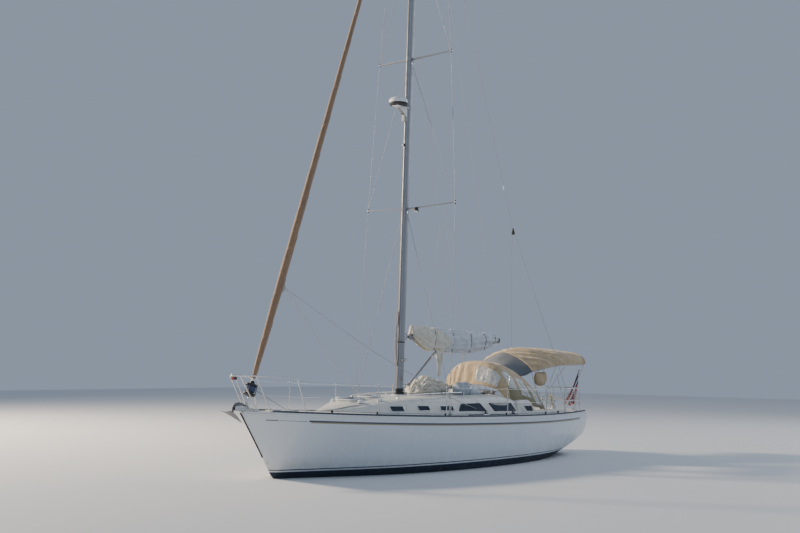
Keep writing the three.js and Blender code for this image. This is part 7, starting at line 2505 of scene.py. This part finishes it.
pole = [tubes("staff", [[STAFF_FOOT, STAFF_HEAD]], 0.0115, oiled_teak, 14),
    turned("truck", [(0, -0.012), (0.02, -0.008), (0.022, 0.004), (0.012, 0.02), (0, 0.022)], stainless,
        STAFF_HEAD, STAFF_HEAD - STAFF_FOOT, 18), turned("socket",
        [(0, -0.05), (0.018, -0.05), (0.018, 0.06), (0.0135, 0.062), (0, 0.062)], stainless, STAFF_FOOT,
        STAFF_HEAD - STAFF_FOOT, 16)]
dressed("ensign_staff", pole, "teak")
print("soft goods done")

# %% [markdown]
# ## Radar dome
#
# The dome is a white cap over a dark tray, on a bracket ahead of the mast. It could be sculpted, but both
# halves are plain turned forms, so two short tables of radius and height give them.

# %% Radar dome
RADAR_Z = 8.37
radar_x = mast_x(RADAR_Z) + 0.37
DOME = [(0, 0), (0.17, 0.0), (0.196, 0.008), (0.216, 0.03), (0.2225, 0.056), (0.2225, 0.06), (0, 0.06)]
UPPER = [(0, 0.061), (0.219, 0.061), (0.2245, 0.066), (0.2245, 0.098), (0.222, 0.122), (0.208, 0.152),
    (0.18, 0.176), (0.13, 0.191), (0.06, 0.199), (0, 0.2)]
parts = [turned("dome", profile, finish, (radar_x, 0, RADAR_Z), UP, 56, 50) for profile,
    finish in ((DOME, black_plastic), (UPPER, white_plastic))]
parts.append(block("shelf", (mast_x(RADAR_Z) + 0.06, -0.088, RADAR_Z - 0.020),
        (radar_x + 0.118, 0.088, RADAR_Z - 0.003), white_plastic, 0.005))
for sign in (1, -1):
    parts.append(plate("gusset", [(STEM - mast_x(8.2) - 0.11, 8.13), (STEM - mast_x(8.2) - 0.11, 8.355),
                (STEM - radar_x - 0.06, 8.355), (STEM - radar_x - 0.03, 8.335)], sign * 0.055 - 0.003,
            sign * 0.055 + 0.003, white_plastic))
parts.append(tubes("cable", [[(radar_x - 0.16, 0.03, 8.36), (radar_x - 0.2, 0.03, 8.2),
            on_mast(8.1, 0.10, 0.03)]], 0.006, black_plastic, 8, 0.04))
dressed("radome_dressed", parts, "gelcoat", "radome")

# %% [markdown]
# ## Cockpit and deck gear
#
# Winches are turned drums with grooves and a self-tailing ring. Clutches, tracks, cars and vents are
# small repeated fittings, so tables and loops place them on the surface that carries them.

# %% Winches
WINCH = [(0.024, 0.001), (0.0585, 0.001), (0.060, 0.006), (0.059, 0.013), (0.047, 0.024), (0.0425, 0.036),
    (0.041, 0.056), (0.043, 0.074), (0.050, 0.086), (0.056, 0.092), (0.0575, 0.097), (0.0565, 0.101),
    (0.046, 0.103), (0.046, 0.106), (0.0565, 0.108), (0.058, 0.112), (0.055, 0.116), (0.030, 0.116),
    (0.024, 0.113), (0.024, 0.001)]
for sign, side in SIDES:
    drum = turned("drum", WINCH, stainless, (aft(WINCH_AFT), sign * WINCH_OUT, WINCH_FOOT), UP, 48)
    grips = [tubes("grip", [[(aft(WINCH_AFT) + 0.0415 * math.cos(t), sign * WINCH_OUT + 0.0415 * math.sin(t),
                1.342), (aft(WINCH_AFT) + 0.042 * math.cos(t + 0.25),
                sign * WINCH_OUT + 0.042 * math.sin(t + 0.25), 1.385)]], 0.0022, stainless, 6)
        for t in angles(16)]
    dressed(f"winch_{side}_dressed", [drum] + grips, "steel", f"winch_{side}", body=f"winch_drum_{side}")
    cap = turned("cap", [(0, -0.004), (0.021, -0.004), (0.021, 0.0), (0.012, 0.003), (0, 0.003)], stainless,
        (aft(WINCH_AFT), sign * WINCH_OUT, 1.423), UP, 24)
    arm = block("tailer", (aft(WINCH_AFT) - 0.012, sign * WINCH_OUT - 0.02, 1.4285),
        (aft(WINCH_AFT) + 0.012, sign * WINCH_OUT + 0.066, 1.434), stainless, 0.002)
    dressed(f"winch_cap_{side}", [cap, arm], "steel")

# %% Deck gear
gear = []
for sign in (1, -1):
    rail = [(aft(a), sign * TRACK_OUT, deck_top(a, TRACK_OUT) + 0.008) for a in spread(5.75, 7.75, 14)]
    section = ((-0.016, -0.012), (0.016, -0.012), (0.016, 0.006), (-0.016, 0.006))
    rings = [[(x, y + dy, z + dz) for dy, dz in section] for x, y, z in rail]
    gear.append(crisp(make("track", *skin(rings), dark_anodised), 30))
    for a in (6.42, 7.55):
        z = deck_top(a, TRACK_OUT) + 0.012
        gear.append(block("car", (aft(a) - 0.06, sign * TRACK_OUT - 0.022, z),
                (aft(a) + 0.06, sign * TRACK_OUT + 0.022, z + 0.03), black_plastic, 0.006))
        gear.append(sheave((aft(a), sign * TRACK_OUT, z + 0.06), 0.036, 0.012, 24))
        gear.append(block("strap", (aft(a) - 0.01, sign * TRACK_OUT - 0.016, z + 0.02),
                (aft(a) + 0.01, sign * TRACK_OUT + 0.016, z + 0.10), stainless, 0.003))
    a = 7.30
    for k in range(3):
        y = sign * (0.50 + 0.045 * k)
        z = standing(aft(a), y)
        gear.append(block("clutch", (aft(a) - 0.07, y - 0.018, z - 0.004),
                (aft(a) + 0.07, y + 0.018, z + 0.045), black_plastic, 0.008, 3))
        gear.append(block("handle", (aft(a) - 0.055, y - 0.012, z + 0.046),
                (aft(a) + 0.06, y + 0.012, z + 0.058), white_plastic, 0.004))
    z = standing(aft(7.62), sign * 0.60)
    gear.append(turned("winch", [(0, -0.01), (0.066, -0.01), (0.066, 0.016), (0.046, 0.03), (0.043, 0.06),
                (0.052, 0.085), (0.055, 0.1), (0.055, 0.112), (0.02, 0.114), (0, 0.112)], stainless,
            (aft(7.62), sign * 0.60, z), UP, 40))
    for a, y in ((8.9, 1.02), (10.35, 1.0)):
        z = standing(aft(a), sign * y)
        gear.append(cleat((aft(a), sign * y, z), 0.1 * sign, 0.8, black_plastic))
    for a, y in ((3.45, 0.62), (3.05, 0.40)):
        z = standing(aft(a), sign * y)
        gear.append(turned("vent", [(0, -0.004), (0.075, -0.004), (0.072, 0.012), (0.045, 0.022),
                    (0.045, 0.028), (0.06, 0.034), (0.052, 0.05), (0.025, 0.062), (0, 0.064)], white_plastic,
                (aft(a), sign * y, z), UP, 32))
    for a in (5.05, 6.1):
        y = sign * 0.94
        z = standing(aft(a), y)
        gear.append(tubes("eye", [[(aft(a) - 0.02, y, z - 0.004), (aft(a) - 0.02, y, z + 0.03),
                    (aft(a) + 0.02, y, z + 0.03), (aft(a) + 0.02, y, z - 0.004)]], 0.004, stainless, 8,
                0.015))
for a, y in ((1.65, 0.30), (10.2, 1.25)):
    gear.append(turned("filler", [(0, -0.004), (0.03, -0.004), (0.03, 0.002), (0.022, 0.004), (0, 0.004)],
            stainless, (aft(a), y, deck_top(a, y)), UP, 24))
for y in (0.20, 0.26, -0.20, -0.26):
    path = [on_mast(1.70, 0.02, y * 0.4), (0.70, y, standing(0.70, y) + 0.02),
        (-1.0, y * 2.2, standing(-1.0, y * 2.2) + 0.014), (aft(7.25), y * 2.25 + 0.04,
            standing(aft(7.25), y * 2.25) + 0.022)]
    gear.append(tubes("led_line", [path], 0.005, (red_braid, white_braid, blue_braid,
                tan_line)[round(y * 50) % 4], 8, 0.05))
dressed("deck_gear", gear, "black")

# %% Pedestal and wheel
ped_x, WHEEL_Z, WHEEL_R = aft(9.48), 1.25, 0.43
PED = [(0.421, 0.118, 0.108), (0.44, 0.116, 0.106), (0.50, 0.098, 0.092), (0.70, 0.079, 0.074),
    (1.28, 0.079, 0.084), (1.322, 0.074, 0.078), (1.328, 0.06, 0.064)]
rings = []
for z, dx, dy in PED:
    rings.append([(ped_x + dx * math.copysign(abs(math.cos(t)) ** 0.45, math.cos(t)),
                dy * math.copysign(abs(math.sin(t)) ** 0.45, math.sin(t)), z) for t in angles(40)])
parts = [crisp(make("column", *skin(rings), white_gelcoat), 40)]
parts.append(turned("compass", [(0, 1.324), (0.09, 1.324), (0.092, 1.335), (0.085, 1.35), (0.074, 1.352),
            (0.07, 1.37), (0.05, 1.388), (0.025, 1.394), (0, 1.395)], black_plastic, (aft(9.47), 0, 0), UP,
        40))
parts.append(rod("shaft", 0.0155, 0.0, 0.24, stainless, (aft(9.5), 0, WHEEL_Z), (-1, 0, 0), 24))
parts.append(turned("nut", [(0, 0), (0.022, 0), (0.024, 0.012), (0.016, 0.022), (0, 0.022)], stainless,
        (aft(9.74), 0, WHEEL_Z), (-1, 0, 0), 24))
parts.append(tubes("guard", [[(ped_x + 0.13, y, z) for y, z in ((0.11, 0.422), (0.11, 1.36), (-0.11, 1.36),
            (-0.11, 0.422))]], 0.0125, stainless, 14, 0.09))
parts.append(tubes("throttle", [[(ped_x + 0.02, s * 0.08, 1.15), (ped_x + 0.02, s * 0.105, 1.15),
            (ped_x + 0.05, s * 0.108, 1.25)] for s in (1, -1)], 0.006, stainless, 8, 0.01))
for s in (1, -1):
    parts.append(turned("knob", [(0, -0.015), (0.012, -0.01), (0.014, 0.004), (0.009, 0.015), (0, 0.017)],
            (red_lamp if s > 0 else black_plastic), (ped_x + 0.052, s * 0.108, 1.262), (0.2, 0, 1), 16))
parts.append(block("instrument", (ped_x + 0.10, -0.10, 1.38), (ped_x + 0.135, 0.10, 1.50), black_plastic,
        0.012, 3))
dressed("pedestal_dressed", parts, "gelcoat", "steering_pedestal")

wheel_x = aft(9.66)
wheel_tree = new_tree("closed_rim", Radius=("Float", 0.0138), Spin=("Int", 14), Material=("Material", None))
source = wheel_tree.nodes.new("NodeGroupInput")
rim_circle = add(wheel_tree, "GeometryNodeCurvePrimitiveCircle", {"mode": "RADIUS"}, Resolution=96,
    Radius=WHEEL_R)
section = add(wheel_tree, "GeometryNodeCurvePrimitiveCircle", {"mode": "RADIUS"},
    Resolution=source.outputs["Spin"], Radius=source.outputs["Radius"])
swept = add(wheel_tree, "GeometryNodeCurveToMesh", Curve=rim_circle.outputs[0],
    Profile_Curve=section.outputs[0])
turned_rim = add(wheel_tree, "GeometryNodeTransform", Geometry=swept.outputs[0],
    Translation=(wheel_x, 0, WHEEL_Z), Rotation=(0, math.pi / 2, 0))
smooth_rim = add(wheel_tree, "GeometryNodeSetShadeSmooth", Geometry=turned_rim.outputs[0])
finish_tree(wheel_tree, smooth_rim.outputs[0], source.outputs["Material"])
rim_piece = run_tree(curve_of("rim", [[(0, 0, 0), (0, 0, 0.01)]]), wheel_tree, Radius=0.0138, Spin=14,
    Material=leather_wrap)
parts = [rim_piece]
for k in range(5):
    t = 2 * math.pi * k / 5 + math.pi / 2
    parts.append(tubes("spoke", [[(wheel_x, r * math.cos(t), WHEEL_Z + r * math.sin(t))
                for r in (0.04, WHEEL_R)]], 0.0078, stainless, 10))
parts.append(turned("hub", [(0.0168, -0.03), (0.044, -0.03), (0.048, -0.022), (0.048, 0.022), (0.044, 0.03),
            (0.0168, 0.03), (0.0168, -0.03)], stainless, (wheel_x, 0, WHEEL_Z), (1, 0, 0), 36))
dressed("wheel_dressed", parts, "steel", "steering_wheel", body="wheel")

# %% Cockpit details
parts = []
for sign in (1, -1):
    low = min(sign * 0.43, sign * 0.87)
    for a0, a1 in ((10.10, 9.41), (8.45, 8.17)):
        for k in range(7):
            y = low + 0.035 + k * 0.058
            parts.append(block("slat", (aft(a0), y, 0.7995), (aft(a1), y + 0.05, 0.8275), oiled_teak, 0.002,
                    1))
for k in range(9):
    y = -0.345 + k * 0.0775
    parts.append(block("grate", (aft(10.10), y, 0.4205), (aft(9.64), y + 0.066, 0.432), oiled_teak, 0.002, 1))
dressed("cockpit_slats", parts, "teak")
runners = [block("runner", (aft(8.15), s * 0.325 - 0.018, 0.86), (aft(8.122), s * 0.325 + 0.018, 1.50),
        oiled_teak, 0.004) for s in (1, -1)]
runners.append(block("threshold", (aft(8.16), -0.33, 0.875), (aft(8.115), 0.33, 0.905), oiled_teak, 0.006))
dressed("companionway_trim", runners, "teak")
horseshoe = [Vector((-3.99 + 0.125 * math.cos(t), 1.0, 1.425 + 0.135 * math.sin(t)))
    for t in spread(-0.6, math.pi + 0.6, 34)]
buoy = tubes("buoy", [horseshoe], 0.040, buoy_vinyl, 20)
for v in buoy.data.vertices:
    v.co.y = horseshoe[0].y + (v.co.y - horseshoe[0].y) * 0.75
ride(buoy)
ladder = [tubes("ladder", [[(aft(11.0), y, 1.16), (aft(11.0) - 0.03, y, 1.60)] for y in (-0.18, 0.18)],
        0.0115, stainless, 12)]
ladder += [tubes("rung", [[(aft(11.0) - 0.005 - 0.03 * t, -0.18, 1.22 + 0.34 * t),
            (aft(11.0) - 0.005 - 0.03 * t, 0.18, 1.22 + 0.34 * t)]], 0.0105, stainless, 12)
    for t in (0.05, 0.5, 0.95)]
dressed("stern_ladder", ladder, "steel")
print("cockpit done")

# %% [markdown]
# ## Below the waterline
#
# Keel, rudder and propeller are foils and blades, lofted through a few sections. Antifouling covers them,
# worn and streaked, and the propeller stays bare bronze.

# %% Keel, rudder, propeller, strut
FOIL = [(0, 0.0), (0.01, 0.13), (0.04, 0.27), (0.14, 0.42), (0.35, 0.50), (0.65, 0.36), (0.9, 0.12),
    (1, 0.02)]


def foil_ring(lead, chord, thick, z, slope=0.0, steps=16):
    shares = [(1 - math.cos(math.pi * k / steps)) / 2 for k in range(steps + 1)]
    side = [(aft(lead + chord * s), thick * smooth(FOIL, s)[1], z + slope * (lead + chord * s - lead))
        for s in shares]
    return side + [(x, -y, z) for x, y, z in side[-1:0:-1]]


def keel_rows(rows, count):
    return [smooth(rows, z) for z in spread(rows[0][0], rows[-1][0], count)]


KEEL = [(-1.95, 5.08, 1.50, 0.215), (-1.89, 4.99, 1.68, 0.355), (-1.80, 4.99, 1.68, 0.352),
    (-1.69, 5.05, 1.48, 0.20), (-1.50, 5.06, 1.42, 0.165), (-0.38, 4.78, 1.85, 0.21)]
keel = make("keel_fin", *skin([foil_ring(lead, chord, thick, z) for z, lead, chord,
            thick in keel_rows(KEEL, 48)]), antifoul)
ride(crisp(keel, 40), replaces=["keel"])

BLADE = [(-1.50, 9.89, 0.36, 0.06), (-1.30, 9.86, 0.48, 0.09), (-0.19, 9.82, 0.62, 0.11)]
rings = []
for t in spread(0, 1, 24):
    z = -1.5 + 1.31 * t
    row = smooth(BLADE, z)
    rise = 0.17 * min(1.0, t / 0.9)
    rings.append([(x, y, z + rise * (STEM - x - row[1])) for x, y, _ in foil_ring(*row[1:], z)])
blade = crisp(make("blade", *skin(rings), antifoul), 40)
stock = rod("stock", 0.0375, -0.5, 0.25, stainless, (aft(9.95), 0, 0), UP, 28)
dressed("rudder_dressed", [blade, stock], "antifoul", "rudder", body="rudder")

SHAFT_FROM, SHAFT_TO = Vector((-2.55, 0, -0.34)), Vector((-3.63, 0, -0.56))
run = (SHAFT_TO - SHAFT_FROM).normalized()
parts = [turned("shaft", [(0, 0), (0.0155, 0), (0.0155, (SHAFT_TO - SHAFT_FROM).length),
            (0, (SHAFT_TO - SHAFT_FROM).length)], stainless, SHAFT_FROM, run, 24)]
barrel_spot = SHAFT_FROM + run * ((3.50 - 2.55) / -run.x)
parts.append(turned("barrel", [(0, -0.06), (0.03, -0.06), (0.034, -0.052), (0.034, 0.052), (0.03, 0.06),
            (0, 0.06)], bronze, barrel_spot, run, 28))
parts.append(crisp(make("arm", *skin([[(barrel_spot.x + dx * c, 0.009 * s * (1 - 0.2 * c), z) for c,
            s in [(math.cos(t), math.sin(t)) for t in angles(20)]] for z,
            dx in ((barrel_spot.z, 0.045), ((barrel_spot.z - 0.1) / 2, 0.052), (-0.10, 0.06))]), bronze), 40))
dressed("strut_dressed", parts, "bronze", "shaft_strut")

PROP = [(0.020, 0.070, 0.016, 28), (0.090, 0.120, 0.011, 48), (0.160, 0.130, 0.008, 60),
    (0.205, 0.090, 0.005, 66), (0.215, 0.040, 0.004, 68)]
hub_spot = SHAFT_FROM + run * ((aft(9.33) - SHAFT_FROM.x) / run.x)
side_way = Vector((0, 1, 0))
up_way = run.cross(side_way).normalized()
parts = []
for k in range(3):
    t = 2 * math.pi * k / 3
    out = side_way * math.cos(t) + up_way * math.sin(t)
    across = run.cross(out)
    rings = []
    for r in spread(0.02, 0.215, 22):
        _, chord, thick, angle = smooth(PROP, r)
        pitch = math.radians(angle)
        wide, fat = across * math.cos(math.pi / 2 - pitch) + run * math.sin(math.pi / 2
            - pitch), run * math.cos(math.pi / 2 - pitch) - across * math.sin(math.pi / 2 - pitch)
        rings.append([hub_spot + out * r + wide * chord / 2 * math.cos(v) + fat * thick / 2 * math.sin(v)
                for v in angles(16)])
    parts.append(crisp(make("blade", *skin(rings), bronze), 60))
parts.append(turned("hub", [(0, -0.045), (0.034, -0.045), (0.04, -0.03), (0.038, 0.03), (0.026, 0.055),
            (0.012, 0.066), (0, 0.068)], bronze, hub_spot, run, 32))
dressed("propeller_dressed", parts, "bronze", "propeller", body="propeller")

# %% Pieces carried over
CARRIED = {"cabin_sole": oiled_teak, "engine": engine_paint}
for name, material in CARRIED.items():
    node = bpy.data.objects[name]
    node.data.materials.clear()
    node.data.materials.append(material)
